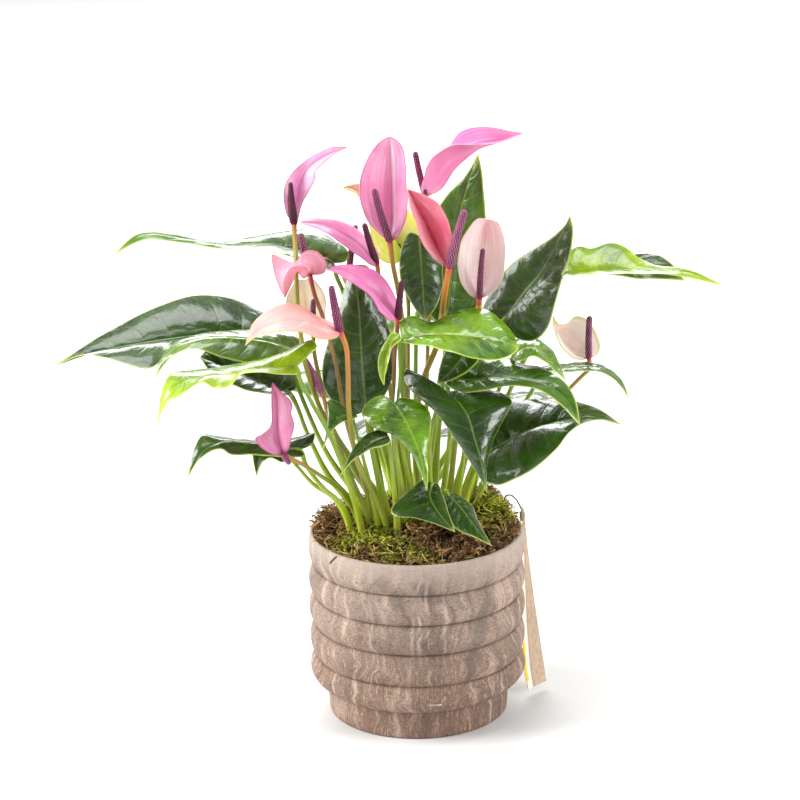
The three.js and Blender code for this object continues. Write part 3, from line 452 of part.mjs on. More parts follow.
// the stalk, and its hole through the moss and into the soil
function stemSolid(points, radius, steps) {
  const [foot, ...rest] = points;
  holes.push(solid(rod([UP(foot, ROOT_DEPTH - 0.5), ...rest], radius + CLEARANCE + 0.12, steps)));
  return solid(rod([UP(foot, ROOT_DEPTH), ...rest], radius, steps));
}

// steps that put one ring about every 30 mm of stalk
function stepsFor(points) {
  const c = new THREE.CatmullRomCurve3(points.map(v), false, 'centripetal');
  return Math.max(6, Math.round(c.getLength() / 32));
}

function leaf(t) {
  const { body, mid } = sheet(t, t.rows ?? 8, LEAF_THICKNESS);
  // the stalk runs on under the midrib, or ends in the joint where the blade hangs back over it
  const joint = mid.getPointAt(0);
  const arrive = joint.clone().sub(v(t.stem[t.stem.length - 2])).normalize();
  const hangs = arrive.dot(mid.getTangentAt(0.03)) < 0.1;
  const inside = hangs ? joint.clone().addScaledVector(arrive, 1.2) : mid.getPointAt(0.07);
  const stalk = [...t.stem, [inside.x, inside.y, inside.z]];
  return body.add(stemSolid(stalk, t.r ?? PETIOLE_RADIUS, stepsFor(stalk)));
}

// the soft spathe is cut back where the stalk and spadix pass its base
function spatheAndStem(name, t, look) {
  const [a, b] = t.spadix.map(v);
  const into = b.clone().sub(a).setLength(2).add(a);
  const stalk = [...t.stem, [into.x, into.y, into.z]];
  const steps = stepsFor(stalk);
  const [r0, r1] = t.spadixRadius;
  const body = stemSolid(stalk, PEDUNCLE_RADIUS, steps).add(solid(spadix(t.spadix[0], t.spadix[1], r0, r1)));
  const fat = solid(rod([UP(stalk[0], ROOT_DEPTH), ...stalk.slice(1)], PEDUNCLE_RADIUS + CLEARANCE + 0.05, steps))
    .add(solid(spadix(t.spadix[0], t.spadix[1], r0 + CLEARANCE + 0.1, r1 + CLEARANCE + 0.1, CLEARANCE + 0.1)));
  const pieces = sheet(t, t.rows ?? 8, SPATHE_THICKNESS).body.subtract(fat).decompose();
  pieces.sort((p, q) => q.volume() - p.volume());
  grown.push([`${name}_stem_spadix`, body, 'stem']);
  grown.push([`${name}_spathe`, pieces[0], look]);
}

const shoots = new Map();   // leaves that share one foot are one grown piece
for (const [name, t] of Object.entries(LEAVES)) {
  const body = leaf(t);
  const key = t.shoot ?? name;
  shoots.set(key, shoots.has(key) ? [shoots.get(key)[0].add(body), t.look] : [body, t.look]);
}
for (const [name, [body, look]] of shoots) grown.push([name, body, look]);
for (const [name, t] of Object.entries(FLOWERS)) spatheAndStem(name, t, t.look);

// flower 13 is still a bud: its spathe is rolled tight on the stalk
{
  const stalk = stemSolid(BUD.stem, 1.6, stepsFor(BUD.stem));
  grown.push(['flower_13_bud', stalk.add(solid(spadix(BUD.base, BUD.tip, BUD.radius, 0.9))), 'rose']);
}

const feet = holes.reduce((a, b) => a.add(b));
for (const [name, body, look] of grown) addPiece(name, body, look);

// ---------------------------------------------------------------- pot

// five rounded rings over a plain foot; the top ring ends in a thin open rim
const potProfile = [[0, 0], [FOOT_RADIUS - 1, 0], [FOOT_RADIUS, 1.2], [FOOT_RADIUS + 1.2, RING_EDGES[0] - 1.5]];
for (let i = 0; i < 5; i++) {
  const z0 = RING_EDGES[i], z1 = RING_EDGES[i + 1];
  const low = i === 0 ? FOOT_RADIUS + 3 : GROOVE_RADIUS;
  const high = i === 4 ? MOUTH_RADIUS : GROOVE_RADIUS;
  for (const f of [0, 0.2, 0.5, 0.8]) {
    const s = Math.pow(Math.sin(Math.PI * Math.min(0.5, f)), 0.8);
    const e = Math.pow(Math.sin(Math.PI * Math.min(0.5, 1 - f)), 0.8);
    const r = f < 0.5 ? low + (RING_RADIUS - low) * s : high + (RING_RADIUS - high) * e;
    potProfile.push([r, z0 + (z1 - z0) * f]);
  }
}
// the wall thins towards the rim; INSIDE lists its inner face from the rim to the floor
const INNER = MOUTH_RADIUS - LIP;
const INSIDE = [[INNER, POT_HEIGHT - 1], [INNER - 0.4, 126], [INNER - 4, 112], [INNER - 6, 96], [INNER - 9, 40], [FOOT_RADIUS - WALL, 18], [FOOT_RADIUS - WALL - 1, FLOOR]];
function insideAt(z) {
  for (let i = 0; i + 1 < INSIDE.length; i++) {
    const [r0, z0] = INSIDE[i], [r1, z1] = INSIDE[i + 1];
    if (z <= z0 && z >= z1) return r1 + (r0 - r1) * (z - z1) / (z0 - z1);
  }
  return INNER;
}
potProfile.push([MOUTH_RADIUS, POT_HEIGHT - 0.9], [MOUTH_RADIUS - 0.8, POT_HEIGHT], [INNER + 0.7, POT_HEIGHT]);
potProfile.push(...INSIDE, [0, FLOOR]);
function turned(profile, segments) {
  const g = new THREE.LatheGeometry(profile.map(([r, z]) => new THREE.Vector2(r, z)), segments);
  g.rotateX(Math.PI / 2);
  return g;
}
addPiece('pot', solid(turned(potProfile, 40)), 'pot');

// the soil fills the pot and the stems' feet are set in it
const soil = [[0, FLOOR + CLEARANCE], [insideAt(FLOOR) - CLEARANCE * 1.3, FLOOR + CLEARANCE],
  ...[18, 40, 96, 112, SOIL_TOP].map((z) => [insideAt(z) - CLEARANCE * 1.6, z]), [0, SOIL_TOP]];
addPiece('potting_soil', solid(turned(soil, 40)).subtract(feet), 'soil');

// moss lies over the soil in an uneven mound, heaped up at the left rim and at the back right
{
  const R = INNER - CLEARANCE * 1.3;
  const mound = [[0, SOIL_TOP + CLEARANCE], [insideAt(SOIL_TOP) - 0.8, SOIL_TOP + CLEARANCE], [R - 0.8, 126.5], [R - 0.3, MOSS_RIM]];
  for (const f of [0.95, 0.84, 0.7, 0.5, 0.25]) mound.push([R * f, MOSS_RIM + (MOSS_TOP - MOSS_RIM) * (1 - Math.pow(f, 2.2))]);
  mound.push([0, MOSS_TOP]);
  const g = closedMesh(turned(mound, 36));
  const p = g.attributes.position;
  for (let i = 0; i < p.count; i++) {
    const x = p.getX(i), y = p.getY(i), z = p.getZ(i);
    const k = Math.min(1, Math.max(0, (z - MOSS_RIM + 1) / 5));
    const heap = z < MOSS_RIM - 0.5 ? 0 : HEAPS.reduce((sum, [cx, cy, wx, wy, up]) => sum + up * Math.exp(-(((x - cx) / wx) ** 2) - ((y - cy) / wy) ** 2), 0);
    const wall = Math.min(1, (1 - Math.min(1, Math.hypot(x, y) / INNER)) * 9 + 0.3);
    p.setZ(i, z + k * (1.1 * Math.sin(x * 0.23 + 1.0) * Math.cos(y * 0.19) + 0.7 * Math.sin(x * 0.41 - y * 0.37)) + heap * wall);
  }
  addPiece('moss', solid(g).subtract(feet), 'moss');
}

// ---------------------------------------------------------------- tag

// a long card, narrow at its wire and wide at its foot, hangs outside the rings
{
  const rows = TAG.levels.length - 1;
  const pos = [], index = [];
  for (const level of TAG.levels) {
    const [a, b] = level.map(v);
    const n = new THREE.Vector3().subVectors(b, a).cross(new THREE.Vector3(0, 0, -1)).normalize();
    for (const s of [-0.5, 0.5]) for (const p of [a, b]) {
      const q = p.clone().addScaledVector(n, s * TAG_THICKNESS);
      pos.push(q.x, q.y, q.z);
    }
  }
  for (let i = 0; i < rows; i++) {
    const o = i * 4, q = o + 4;
    // the front and the back are split along the same diagonal, so the twisted card keeps its thickness
    for (const [a, b] of [[0, 1], [1, 3], [2, 0]]) index.push(o + a, o + b, q + b, o + a, q + b, q + a);
    index.push(o + 3, o + 2, q + 3, o + 2, q + 2, q + 3);
  }
  index.push(0, 2, 3, 0, 3, 1);
  const e = rows * 4;
  index.push(e, e + 1, e + 3, e, e + 3, e + 2);
  const g = new THREE.BufferGeometry();
  g.setAttribute('position', new THREE.BufferAttribute(new Float32Array(pos), 3));
  g.setIndex(index);
  const through = solid(rod(TAG.hole, TAG.holeRadius, 4, 10));
  addPiece('tag', solid(g).subtract(through), 'tag');
  // the wire comes out of the moss, and its twisted end is looped through the card
  const wire = solid(rod(TAG.wire, WIRE_RADIUS, 16)).add(solid(rod(TAG.loop, WIRE_RADIUS, 14)));
  const knot = solid(spadix(TAG.knot[0], TAG.knot[1], 1.8, 1.5));
  const [w0, ...wires] = TAG.wire;
  const mossHole = solid(rod([UP(w0, w0[2] - 0.6), ...wires], WIRE_RADIUS + CLEARANCE + 0.1, 16));
  addPiece('tag_wire', wire.add(knot), 'wire');
  const moss = group.children.find((m) => m.name === 'moss');
  moss.geometry = toGeometry(solid(moss.geometry).subtract(mossHole));
}

export default group;
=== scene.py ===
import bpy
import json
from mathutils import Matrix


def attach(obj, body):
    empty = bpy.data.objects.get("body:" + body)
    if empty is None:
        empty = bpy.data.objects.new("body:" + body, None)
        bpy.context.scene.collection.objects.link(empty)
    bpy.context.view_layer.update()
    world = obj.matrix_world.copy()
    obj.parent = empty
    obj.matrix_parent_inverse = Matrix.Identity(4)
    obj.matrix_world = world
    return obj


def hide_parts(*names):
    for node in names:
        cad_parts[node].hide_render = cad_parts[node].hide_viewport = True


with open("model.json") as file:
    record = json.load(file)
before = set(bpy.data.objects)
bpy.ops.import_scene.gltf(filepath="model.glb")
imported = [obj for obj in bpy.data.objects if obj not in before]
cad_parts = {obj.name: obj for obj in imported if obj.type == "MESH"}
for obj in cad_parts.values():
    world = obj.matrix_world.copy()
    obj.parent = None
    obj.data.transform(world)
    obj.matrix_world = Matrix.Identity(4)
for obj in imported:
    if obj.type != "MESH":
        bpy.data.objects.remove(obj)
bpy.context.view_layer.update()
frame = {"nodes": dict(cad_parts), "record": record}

import json
import math
import random

import bpy
import numpy as np
from mathutils import Matrix, Vector, noise

# Potted anthurium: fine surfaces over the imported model.
# The tables are in millimetres in the row frame and are turned to metres when a mesh is made.
MM = 0.001

# leaves: midrib from the stalk to the tip, right and left margins, stalk from the soil up, in millimetres
LEAVES = {
    'leaf_01': dict(node='leaf_01', tint='mid',
        mid=[(-55.6,8.0,324.0),(-73.2,8.0,332.1),(-96.8,6.0,337.9),(-127.3,2.0,339.5),(-157.2,-4.0,346.5),(-180.5,-8.0,350.0),(-202.3,-12.0,337.5)],
        right=[(-55.6,8.0,324.0),(-46.2,16.0,322.4),(-44.1,26.0,326.7),(-53.1,34.0,333.3),(-68.8,36.0,340.2),(-87.3,30.0,341.3),(-107.7,22.0,339.5),(-134.5,10.0,339.6),(-167.5,0.0,349.8),(-186.8,-6.0,349.6),(-202.3,-12.0,337.5)],
        left=[(-55.6,8.0,324.0),(-50.7,-2.0,321.7),(-59.2,-14.0,326.6),(-75.7,-22.0,334.6),(-91.1,-22.0,339.1),(-104.6,-18.0,341.0),(-126.6,-10.0,340.2),(-156.9,-10.0,344.6),(-180.3,-12.0,347.6),(-202.3,-12.0,337.5)],
        stem=[(-12.0,24.0,118.0),(-12.0,24.0,141.0),(-44.4,14.0,274.3),(-47.3,16.0,298.8),(-51.8,14.0,311.6),(-55.6,8.0,324.0)]),
    'leaf_02': dict(node='leaf_02', tint='dark',
        mid=[(-100.2,10.0,273.5),(-126.2,8.0,275.2),(-163.1,2.0,274.0),(-190.1,-4.0,272.0),(-219.9,-10.0,267.9),(-245.5,-17.0,261.2)],
        right=[(-100.2,10.0,273.5),(-93.5,18.0,275.3),(-97.9,30.0,280.5),(-114.7,36.0,287.0),(-130.6,38.0,292.5),(-149.2,36.0,294.8),(-171.7,28.0,291.7),(-199.4,14.0,281.8),(-220.6,0.0,273.4),(-245.5,-17.0,261.2)],
        left=[(-100.2,10.0,273.5),(-97.2,2.0,272.2),(-108.5,-6.0,273.4),(-125.3,-12.0,274.8),(-142.1,-16.0,275.5),(-157.4,-22.0,274.1),(-168.7,-28.0,269.0),(-179.5,-32.0,263.0),(-209.1,-24.0,268.4),(-227.1,-20.0,268.9),(-245.5,-17.0,261.2)],
        stem=[(-31.0,-2.0,118.0),(-31.0,-2.0,141.0),(-60.6,2.0,187.4),(-77.2,8.0,225.9),(-88.9,12.0,259.0),(-100.2,10.0,273.5)]),
    'leaf_03': dict(node='leaf_03', tint='pale',
        mid=[(-77.3,-24.0,270.5),(-97.3,-28.0,279.1),(-117.3,-32.0,283.5),(-140.5,-37.0,285.4),(-157.2,-42.0,282.2),(-168.7,-46.0,273.1),(-176.0,-50.0,259.0)],
        right=[(-77.3,-24.0,270.5),(-73.3,-16.0,273.7),(-84.2,-12.0,279.8),(-103.3,-10.0,282.4),(-125.0,-12.0,282.6),(-145.0,-20.0,283.2),(-159.2,-32.0,282.1),(-169.6,-42.0,274.0),(-176.0,-50.0,259.0)],
        left=[(-77.3,-24.0,270.5),(-75.8,-32.0,265.9),(-87.1,-40.0,265.7),(-107.0,-46.0,269.3),(-126.9,-48.0,274.5),(-143.5,-48.0,280.3),(-155.5,-48.0,279.8),(-167.3,-48.0,270.9),(-176.0,-50.0,259.0)],
        stem=[(-24.0,6.0,118.0),(-24.0,6.0,141.0),(-53.6,4.0,190.3),(-66.6,0.0,226.9),(-73.9,-12.0,255.3),(-77.3,-24.0,270.5)]),
    'leaf_04': dict(node='leaf_04', tint='lime',
        mid=[(-78.6,-71.0,273.8),(-97.0,-75.0,275.3),(-118.7,-79.0,274.2),(-141.7,-83.0,272.3),(-156.2,-87.0,267.6),(-165.6,-90.0,257.6),(-170.5,-91.0,240.7)],
        right=[(-78.6,-71.0,273.8),(-70.6,-65.0,280.1),(-64.7,-59.0,284.5),(-68.0,-55.0,288.2),(-76.2,-51.0,284.3),(-90.0,-47.0,276.3),(-106.9,-47.0,271.7),(-125.0,-49.0,268.4),(-145.2,-59.0,269.7),(-162.4,-71.0,271.0),(-168.1,-81.0,259.6),(-170.5,-91.0,240.7)],
        left=[(-78.6,-71.0,273.8),(-77.8,-79.0,272.1),(-84.7,-87.0,274.7),(-100.1,-95.0,278.2),(-114.3,-101.0,278.9),(-120.9,-103.0,272.1),(-130.8,-103.0,270.9),(-138.6,-101.0,274.5),(-150.8,-99.0,266.5),(-162.7,-94.0,257.5),(-167.7,-92.0,250.0),(-170.5,-91.0,240.7)],
        stem=[(-38.0,-23.0,118.0),(-38.0,-23.0,141.0),(-56.3,-52.0,216.5),(-68.2,-62.0,244.9),(-76.3,-66.0,263.8),(-78.6,-71.0,273.8)]),
    'leaf_05': dict(node='leaf_05', tint='dark',
        mid=[(-87.3,6.0,232.6),(-98.3,6.0,236.4),(-114.0,6.0,243.9),(-130.3,6.0,251.4),(-147.3,6.0,258.9)],
        right=[(-87.3,6.0,232.6),(-81.9,12.0,233.5),(-83.4,20.0,239.7),(-96.6,26.0,247.5),(-117.4,28.0,253.8),(-134.3,22.0,259.6),(-143.6,14.0,260.7),(-147.3,6.0,258.9)],
        left=[(-87.3,6.0,232.6),(-84.3,-2.0,232.2),(-95.7,-10.0,236.4),(-111.8,-16.0,240.7),(-125.3,-16.0,245.3),(-136.4,-10.0,250.7),(-142.9,-2.0,254.8),(-147.3,6.0,258.9)],
        stem=[(-39.0,4.0,118.0),(-39.0,4.0,141.0),(-61.0,4.0,172.0),(-75.6,6.0,204.6),(-82.0,6.0,223.7),(-87.3,6.0,232.6)]),
    'leaf_06': dict(node='leaf_06_pair', tint='dark',
        mid=[(-78.7,-34.0,203.6),(-92.1,-38.0,208.1),(-112.2,-42.0,212.0),(-130.9,-48.0,215.0),(-143.6,-54.0,210.1),(-154.4,-58.0,193.1)],
        right=[(-78.7,-34.0,203.6),(-70.6,-28.0,205.8),(-69.3,-20.0,211.0),(-80.5,-14.0,206.3),(-96.5,-12.0,203.7),(-114.3,-16.0,203.9),(-128.2,-24.0,208.3),(-137.0,-34.0,214.7),(-144.6,-42.0,218.5),(-151.2,-52.0,207.4),(-154.4,-58.0,193.1)],
        left=[(-78.7,-34.0,203.6),(-75.9,-38.0,200.6),(-86.6,-44.0,202.2),(-100.0,-48.0,204.5),(-112.8,-50.0,206.1),(-125.4,-54.0,208.4),(-131.2,-56.0,212.7),(-138.7,-56.0,210.7),(-146.9,-58.0,204.4),(-154.4,-58.0,193.1)],
        stem=[(-46.0,-19.0,118.0),(-46.0,-19.0,141.0),(-52.3,-30.0,163.3),(-63.6,-34.0,175.9),(-74.8,-36.0,193.4),(-78.7,-34.0,203.6)]),
    'leaf_07': dict(node='leaf_06_pair', tint='dark',
        mid=[(-90.1,-22.0,198.3),(-99.6,-24.0,201.3),(-106.3,-30.0,198.4),(-108.8,-36.0,185.3)],
        right=[(-90.1,-22.0,198.3),(-89.6,-14.0,201.4),(-98.6,-12.0,203.8),(-108.1,-16.0,204.5),(-112.7,-22.0,203.0),(-111.2,-31.0,195.2),(-108.8,-36.0,185.3)],
        left=[(-90.1,-22.0,198.3),(-85.9,-28.0,195.9),(-91.2,-34.0,195.2),(-99.1,-38.0,199.6),(-104.7,-38.0,195.3),(-108.8,-36.0,185.3)],
        stem=[(-46.0,-19.0,118.0),(-46.0,-19.0,141.0),(-55.8,-24.0,164.1),(-70.7,-24.0,175.4),(-84.8,-23.0,192.7),(-90.1,-22.0,198.3)]),
    'leaf_08': dict(node='leaf_08', tint='dark',
        mid=[(-33.4,-12.0,223.7),(-35.0,-12.0,246.1),(-36.0,-10.0,270.6),(-36.9,-4.0,293.7),(-39.9,6.0,319.3)],
        right=[(-33.4,-12.0,223.7),(-26.5,-6.0,225.3),(-18.8,-2.0,234.0),(-13.7,0.0,249.2),(-13.5,2.0,264.4),(-17.3,3.0,280.7),(-23.9,6.0,297.8),(-31.9,8.0,311.6),(-39.9,6.0,319.3)],
        left=[(-33.4,-12.0,223.7),(-43.1,-8.0,219.7),(-52.7,-6.0,225.0),(-60.1,-4.0,234.6),(-63.2,-3.0,249.5),(-60.9,-2.0,263.5),(-55.8,0.0,278.6),(-50.0,4.0,295.2),(-44.9,7.0,312.0),(-39.9,6.0,319.3)],
        stem=[(-20.0,-12.0,118.0),(-20.0,-12.0,141.0),(-31.0,-14.0,203.3),(-33.4,-12.0,223.7)]),
    'leaf_09': dict(node='leaf_09', tint='mid',
        mid=[(23.8,40.0,274.1),(26.1,40.0,294.4),(28.5,40.0,319.6),(35.0,38.0,355.8),(46.2,34.0,393.3)],
        right=[(23.8,40.0,274.1),(31.4,36.0,270.1),(41.1,32.0,278.4),(48.1,30.0,296.9),(51.1,30.0,322.0),(51.3,32.0,342.8),(50.0,33.0,363.9),(48.8,33.0,380.1),(46.2,34.0,393.3)],
        left=[(23.8,40.0,274.1),(17.5,42.0,270.7),(10.0,46.0,279.9),(6.8,48.0,299.7),(8.5,48.0,321.4),(14.3,46.0,343.4),(24.8,42.0,362.0),(34.5,39.0,373.2),(42.0,36.0,384.4),(46.2,34.0,393.3)],
        stem=[(13.0,46.0,118.0),(13.0,46.0,141.0),(23.0,42.0,253.8),(23.8,40.0,274.1)]),
    'leaf_10': dict(node='leaf_10', tint='dark',
        mid=[(4.9,16.8,339.8),(6.0,12.8,322.4),(7.1,11.0,303.0),(8.2,11.0,280.0)],
        right=[(4.9,16.8,339.8),(-1.2,18.8,342.2),(-6.9,18.8,333.0),(-8.8,17.0,321.5),(-7.9,13.0,308.3),(-0.6,11.0,293.1),(8.2,11.0,280.0)],
        left=[(4.9,16.8,339.8),(11.1,18.8,342.0),(17.2,20.8,334.2),(20.5,21.0,319.9),(20.9,17.0,304.6),(15.9,13.0,290.8),(8.2,11.0,280.0)],
        stem=[(1.0,42.0,118.0),(1.0,42.0,141.0),(2.0,38.0,259.1),(5.2,39.0,295.1),(7.3,34.0,324.5),(4.9,16.8,339.8)]),
    'leaf_11': dict(node='leaf_11', tint='dark',
        mid=[(61.3,12.0,278.9),(77.1,10.0,301.4),(90.0,8.0,318.1),(100.6,2.0,340.7),(107.0,-4.0,358.3)],
        right=[(61.3,12.0,278.9),(66.6,8.0,272.1),(74.7,4.0,268.1),(82.1,0.0,268.8),(87.4,-4.0,273.2),(91.4,-6.0,279.4),(96.0,-8.0,293.4),(100.1,-8.0,308.9),(105.5,-8.0,327.2),(108.7,-6.0,341.3),(109.0,-5.0,350.1),(107.0,-4.0,358.3)],
        left=[(61.3,12.0,278.9),(54.5,16.0,274.9),(47.7,20.0,282.5),(50.6,22.0,291.9),(58.3,22.0,304.0),(65.9,20.0,315.9),(78.1,16.0,326.7),(93.5,8.0,338.5),(103.9,0.0,350.3),(107.0,-4.0,358.3)],
        stem=[(29.0,46.0,118.0),(29.0,46.0,141.0),(53.2,28.0,232.0),(58.7,20.0,259.9),(61.3,12.0,278.9)]),
    'leaf_12': dict(node='leaf_12', tint='lime',
        mid=[(106.1,25.0,309.6),(129.3,22.0,310.7),(156.4,16.0,313.4),(183.1,8.0,314.4),(199.9,4.0,311.0),(213.3,0.0,305.5)],
        right=[(106.1,25.0,309.6),(102.9,18.0,308.7),(111.3,8.0,310.6),(127.8,0.0,315.4),(144.6,-4.0,316.6),(161.6,-4.0,316.0),(182.0,-4.0,314.3),(195.9,-2.0,310.6),(213.3,0.0,305.5)],
        left=[(106.1,25.0,309.6),(102.3,32.0,312.7),(106.8,38.0,319.6),(115.9,40.0,324.7),(124.2,40.0,323.1),(138.1,40.0,326.5),(147.5,36.0,324.5),(155.4,30.0,318.8),(167.0,20.0,316.0),(190.0,8.0,315.0),(213.3,0.0,305.5)],
        stem=[(39.0,38.0,118.0),(39.0,38.0,141.0),(67.6,38.0,221.2),(81.7,38.0,254.1),(92.7,34.0,280.6),(100.1,30.0,299.7),(106.1,25.0,309.6)]),
    'leaf_13': dict(node='leaf_13_pair', tint='dark',
        mid=[(110.5,54.0,305.1),(131.5,54.0,309.1),(150.9,52.0,309.3),(169.5,48.0,307.2),(190.0,42.0,297.7)],
        right=[(110.5,54.0,305.1),(108.9,50.0,303.3),(120.5,45.0,303.1),(139.1,42.0,302.9),(158.3,38.0,301.1),(174.3,38.0,300.2),(183.5,40.0,299.1),(190.0,42.0,297.7)],
        left=[(110.5,54.0,305.1),(107.9,58.0,308.4),(118.1,63.0,311.2),(132.3,66.0,313.1),(146.5,68.0,314.1),(160.4,66.0,313.3),(175.0,56.0,311.5),(182.8,48.0,307.0),(190.0,42.0,297.7)],
        stem=[(35.0,50.0,118.0),(35.0,50.0,141.0),(71.7,52.0,224.1),(85.4,58.0,251.7),(96.7,58.0,280.9),(105.0,56.0,299.5),(110.5,54.0,305.1)]),
    'leaf_14': dict(node='leaf_14', tint='bright',
        mid=[(-7.2,-44.0,285.3),(7.5,-46.0,287.8),(27.6,-48.0,288.0),(47.6,-50.0,286.2),(60.9,-52.0,283.8),(70.2,-54.0,279.4)],
        right=[(-7.2,-44.0,285.3),(-8.0,-50.0,284.3),(-1.3,-58.0,285.2),(10.6,-66.0,286.1),(23.7,-72.0,283.5),(38.3,-72.0,279.1),(51.7,-68.0,276.3),(62.6,-61.0,276.0),(70.2,-54.0,279.4)],
        left=[(-7.2,-44.0,285.3),(-9.2,-38.0,289.1),(-8.4,-30.0,293.8),(-0.2,-24.0,294.4),(11.3,-20.0,289.1),(24.3,-16.0,293.4),(37.3,-14.0,296.5),(50.7,-18.0,295.7),(61.2,-28.0,290.0),(68.0,-42.0,284.2),(70.2,-54.0,279.4)],
        stem=[(-3.0,2.0,118.0),(-3.0,2.0,141.0),(-7.3,-16.0,225.3),(-8.9,-28.0,256.4),(-8.0,-38.0,277.2),(-7.2,-44.0,285.3)]),
    'leaf_15': dict(node='leaf_15', tint='mid',
        mid=[(21.8,-18.0,248.5),(38.0,-22.0,248.0),(55.0,-26.0,251.2),(71.8,-30.0,250.7),(90.5,-36.0,247.3),(103.1,-42.0,238.4),(111.6,-48.0,223.1)],
        right=[(21.8,-18.0,248.5),(21.5,-28.0,246.6),(32.2,-38.0,244.7),(45.5,-44.0,247.1),(61.0,-46.0,250.3),(77.9,-46.0,250.0),(90.0,-47.0,244.5),(99.4,-48.0,236.8),(106.7,-49.0,228.5),(111.6,-48.0,223.1)],
        left=[(21.8,-18.0,248.5),(17.9,-8.0,251.2),(26.3,2.0,255.8),(44.4,6.0,257.9),(62.9,2.0,256.7),(75.6,-6.0,253.2),(86.3,-12.0,253.4),(96.6,-24.0,251.3),(104.2,-34.0,246.5),(109.2,-42.0,237.6),(111.6,-48.0,223.1)],
        stem=[(18.0,8.0,118.0),(18.0,8.0,141.0),(24.4,-2.0,205.7),(23.1,-14.0,237.1),(21.8,-18.0,248.5)]),
    'leaf_16': dict(node='leaf_16', tint='mid',
        mid=[(91.2,5.0,245.9),(107.6,2.0,248.7),(124.6,-2.0,249.7),(136.7,-6.0,245.0),(144.0,-10.0,237.5),(147.4,-12.0,228.7)],
        right=[(91.2,5.0,245.9),(90.3,0.0,244.6),(100.3,-6.0,247.7),(113.8,-10.0,249.5),(125.4,-10.0,248.6),(134.9,-12.0,245.5),(141.8,-12.0,238.1),(147.4,-12.0,228.7)],
        left=[(91.2,5.0,245.9),(88.1,12.0,245.9),(96.2,20.0,244.8),(112.4,24.0,244.0),(126.1,20.0,245.0),(137.2,10.0,242.9),(144.0,-2.0,237.8),(147.4,-12.0,228.7)],
        stem=[(43.0,28.0,118.0),(43.0,28.0,141.0),(70.1,16.0,206.2),(87.3,10.0,238.6),(91.2,5.0,245.9)]),
    'leaf_17': dict(node='leaf_17', tint='bright',
        mid=[(70.4,0.0,260.0),(78.5,-2.0,264.8),(86.6,-6.0,263.8),(93.9,-10.0,257.0),(104.3,-14.0,243.7)],
        right=[(70.4,0.0,260.0),(67.9,-10.0,258.1),(72.3,-18.0,259.8),(80.4,-22.0,264.5),(87.8,-22.0,260.8),(94.7,-20.0,254.3),(104.3,-14.0,243.7)],
        left=[(70.4,0.0,260.0),(68.6,8.0,263.4),(77.2,14.0,265.8),(87.4,12.0,265.5),(94.6,4.0,261.3),(99.6,-6.0,254.2),(104.3,-14.0,243.7)],
        stem=[(36.0,20.0,118.0),(36.0,20.0,141.0),(56.1,10.0,223.1),(66.1,-2.0,252.1),(70.4,0.0,260.0)]),
    'leaf_18': dict(node='leaf_18', tint='dark',
        mid=[(50.1,-20.0,194.6),(67.1,-24.0,206.5),(82.0,-28.0,214.8),(100.3,-32.0,220.9),(118.9,-38.0,225.4),(140.1,-46.0,222.0)],
        right=[(50.1,-20.0,194.6),(44.3,-28.0,190.9),(43.9,-38.0,184.9),(49.1,-46.0,181.9),(57.1,-52.0,182.4),(73.2,-58.0,191.4),(84.6,-60.0,199.8),(95.5,-58.0,210.4),(103.2,-52.0,218.2),(113.8,-44.0,222.5),(126.8,-42.0,224.5),(140.1,-46.0,222.0)],
        left=[(50.1,-20.0,194.6),(44.8,-14.0,198.4),(46.5,-6.0,210.3),(55.8,2.0,219.1),(67.0,6.0,222.7),(80.2,6.0,224.0),(95.2,2.0,226.5),(111.1,-10.0,227.9),(126.5,-26.0,226.4),(140.1,-46.0,222.0)],
        stem=[(33.0,8.0,118.0),(33.0,8.0,141.0),(39.5,4.0,170.3),(44.8,-10.0,184.6),(50.1,-20.0,194.6)]),
    'leaf_19': dict(node='leaf_19', tint='dark',
        mid=[(20.6,-43.0,245.0),(29.1,-51.0,241.8),(35.6,-59.0,233.7),(39.4,-65.0,221.5),(43.2,-69.0,208.6),(47.7,-71.0,183.6)],
        right=[(20.6,-43.0,245.0),(11.9,-37.0,248.9),(2.6,-29.0,253.7),(-5.5,-25.0,257.6),(-7.0,-29.0,251.7),(-1.0,-39.0,244.8),(10.3,-49.0,237.9),(20.1,-57.0,228.3),(28.6,-63.0,216.7),(36.5,-67.0,204.5),(43.1,-70.0,193.3),(47.7,-71.0,183.6)],
        left=[(20.6,-43.0,245.0),(25.5,-33.0,243.9),(34.4,-28.0,242.9),(51.5,-28.0,242.6),(61.5,-32.0,240.1),(65.9,-40.0,237.6),(63.0,-45.0,232.9),(56.6,-53.0,223.6),(50.9,-59.0,212.2),(48.0,-65.0,202.2),(47.4,-69.0,192.2),(47.7,-71.0,183.6)],
        stem=[(11.0,-4.0,118.0),(11.0,-4.0,141.0),(10.3,-16.0,203.3),(17.3,-30.0,236.6),(20.6,-43.0,245.0)]),
    'leaf_20': dict(node='leaf_20', tint='bright',
        mid=[(-14.0,-45.0,239.9),(-6.7,-54.0,230.6),(-1.5,-60.0,220.5),(3.0,-65.0,209.3),(7.3,-70.0,185.3)],
        right=[(-14.0,-45.0,239.9),(-20.0,-38.0,242.7),(-27.5,-32.0,239.5),(-34.5,-32.0,233.1),(-35.9,-38.0,228.7),(-27.1,-48.0,223.3),(-16.3,-54.0,220.8),(-9.0,-58.0,216.4),(-2.4,-62.0,208.4),(2.8,-66.0,198.3),(7.3,-70.0,185.3)],
        left=[(-14.0,-45.0,239.9),(-9.9,-42.0,242.4),(-1.8,-42.0,241.5),(6.3,-46.0,238.4),(10.2,-50.0,233.3),(10.7,-54.0,226.8),(9.2,-58.0,217.5),(7.7,-63.0,207.1),(8.2,-67.0,197.8),(7.3,-70.0,185.3)],
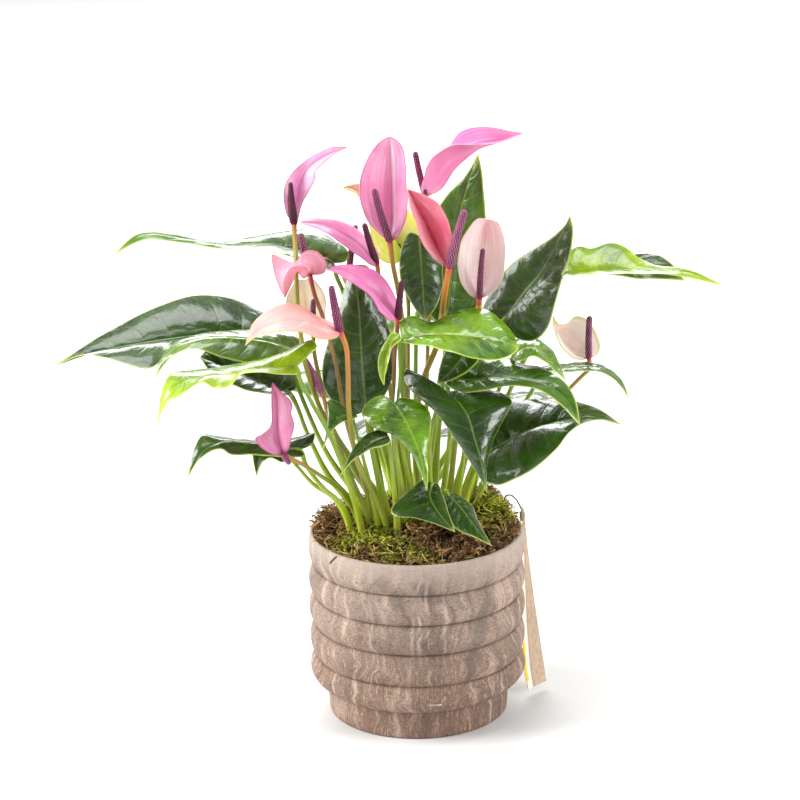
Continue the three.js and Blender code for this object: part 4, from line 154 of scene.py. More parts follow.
        stem=[(-7.0,-20.0,118.0),(-7.0,-20.0,141.0),(-13.2,-26.0,199.8),(-14.1,-34.0,227.7),(-14.0,-45.0,239.9)]),
    'leaf_21': dict(node='leaf_21_pair', tint='dark',
        mid=[(11.2,-30.0,176.1),(9.6,-40.0,170.3),(16.1,-50.0,160.7),(26.1,-58.0,151.1)],
        right=[(11.2,-30.0,176.1),(5.7,-26.0,178.4),(-5.4,-32.0,171.3),(-15.1,-38.0,164.1),(-17.3,-42.0,160.5),(-13.9,-46.0,159.0),(-1.6,-50.0,158.8),(12.6,-54.0,155.7),(26.1,-58.0,151.1)],
        left=[(11.2,-30.0,176.1),(15.3,-28.0,175.3),(18.6,-34.0,168.7),(22.4,-46.0,159.9),(24.9,-54.0,154.8),(26.1,-58.0,151.1)],
        stem=[(9.0,-10.0,118.0),(9.0,-10.0,141.0),(10.6,-16.0,166.8),(11.2,-30.0,176.1)]),
    'leaf_22': dict(node='leaf_21_pair', tint='dark',
        mid=[(20.9,-20.0,166.6),(30.2,-30.0,159.7),(39.5,-42.0,150.1),(51.3,-56.0,139.8)],
        right=[(20.9,-20.0,166.6),(19.3,-26.0,162.9),(21.8,-36.0,155.5),(27.0,-46.0,148.9),(37.8,-52.0,145.8),(44.5,-55.0,143.2),(51.3,-56.0,139.8)],
        left=[(20.9,-20.0,166.6),(23.8,-14.0,165.8),(29.2,-16.0,162.8),(38.7,-24.0,157.4),(43.1,-36.0,149.3),(47.5,-48.0,144.2),(51.3,-56.0,139.8)],
        stem=[(9.0,-10.0,118.0),(9.0,-10.0,141.0),(20.3,-10.0,161.5),(20.9,-20.0,166.6)]),
    'leaf_23': dict(node='leaf_23', tint='dark',
        mid=[(-18.4,-52.0,218.8),(-29.2,-56.0,215.3),(-40.1,-60.0,207.6),(-51.1,-66.0,195.6)],
        right=[(-18.4,-52.0,218.8),(-19.7,-46.0,221.1),(-25.1,-42.0,219.8),(-33.3,-44.0,217.0),(-39.4,-50.0,213.5),(-44.2,-56.0,207.7),(-47.7,-62.0,201.3),(-51.1,-66.0,195.6)],
        left=[(-18.4,-52.0,218.8),(-17.1,-58.0,216.5),(-21.1,-62.0,215.1),(-29.9,-64.0,213.8),(-38.7,-66.0,208.9),(-44.2,-67.0,205.1),(-48.3,-67.0,199.5),(-51.1,-66.0,195.6)],
        stem=[(-13.0,-26.0,118.0),(-13.0,-26.0,141.0),(-17.2,-44.0,206.0),(-18.4,-52.0,218.8)]),
    'leaf_24': dict(node='leaf_24', tint='lime',
        mid=[(-9.9,-56.0,291.7),(-15.3,-58.6,287.0),(-19.2,-60.5,276.3),(-20.4,-62.3,257.9)],
        right=[(-9.9,-56.0,291.7),(-13.9,-54.0,292.6),(-18.6,-57.0,287.3),(-23.4,-60.0,278.5),(-24.2,-61.0,270.5),(-23.0,-61.0,263.5),(-20.4,-62.3,257.9)],
        left=[(-9.9,-56.0,291.7),(-8.6,-58.0,288.8),(-14.7,-62.0,283.9),(-16.8,-64.0,276.2),(-19.3,-64.0,267.1),(-20.4,-62.3,257.9)],
        stem=[(-1.0,-11.0,118.0),(-1.0,-11.0,141.0),(-11.4,-28.0,229.3),(-9.6,-38.0,257.4),(-10.0,-48.0,281.6),(-9.9,-56.0,291.7)]),
    'leaf_25': dict(node='leaf_25', tint='dark',
        mid=[(38.4,-14.0,270.6),(32.8,-18.0,262.6),(25.8,-22.0,255.4),(15.5,-26.0,246.8)],
        right=[(38.4,-14.0,270.6),(33.1,-8.0,273.8),(24.9,-8.0,269.7),(19.9,-14.0,262.3),(17.0,-20.0,254.9),(15.5,-26.0,246.8)],
        left=[(38.4,-14.0,270.6),(43.8,-18.0,268.8),(44.3,-22.0,262.9),(36.6,-26.0,255.7),(25.7,-28.0,250.1),(15.5,-26.0,246.8)],
        stem=[(29.0,18.0,118.0),(29.0,18.0,141.0),(40.3,18.0,220.8),(43.2,16.0,247.6),(43.2,12.0,259.0),(38.4,-14.0,270.6)]),
    'leaf_26': dict(node='leaf_26', tint='mid',
        mid=[(-44.1,-32.0,228.3),(-52.2,-36.0,226.1),(-59.1,-42.0,218.2),(-63.3,-48.0,207.4)],
        right=[(-44.1,-32.0,228.3),(-47.5,-28.0,231.3),(-54.9,-26.0,236.5),(-58.9,-28.0,237.3),(-59.0,-34.0,228.5),(-60.5,-41.0,217.2),(-63.3,-48.0,207.4)],
        left=[(-44.1,-32.0,228.3),(-38.6,-36.0,228.1),(-42.7,-40.0,226.6),(-48.7,-44.0,226.6),(-54.9,-47.0,222.7),(-59.0,-48.0,216.7),(-63.3,-48.0,207.4)],
        stem=[(-26.0,-21.5,118.0),(-26.0,-21.5,141.0),(-41.5,-30.0,219.7),(-44.1,-32.0,228.3)]),
    'leaf_27': dict(node='leaf_27_pair', tint='mid',
        mid=[(-29.0,44.0,249.0),(-36.2,72.0,253.2),(-43.5,100.0,257.6),(-49.0,134.0,255.4)],
        right=[(-29.0,44.0,249.0),(-22.0,48.0,250.6),(-14.8,58.0,256.3),(-12.5,78.0,263.6),(-24.6,104.0,268.2),(-37.8,122.0,263.2),(-49.0,134.0,255.4)],
        left=[(-29.0,44.0,249.0),(-34.7,42.0,246.7),(-47.3,48.0,249.5),(-57.4,64.0,253.7),(-60.5,88.0,258.5),(-56.6,114.0,258.3),(-49.0,134.0,255.4)],
        stem=[(-16.0,46.0,118.0),(-16.0,46.0,141.0),(-27.8,38.0,236.1),(-29.0,44.0,249.0)]),
    'leaf_28': dict(node='leaf_28_pair', tint='mid',
        mid=[(23.3,62.0,253.0),(26.8,90.0,259.4),(31.1,118.0,266.2),(36.9,150.0,263.1)],
        right=[(23.3,62.0,253.0),(31.8,62.0,252.8),(43.5,72.0,255.6),(49.9,94.0,262.4),(47.8,122.0,267.8),(42.5,140.0,267.3),(36.9,150.0,263.1)],
        left=[(23.3,62.0,253.0),(14.9,64.0,252.5),(5.1,76.0,255.0),(1.1,98.0,262.0),(7.2,122.0,267.0),(22.1,142.0,267.1),(36.9,150.0,263.1)],
        stem=[(9.0,54.0,118.0),(9.0,54.0,141.0),(21.6,56.0,237.1),(23.3,62.0,253.0)]),
    'leaf_29': dict(node='leaf_28_pair', tint='mid',
        mid=[(67.3,64.0,246.4),(76.8,88.0,254.0),(86.6,114.0,261.2),(97.4,142.0,256.8)],
        right=[(67.3,64.0,246.4),(74.2,60.0,245.3),(84.3,64.0,248.4),(93.7,82.0,254.7),(96.4,108.0,259.0),(97.5,128.0,259.3),(97.4,142.0,256.8)],
        left=[(67.3,64.0,246.4),(60.3,68.0,247.6),(55.1,80.0,254.5),(57.3,102.0,261.4),(69.6,122.0,264.5),(86.2,136.0,261.7),(97.4,142.0,256.8)],
        stem=[(9.0,54.0,118.0),(9.0,54.0,141.0),(61.3,58.0,231.3),(67.3,64.0,246.4)]),
    'leaf_30': dict(node='leaf_28_pair', tint='dark',
        mid=[(30.0,74.0,176.0),(37.2,89.3,176.4),(44.1,104.0,174.6),(50.5,117.6,169.4),(56.4,130.1,160.8),(62.0,142.0,150.0)],
        right=[(30.0,74.0,176.0),(35.0,62.2,175.7),(46.9,58.5,170.9),(58.4,68.7,167.9),(65.5,83.7,167.2),(68.2,102.7,164.2),(66.8,120.7,158.6),(64.0,133.2,153.8),(62.0,142.0,150.0)],
        left=[(30.0,74.0,176.0),(17.8,70.3,175.7),(7.3,77.1,170.9),(7.8,92.5,167.9),(14.8,107.5,167.2),(27.7,121.7,164.2),(42.5,132.1,158.6),(53.9,138.0,153.8),(62.0,142.0,150.0)],
        stem=[(9.0,54.0,118.0),(9.0,54.0,141.0),(21.0,62.0,154.0),(30.0,74.0,176.0)]),
    'leaf_31': dict(node='leaf_27_pair', tint='mid',
        mid=[(-42.0,62.0,222.0),(-56.9,71.0,223.8),(-71.5,79.7,223.6),(-85.5,88.1,220.2),(-98.9,96.2,213.6),(-112.0,104.0,205.0)],
        right=[(-42.0,62.0,222.0),(-29.8,65.4,221.0),(-25.9,76.9,216.9),(-35.7,89.7,215.4),(-50.4,98.6,216.2),(-69.8,103.9,215.1),(-88.9,105.3,211.4),(-102.4,104.6,207.9),(-112.0,104.0,205.0)],
        left=[(-42.0,62.0,222.0),(-39.2,49.6,221.0),(-47.5,40.8,216.9),(-63.5,43.4,215.4),(-78.2,52.2,216.2),(-92.0,66.8,215.1),(-102.3,83.1,211.4),(-108.0,95.3,207.9),(-112.0,104.0,205.0)],
        stem=[(-16.0,46.0,118.0),(-16.0,46.0,141.0),(-30.0,54.0,186.0),(-42.0,62.0,222.0)]),
    'leaf_32': dict(node='leaf_27_pair', tint='dark',
        mid=[(-14.0,80.0,180.0),(-17.6,95.7,181.2),(-21.0,110.7,180.3),(-24.2,124.7,175.9),(-27.2,137.7,168.0),(-30.0,150.0,158.0)],
        right=[(-14.0,80.0,180.0),(-2.6,74.3,179.3),(9.5,78.8,174.6),(12.7,93.3,172.3),(9.2,108.7,172.4),(-0.4,124.4,170.5),(-12.8,137.0,165.7),(-22.8,144.7,161.4),(-30.0,150.0,158.0)],
        left=[(-14.0,80.0,180.0),(-21.8,69.9,179.3),(-34.6,68.8,174.6),(-43.8,80.4,172.3),(-47.4,95.8,172.4),(-45.6,114.1,170.5),(-39.9,130.8,165.7),(-34.1,142.1,161.4),(-30.0,150.0,158.0)],
        stem=[(-16.0,46.0,118.0),(-16.0,46.0,141.0),(-16.0,58.0,156.0),(-14.0,80.0,180.0)]),
    'leaf_33': dict(node='leaf_13_pair', tint='mid',
        mid=[(60.0,58.0,206.0),(74.3,66.7,207.1),(88.2,75.1,206.3),(101.4,83.1,202.3),(113.9,90.7,195.1),(126.0,98.0,186.0)],
        right=[(60.0,58.0,206.0),(57.6,45.8,205.4),(65.6,36.8,201.2),(80.9,39.1,199.1),(95.0,47.7,199.2),(108.0,61.9,197.4),(117.4,77.6,193.0),(122.5,89.5,189.1),(126.0,98.0,186.0)],
        left=[(60.0,58.0,206.0),(48.1,61.5,205.4),(43.8,72.8,201.2),(52.9,85.3,199.1),(67.0,93.8,199.2),(85.6,98.8,197.4),(103.9,99.8,193.0),(116.9,98.8,189.1),(126.0,98.0,186.0)],
        stem=[(35.0,50.0,118.0),(35.0,50.0,141.0),(48.0,56.0,172.0),(60.0,58.0,206.0)]),
}
FLOWERS = {
    'flower_01': dict(look='pink', radius=(2.9, 1.5),
        mid=[(-80.0,3.0,353.2),(-78.5,9.0,364.9),(-76.2,10.0,376.5),(-70.4,9.0,389.2),(-60.0,6.0,398.1),(-42.2,0.0,406.8)],
        right=[(-80.0,3.0,353.2),(-77.3,6.0,355.9),(-75.0,6.0,364.2),(-70.0,4.0,374.4),(-65.7,2.0,383.2),(-64.2,2.0,390.1),(-60.1,3.0,394.0),(-51.8,2.0,401.3),(-42.2,0.0,406.8)],
        left=[(-80.0,3.0,353.2),(-84.5,2.0,359.8),(-86.2,-1.0,371.1),(-86.0,0.0,378.5),(-84.3,2.0,383.5),(-78.5,6.0,390.1),(-69.5,8.0,397.1),(-59.9,6.0,402.9),(-52.4,3.0,406.3),(-42.2,0.0,406.8)],
        spadix=[(-80.0,3.0,353.2),(-81.4,-4.0,384.2)],
        stem=[(-26.0,-5.0,118.0),(-26.0,-5.0,141.0),(-56.5,-7.0,207.2),(-64.2,-14.0,225.6),(-69.8,-32.0,249.4),(-72.8,-44.0,266.7),(-75.8,-40.0,286.6),(-78.0,-34.0,310.1),(-78.2,-30.0,335.5),(-79.1,-14.0,344.4),(-80.0,3.0,353.2)]),
    'flower_02': dict(look='pink', radius=(2.5, 2.1),
        mid=[(-15.0,-22.0,346.2),(-13.4,-13.0,359.1),(-13.2,-11.0,372.4),(-13.5,-13.0,393.6),(-13.8,-20.0,418.2)],
        right=[(-15.0,-22.0,346.2),(-10.2,-21.0,348.6),(-6.8,-23.0,355.3),(-3.5,-24.0,365.2),(-2.5,-24.0,375.5),(-3.6,-24.0,389.3),(-3.5,-23.0,398.6),(-4.8,-22.0,408.6),(-8.1,-21.0,414.7),(-13.8,-20.0,418.2)],
        left=[(-15.0,-22.0,346.2),(-22.9,-22.0,352.9),(-29.7,-24.0,361.5),(-33.6,-24.0,372.6),(-34.7,-24.0,383.6),(-33.8,-23.0,391.6),(-29.0,-22.0,403.6),(-22.5,-21.0,412.8),(-17.8,-20.5,416.7),(-13.8,-20.0,418.2)],
        spadix=[(-15.0,-22.0,346.2),(-25.0,-36.0,386.4)],
        stem=[(4.0,10.0,118.0),(4.0,10.0,141.0),(-6.2,-4.0,243.1),(-7.1,-10.0,280.8),(-10.1,-16.0,310.9),(-13.2,-20.0,329.6),(-15.0,-22.0,346.2)]),
    'flower_03': dict(look='magenta', radius=(2.2, 1.9),
        mid=[(9.5,3.0,371.0),(20.2,8.0,375.5),(29.2,10.0,388.1),(37.4,10.0,395.6),(46.8,8.0,402.8),(57.5,5.0,406.8),(76.2,0.0,414.5)],
        right=[(9.5,3.0,371.0),(6.5,-2.0,376.1),(8.6,-8.0,386.5),(10.7,-12.0,395.7),(15.4,-14.0,403.0),(22.1,-15.0,407.9),(28.8,-15.0,410.5),(46.3,-12.0,409.8),(63.9,-5.0,410.4),(76.2,0.0,414.5)],
        left=[(9.5,3.0,371.0),(14.1,14.0,371.3),(18.4,22.0,381.2),(24.1,26.0,395.5),(32.4,26.0,408.6),(38.5,24.0,412.4),(46.6,20.0,414.6),(57.2,12.0,415.6),(68.4,5.0,414.6),(76.2,0.0,414.5)],
        spadix=[(9.5,3.0,371.0),(2.8,-2.0,403.5)],
        stem=[(7.0,32.0,118.0),(7.0,32.0,141.0),(10.3,38.0,258.9),(12.1,38.0,288.0),(13.2,34.0,328.7),(12.5,18.0,349.2),(9.5,3.0,371.0)]),
    'flower_04': dict(look='rose', radius=(3.0, 2.5),
        mid=[(24.4,-30.5,329.8),(17.3,-19.0,339.3),(12.1,-17.0,351.4),(5.5,-21.0,366.4),(-2.7,-32.0,385.1)],
        right=[(24.4,-30.5,329.8),(27.1,-30.0,336.5),(27.2,-33.0,348.4),(25.9,-35.0,355.9),(23.9,-36.0,364.4),(19.4,-36.0,373.4),(13.5,-36.0,379.0),(5.6,-34.0,382.7),(-2.7,-32.0,385.1)],
        left=[(24.4,-30.5,329.8),(18.4,-31.0,332.8),(11.0,-35.0,342.3),(5.1,-36.0,352.3),(2.6,-35.0,362.4),(-1.2,-34.0,373.9),(-2.7,-32.0,385.1)],
        spadix=[(24.4,-30.5,329.8),(35.1,-44.0,373.1)],
        stem=[(4.0,22.0,118.0),(4.0,22.0,141.0),(0.2,8.0,202.7),(6.9,2.0,242.4),(16.1,-2.0,267.3),(18.9,-6.0,284.9),(20.9,-22.0,305.1),(24.4,-30.5,329.8)]),
    'flower_05': dict(look='pale', radius=(2.1, 1.6),
        mid=[(45.1,-14.0,302.7),(47.2,-5.0,313.9),(48.7,-3.0,330.9),(50.1,-5.0,345.5),(51.4,-9.0,357.7)],
        right=[(45.1,-14.0,302.7),(54.7,-14.0,307.9),(60.2,-16.0,316.3),(62.4,-17.0,328.6),(62.5,-17.0,342.2),(60.4,-15.0,351.4),(58.1,-13.0,356.4),(54.7,-11.0,357.4),(51.4,-9.0,357.7)],
        left=[(45.1,-14.0,302.7),(39.2,-14.0,305.6),(33.0,-16.0,315.1),(30.7,-17.0,325.2),(31.6,-17.0,337.1),(34.1,-16.0,346.6),(38.8,-14.0,353.6),(44.7,-11.0,358.5),(51.4,-9.0,357.7)],
        spadix=[(45.1,-14.0,302.7),(47.5,-24.0,341.1)],
        stem=[(24.0,32.0,118.0),(24.0,32.0,141.0),(33.7,34.0,215.7),(41.5,30.0,246.2),(43.9,10.0,272.6),(44.2,-8.0,292.1),(45.1,-14.0,302.7)]),
    'flower_06': dict(look='cream', radius=(2.3, 2.1),
        mid=[(122.2,27.0,246.9),(115.1,34.0,246.7),(108.2,36.0,251.3),(102.7,38.0,258.9),(99.2,38.0,267.7),(97.7,36.0,276.3)],
        right=[(122.2,27.0,246.9),(128.2,32.0,247.8),(130.4,34.0,253.8),(128.4,36.0,261.2),(125.1,38.0,267.2),(118.9,40.0,273.0),(113.3,41.0,273.5),(106.4,41.0,268.1),(101.3,39.0,269.5),(97.7,36.0,276.3)],
        left=[(122.2,27.0,246.9),(117.1,22.0,247.5),(111.3,18.0,249.5),(105.1,18.0,255.4),(100.4,21.0,261.8),(98.0,28.0,267.8),(97.2,33.0,272.1),(97.7,36.0,276.3)],
        spadix=[(122.2,27.0,246.9),(122.2,20.0,279.8)],
        stem=[(41.0,16.0,118.0),(41.0,16.0,141.0),(63.2,20.0,179.2),(91.5,25.0,208.8),(109.2,29.0,224.9),(117.7,31.0,232.9),(123.3,31.0,238.7),(122.2,27.0,246.9)]),
    'flower_07': dict(look='magenta', radius=(2.4, 1.9),
        mid=[(-24.1,1.5,324.2),(-34.2,4.0,335.3),(-45.6,4.0,344.0),(-59.0,2.0,351.7),(-76.3,-4.0,356.4)],
        right=[(-24.1,1.5,324.2),(-23.3,8.0,331.3),(-28.7,14.0,336.1),(-35.5,16.0,343.5),(-42.2,16.0,348.5),(-51.7,14.0,352.7),(-63.7,8.0,355.5),(-72.4,2.0,356.1),(-76.3,-4.0,356.4)],
        left=[(-24.1,1.5,324.2),(-26.8,-6.0,325.3),(-32.8,-12.0,331.2),(-42.0,-16.0,339.4),(-52.6,-16.0,348.0),(-63.4,-12.0,353.4),(-71.5,-8.0,355.2),(-76.3,-4.0,356.4)],
        spadix=[(-24.1,1.5,324.2),(-32.4,0.0,353.9)],
        stem=[(-6.0,34.0,118.0),(-6.0,34.0,141.0),(-16.7,16.0,229.7),(-18.8,12.0,274.4),(-22.3,4.0,309.0),(-24.1,1.5,324.2)]),
    'flower_08': dict(look='magenta', radius=(2.4, 1.8),
        mid=[(-10.4,-33.0,295.1),(-19.7,-31.0,304.8),(-28.2,-31.0,315.4),(-37.4,-33.0,325.9),(-48.0,-37.0,331.3),(-57.9,-42.0,333.2)],
        right=[(-10.4,-33.0,295.1),(-8.9,-28.0,300.2),(-11.1,-24.0,306.2),(-14.1,-22.0,311.9),(-19.4,-20.0,320.6),(-25.5,-20.0,325.9),(-33.4,-22.0,329.1),(-40.7,-26.0,331.8),(-50.0,-34.0,333.8),(-57.9,-42.0,333.2)],
        left=[(-10.4,-33.0,295.1),(-15.1,-42.0,296.7),(-19.1,-46.0,301.5),(-23.0,-48.0,305.6),(-27.5,-50.0,315.3),(-34.7,-50.0,322.3),(-43.9,-48.0,327.6),(-51.9,-45.0,331.9),(-57.9,-42.0,333.2)],
        spadix=[(-10.4,-33.0,295.1),(-7.1,-34.0,322.9)],
        stem=[(-10.0,-5.0,118.0),(-10.0,-5.0,141.0),(-15.6,-12.0,216.9),(-13.8,-20.0,248.3),(-12.8,-26.0,271.5),(-11.2,-32.0,286.0),(-10.4,-33.0,295.1)]),
    'flower_09': dict(look='pink', radius=(2.6, 2.2),
        mid=[(-68.9,-32.0,326.8),(-73.1,-45.0,336.7),(-81.0,-48.0,336.3),(-85.9,-48.0,327.4),(-85.7,-44.0,314.5)],
        right=[(-68.9,-32.0,326.8),(-73.4,-40.0,327.0),(-77.2,-45.0,332.7),(-79.9,-47.0,327.0),(-82.8,-46.0,320.6),(-85.7,-44.0,314.5)],
        left=[(-68.9,-32.0,326.8),(-59.4,-38.0,329.7),(-57.9,-38.0,337.3),(-63.7,-38.0,344.3),(-71.7,-39.0,345.4),(-78.5,-41.0,338.5),(-86.4,-42.0,341.0),(-93.6,-42.0,344.5),(-93.1,-43.0,336.5),(-91.3,-44.0,327.8),(-88.8,-44.0,320.8),(-85.7,-44.0,314.5)],
        spadix=[(-68.9,-32.0,326.8),(-74.6,-32.0,356.0)],
        stem=[(-29.0,-12.0,118.0),(-29.0,-12.0,141.0),(-47.2,-16.0,218.7),(-53.6,-26.0,265.1),(-60.9,-32.0,297.3),(-66.5,-34.0,314.8),(-68.9,-32.0,326.8)]),
    'flower_10': dict(look='salmon', radius=(3.0, 2.1),
        mid=[(-48.8,-60.0,295.0),(-60.9,-64.0,299.8),(-75.3,-66.0,305.5),(-91.7,-70.0,305.5),(-103.6,-74.0,299.3),(-111.6,-78.0,291.7)],
        right=[(-48.8,-60.0,295.0),(-49.1,-54.0,296.7),(-55.9,-48.0,298.5),(-66.6,-44.0,303.0),(-77.8,-44.0,309.8),(-89.0,-48.0,310.8),(-99.4,-56.0,308.1),(-107.2,-66.0,302.5),(-111.6,-78.0,291.7)],
        left=[(-48.8,-60.0,295.0),(-51.6,-72.0,294.4),(-60.7,-80.0,296.0),(-71.6,-86.0,302.1),(-82.5,-90.0,304.8),(-95.7,-88.0,303.4),(-105.2,-84.0,298.9),(-111.6,-78.0,291.7)],
        spadix=[(-48.8,-60.0,295.0),(-54.3,-62.0,327.7)],
        stem=[(-20.0,-23.0,118.0),(-20.0,-23.0,141.0),(-40.5,-36.0,200.1),(-44.4,-50.0,237.0),(-44.4,-56.0,267.2),(-45.3,-60.0,285.2),(-48.8,-60.0,295.0)]),
    'flower_11': dict(look='cream', radius=(2.1, 1.7),
        mid=[(-68.0,-18.0,282.4),(-71.7,-11.0,290.7),(-74.1,-10.0,303.2),(-74.3,-13.0,318.1)],
        right=[(-68.0,-18.0,282.4),(-62.1,-18.0,286.9),(-59.8,-18.0,296.8),(-59.6,-17.0,307.0),(-62.9,-15.0,313.6),(-68.2,-14.0,319.0),(-74.3,-13.0,318.1)],
        left=[(-68.0,-18.0,282.4),(-75.7,-18.0,284.3),(-83.0,-18.0,292.9),(-86.1,-17.0,303.3),(-83.3,-15.0,311.8),(-78.4,-14.0,317.8),(-74.3,-13.0,318.1)],
        spadix=[(-68.0,-18.0,282.4),(-67.2,-26.0,308.3)],
        stem=[(-18.0,4.0,118.0),(-18.0,4.0,141.0),(-56.1,5.0,204.6),(-64.7,-6.0,244.7),(-68.1,-13.0,268.4),(-68.0,-18.0,282.4)]),
    'flower_12': dict(look='magenta', radius=(2.4, 1.8),
        mid=[(-88.2,-63.0,209.8),(-91.8,-58.0,219.2),(-92.9,-56.0,232.7),(-92.5,-56.0,246.8),(-95.1,-58.0,260.2)],
        right=[(-88.2,-63.0,209.8),(-85.7,-64.0,213.3),(-83.4,-66.0,222.4),(-81.2,-65.0,232.7),(-83.0,-63.0,239.8),(-81.6,-63.0,244.0),(-83.6,-61.0,248.3),(-88.9,-59.0,252.7),(-95.1,-58.0,260.2)],
        left=[(-88.2,-63.0,209.8),(-96.5,-64.0,211.3),(-105.0,-66.0,218.5),(-107.6,-64.0,222.5),(-102.3,-61.0,225.0),(-96.9,-59.0,230.2),(-96.2,-58.0,243.3),(-96.0,-58.0,251.8),(-95.1,-58.0,260.2)],
        spadix=[(-88.2,-63.0,209.8),(-84.5,-84.0,211.6)],
        stem=[(-40.0,-12.0,118.0),(-40.0,-12.0,141.0),(-50.2,-22.0,168.5),(-60.7,-36.0,182.3),(-78.2,-56.0,201.9),(-88.2,-63.0,209.8)]),
    'flower_14': dict(look='cream', radius=(2.4, 1.9),
        mid=[(-6.6,30.5,325.6),(-15.0,33.9,338.4),(-25.1,36.1,352.0),(-35.2,32.0,365.3),(-47.3,25.9,372.6)],
        right=[(-6.6,30.5,325.6),(1.3,25.5,324.7),(5.6,27.5,331.2),(5.1,33.5,341.0),(-2.3,41.5,351.9),(-13.2,43.5,362.3),(-26.9,39.5,370.6),(-38.4,31.5,373.4),(-47.3,25.9,372.6)],
        left=[(-6.6,30.5,325.6),(-10.5,16.5,320.9),(-17.3,13.5,321.9),(-24.8,14.5,327.4),(-28.0,16.5,342.5),(-31.1,19.5,355.9),(-38.4,19.5,370.8),(-47.3,25.9,372.6)],
        spadix=[(-6.6,30.5,325.6),(-13.3,47.5,353.4)],
        stem=[(-5.0,50.0,118.0),(-5.0,50.0,141.0),(-3.6,44.0,257.3),(-3.2,44.0,286.5),(-5.8,40.0,305.1),(-6.3,30.0,319.3),(-6.6,30.5,325.6)]),
    'flower_15': dict(look='rose', radius=(2.2, 1.8),
        mid=[(-43.7,28.5,313.2),(-39.8,40.0,309.9),(-35.8,52.0,302.2),(-32.6,60.0,288.3)],
        right=[(-43.7,28.5,313.2),(-40.2,30.0,315.6),(-33.4,38.0,314.0),(-28.1,50.0,305.5),(-28.3,58.0,294.6),(-32.6,60.0,288.3)],
        left=[(-43.7,28.5,313.2),(-48.0,32.0,308.0),(-47.7,44.0,300.3),(-43.7,54.0,291.6),(-39.0,59.0,287.2),(-32.6,60.0,288.3)],
        spadix=[(-43.7,28.5,313.2),(-38.2,23.0,346.6)],
        stem=[(-22.0,26.0,118.0),(-22.0,26.0,141.0),(-33.7,26.0,219.4),(-41.1,26.0,270.6),(-43.2,28.0,302.6),(-43.7,28.5,313.2)]),
}
BUD = dict(radius=2.6, base=(-62.2,-30.0,240.8), tip=(-73.0,-34.0,270.0),
    stem=[(-32.0,-17.0,118.0),(-32.0,-17.0,141.0),(-51.7,-20.0,198.4),(-58.5,-26.0,225.8),(-62.2,-30.0,240.8)])
TAG = dict(levels=[[(73.3,20.0,136.1),(77.4,20.6,136.3)],[(74.3,20.0,127.8),(77.4,21.0,127.4)],[(74.9,20.0,110.8),(78.9,23.0,109.4)],[(74.9,20.0,78.1),(82.8,25.5,75.8)],[(74.8,19.5,46.4),(87.1,27.0,43.1)],[(76.1,15.5,19.1),(91.0,27.5,13.8)],[(78.9,12.0,2.8),(92.2,26.5,4.2)]],
    hole=[(75.9,16.3,133.0),(74.7,24.3,133.0)], hole_radius=1.1,
    wire=[(61.0,24.6,127.0),(62.4,24.2,138.0),(63.3,23.5,146.6),(64.9,22.5,148.3),(67.7,21.0,148.6),(70.9,19.5,146.1),(73.6,18.1,141.6),(75.2,17.1,138.0)],
    loop=[(75.5,17.3,136.0),(75.6,17.8,133.8),(75.3,20.3,133.0),(75.0,22.8,133.8),(74.9,23.5,136.2),(75.1,22.0,138.7),(75.3,19.4,139.1),(75.5,17.5,137.8),(75.5,17.3,136.0)],
    knot=[(75.3,16.8,131.2),(75.3,16.8,138.4)])

WORLD_FRONT, WORLD_BACK = 0.40, 0.85
LIGHTS = [
    ("key_left", (-2.1, -0.3, 1.05), (0, 0, 0.16), (1.3, 1.5), 88),
    ("fill_right", (2.0, -0.65, 0.9), (0, 0, 0.15), (0.9, 1.2), 40),
    ("back_top", (-0.2, 2.2, 1.5), (0, 0, 0.25), (1.8, 0.8), 42),
    ("top", (-0.2, 0.1, 2.2), (0, 0, 0.2), (1.2, 1.2), 30),
]

# ------------------------------------------------------------------ camera

camera = bpy.data.objects.new("camera", bpy.data.cameras.new("camera"))
bpy.context.scene.collection.objects.link(camera)
camera.data.sensor_width = 36.0
camera.data.lens = 36.0 * 3042.0 / 800.0
PITCH, ROLL = math.radians(17.89), math.radians(0.9)
look = Vector((0, math.cos(PITCH), -math.sin(PITCH)))
up0, rt0 = Vector((0, math.sin(PITCH), math.cos(PITCH))), Vector((1, 0, 0))
rt = rt0 * math.cos(ROLL) - up0 * math.sin(ROLL)
up = rt0 * math.sin(ROLL) + up0 * math.cos(ROLL)
m = Matrix((rt, up, -look)).transposed().to_4x4()
m.translation = Vector((-0.0099, -2.0, 0.873))
camera.matrix_world = m
camera.data.clip_start, camera.data.clip_end = 0.05, 50.0
bpy.context.scene.camera = camera
bpy.context.scene.view_settings.view_transform = "Standard"


# ------------------------------------------------------------------ curves

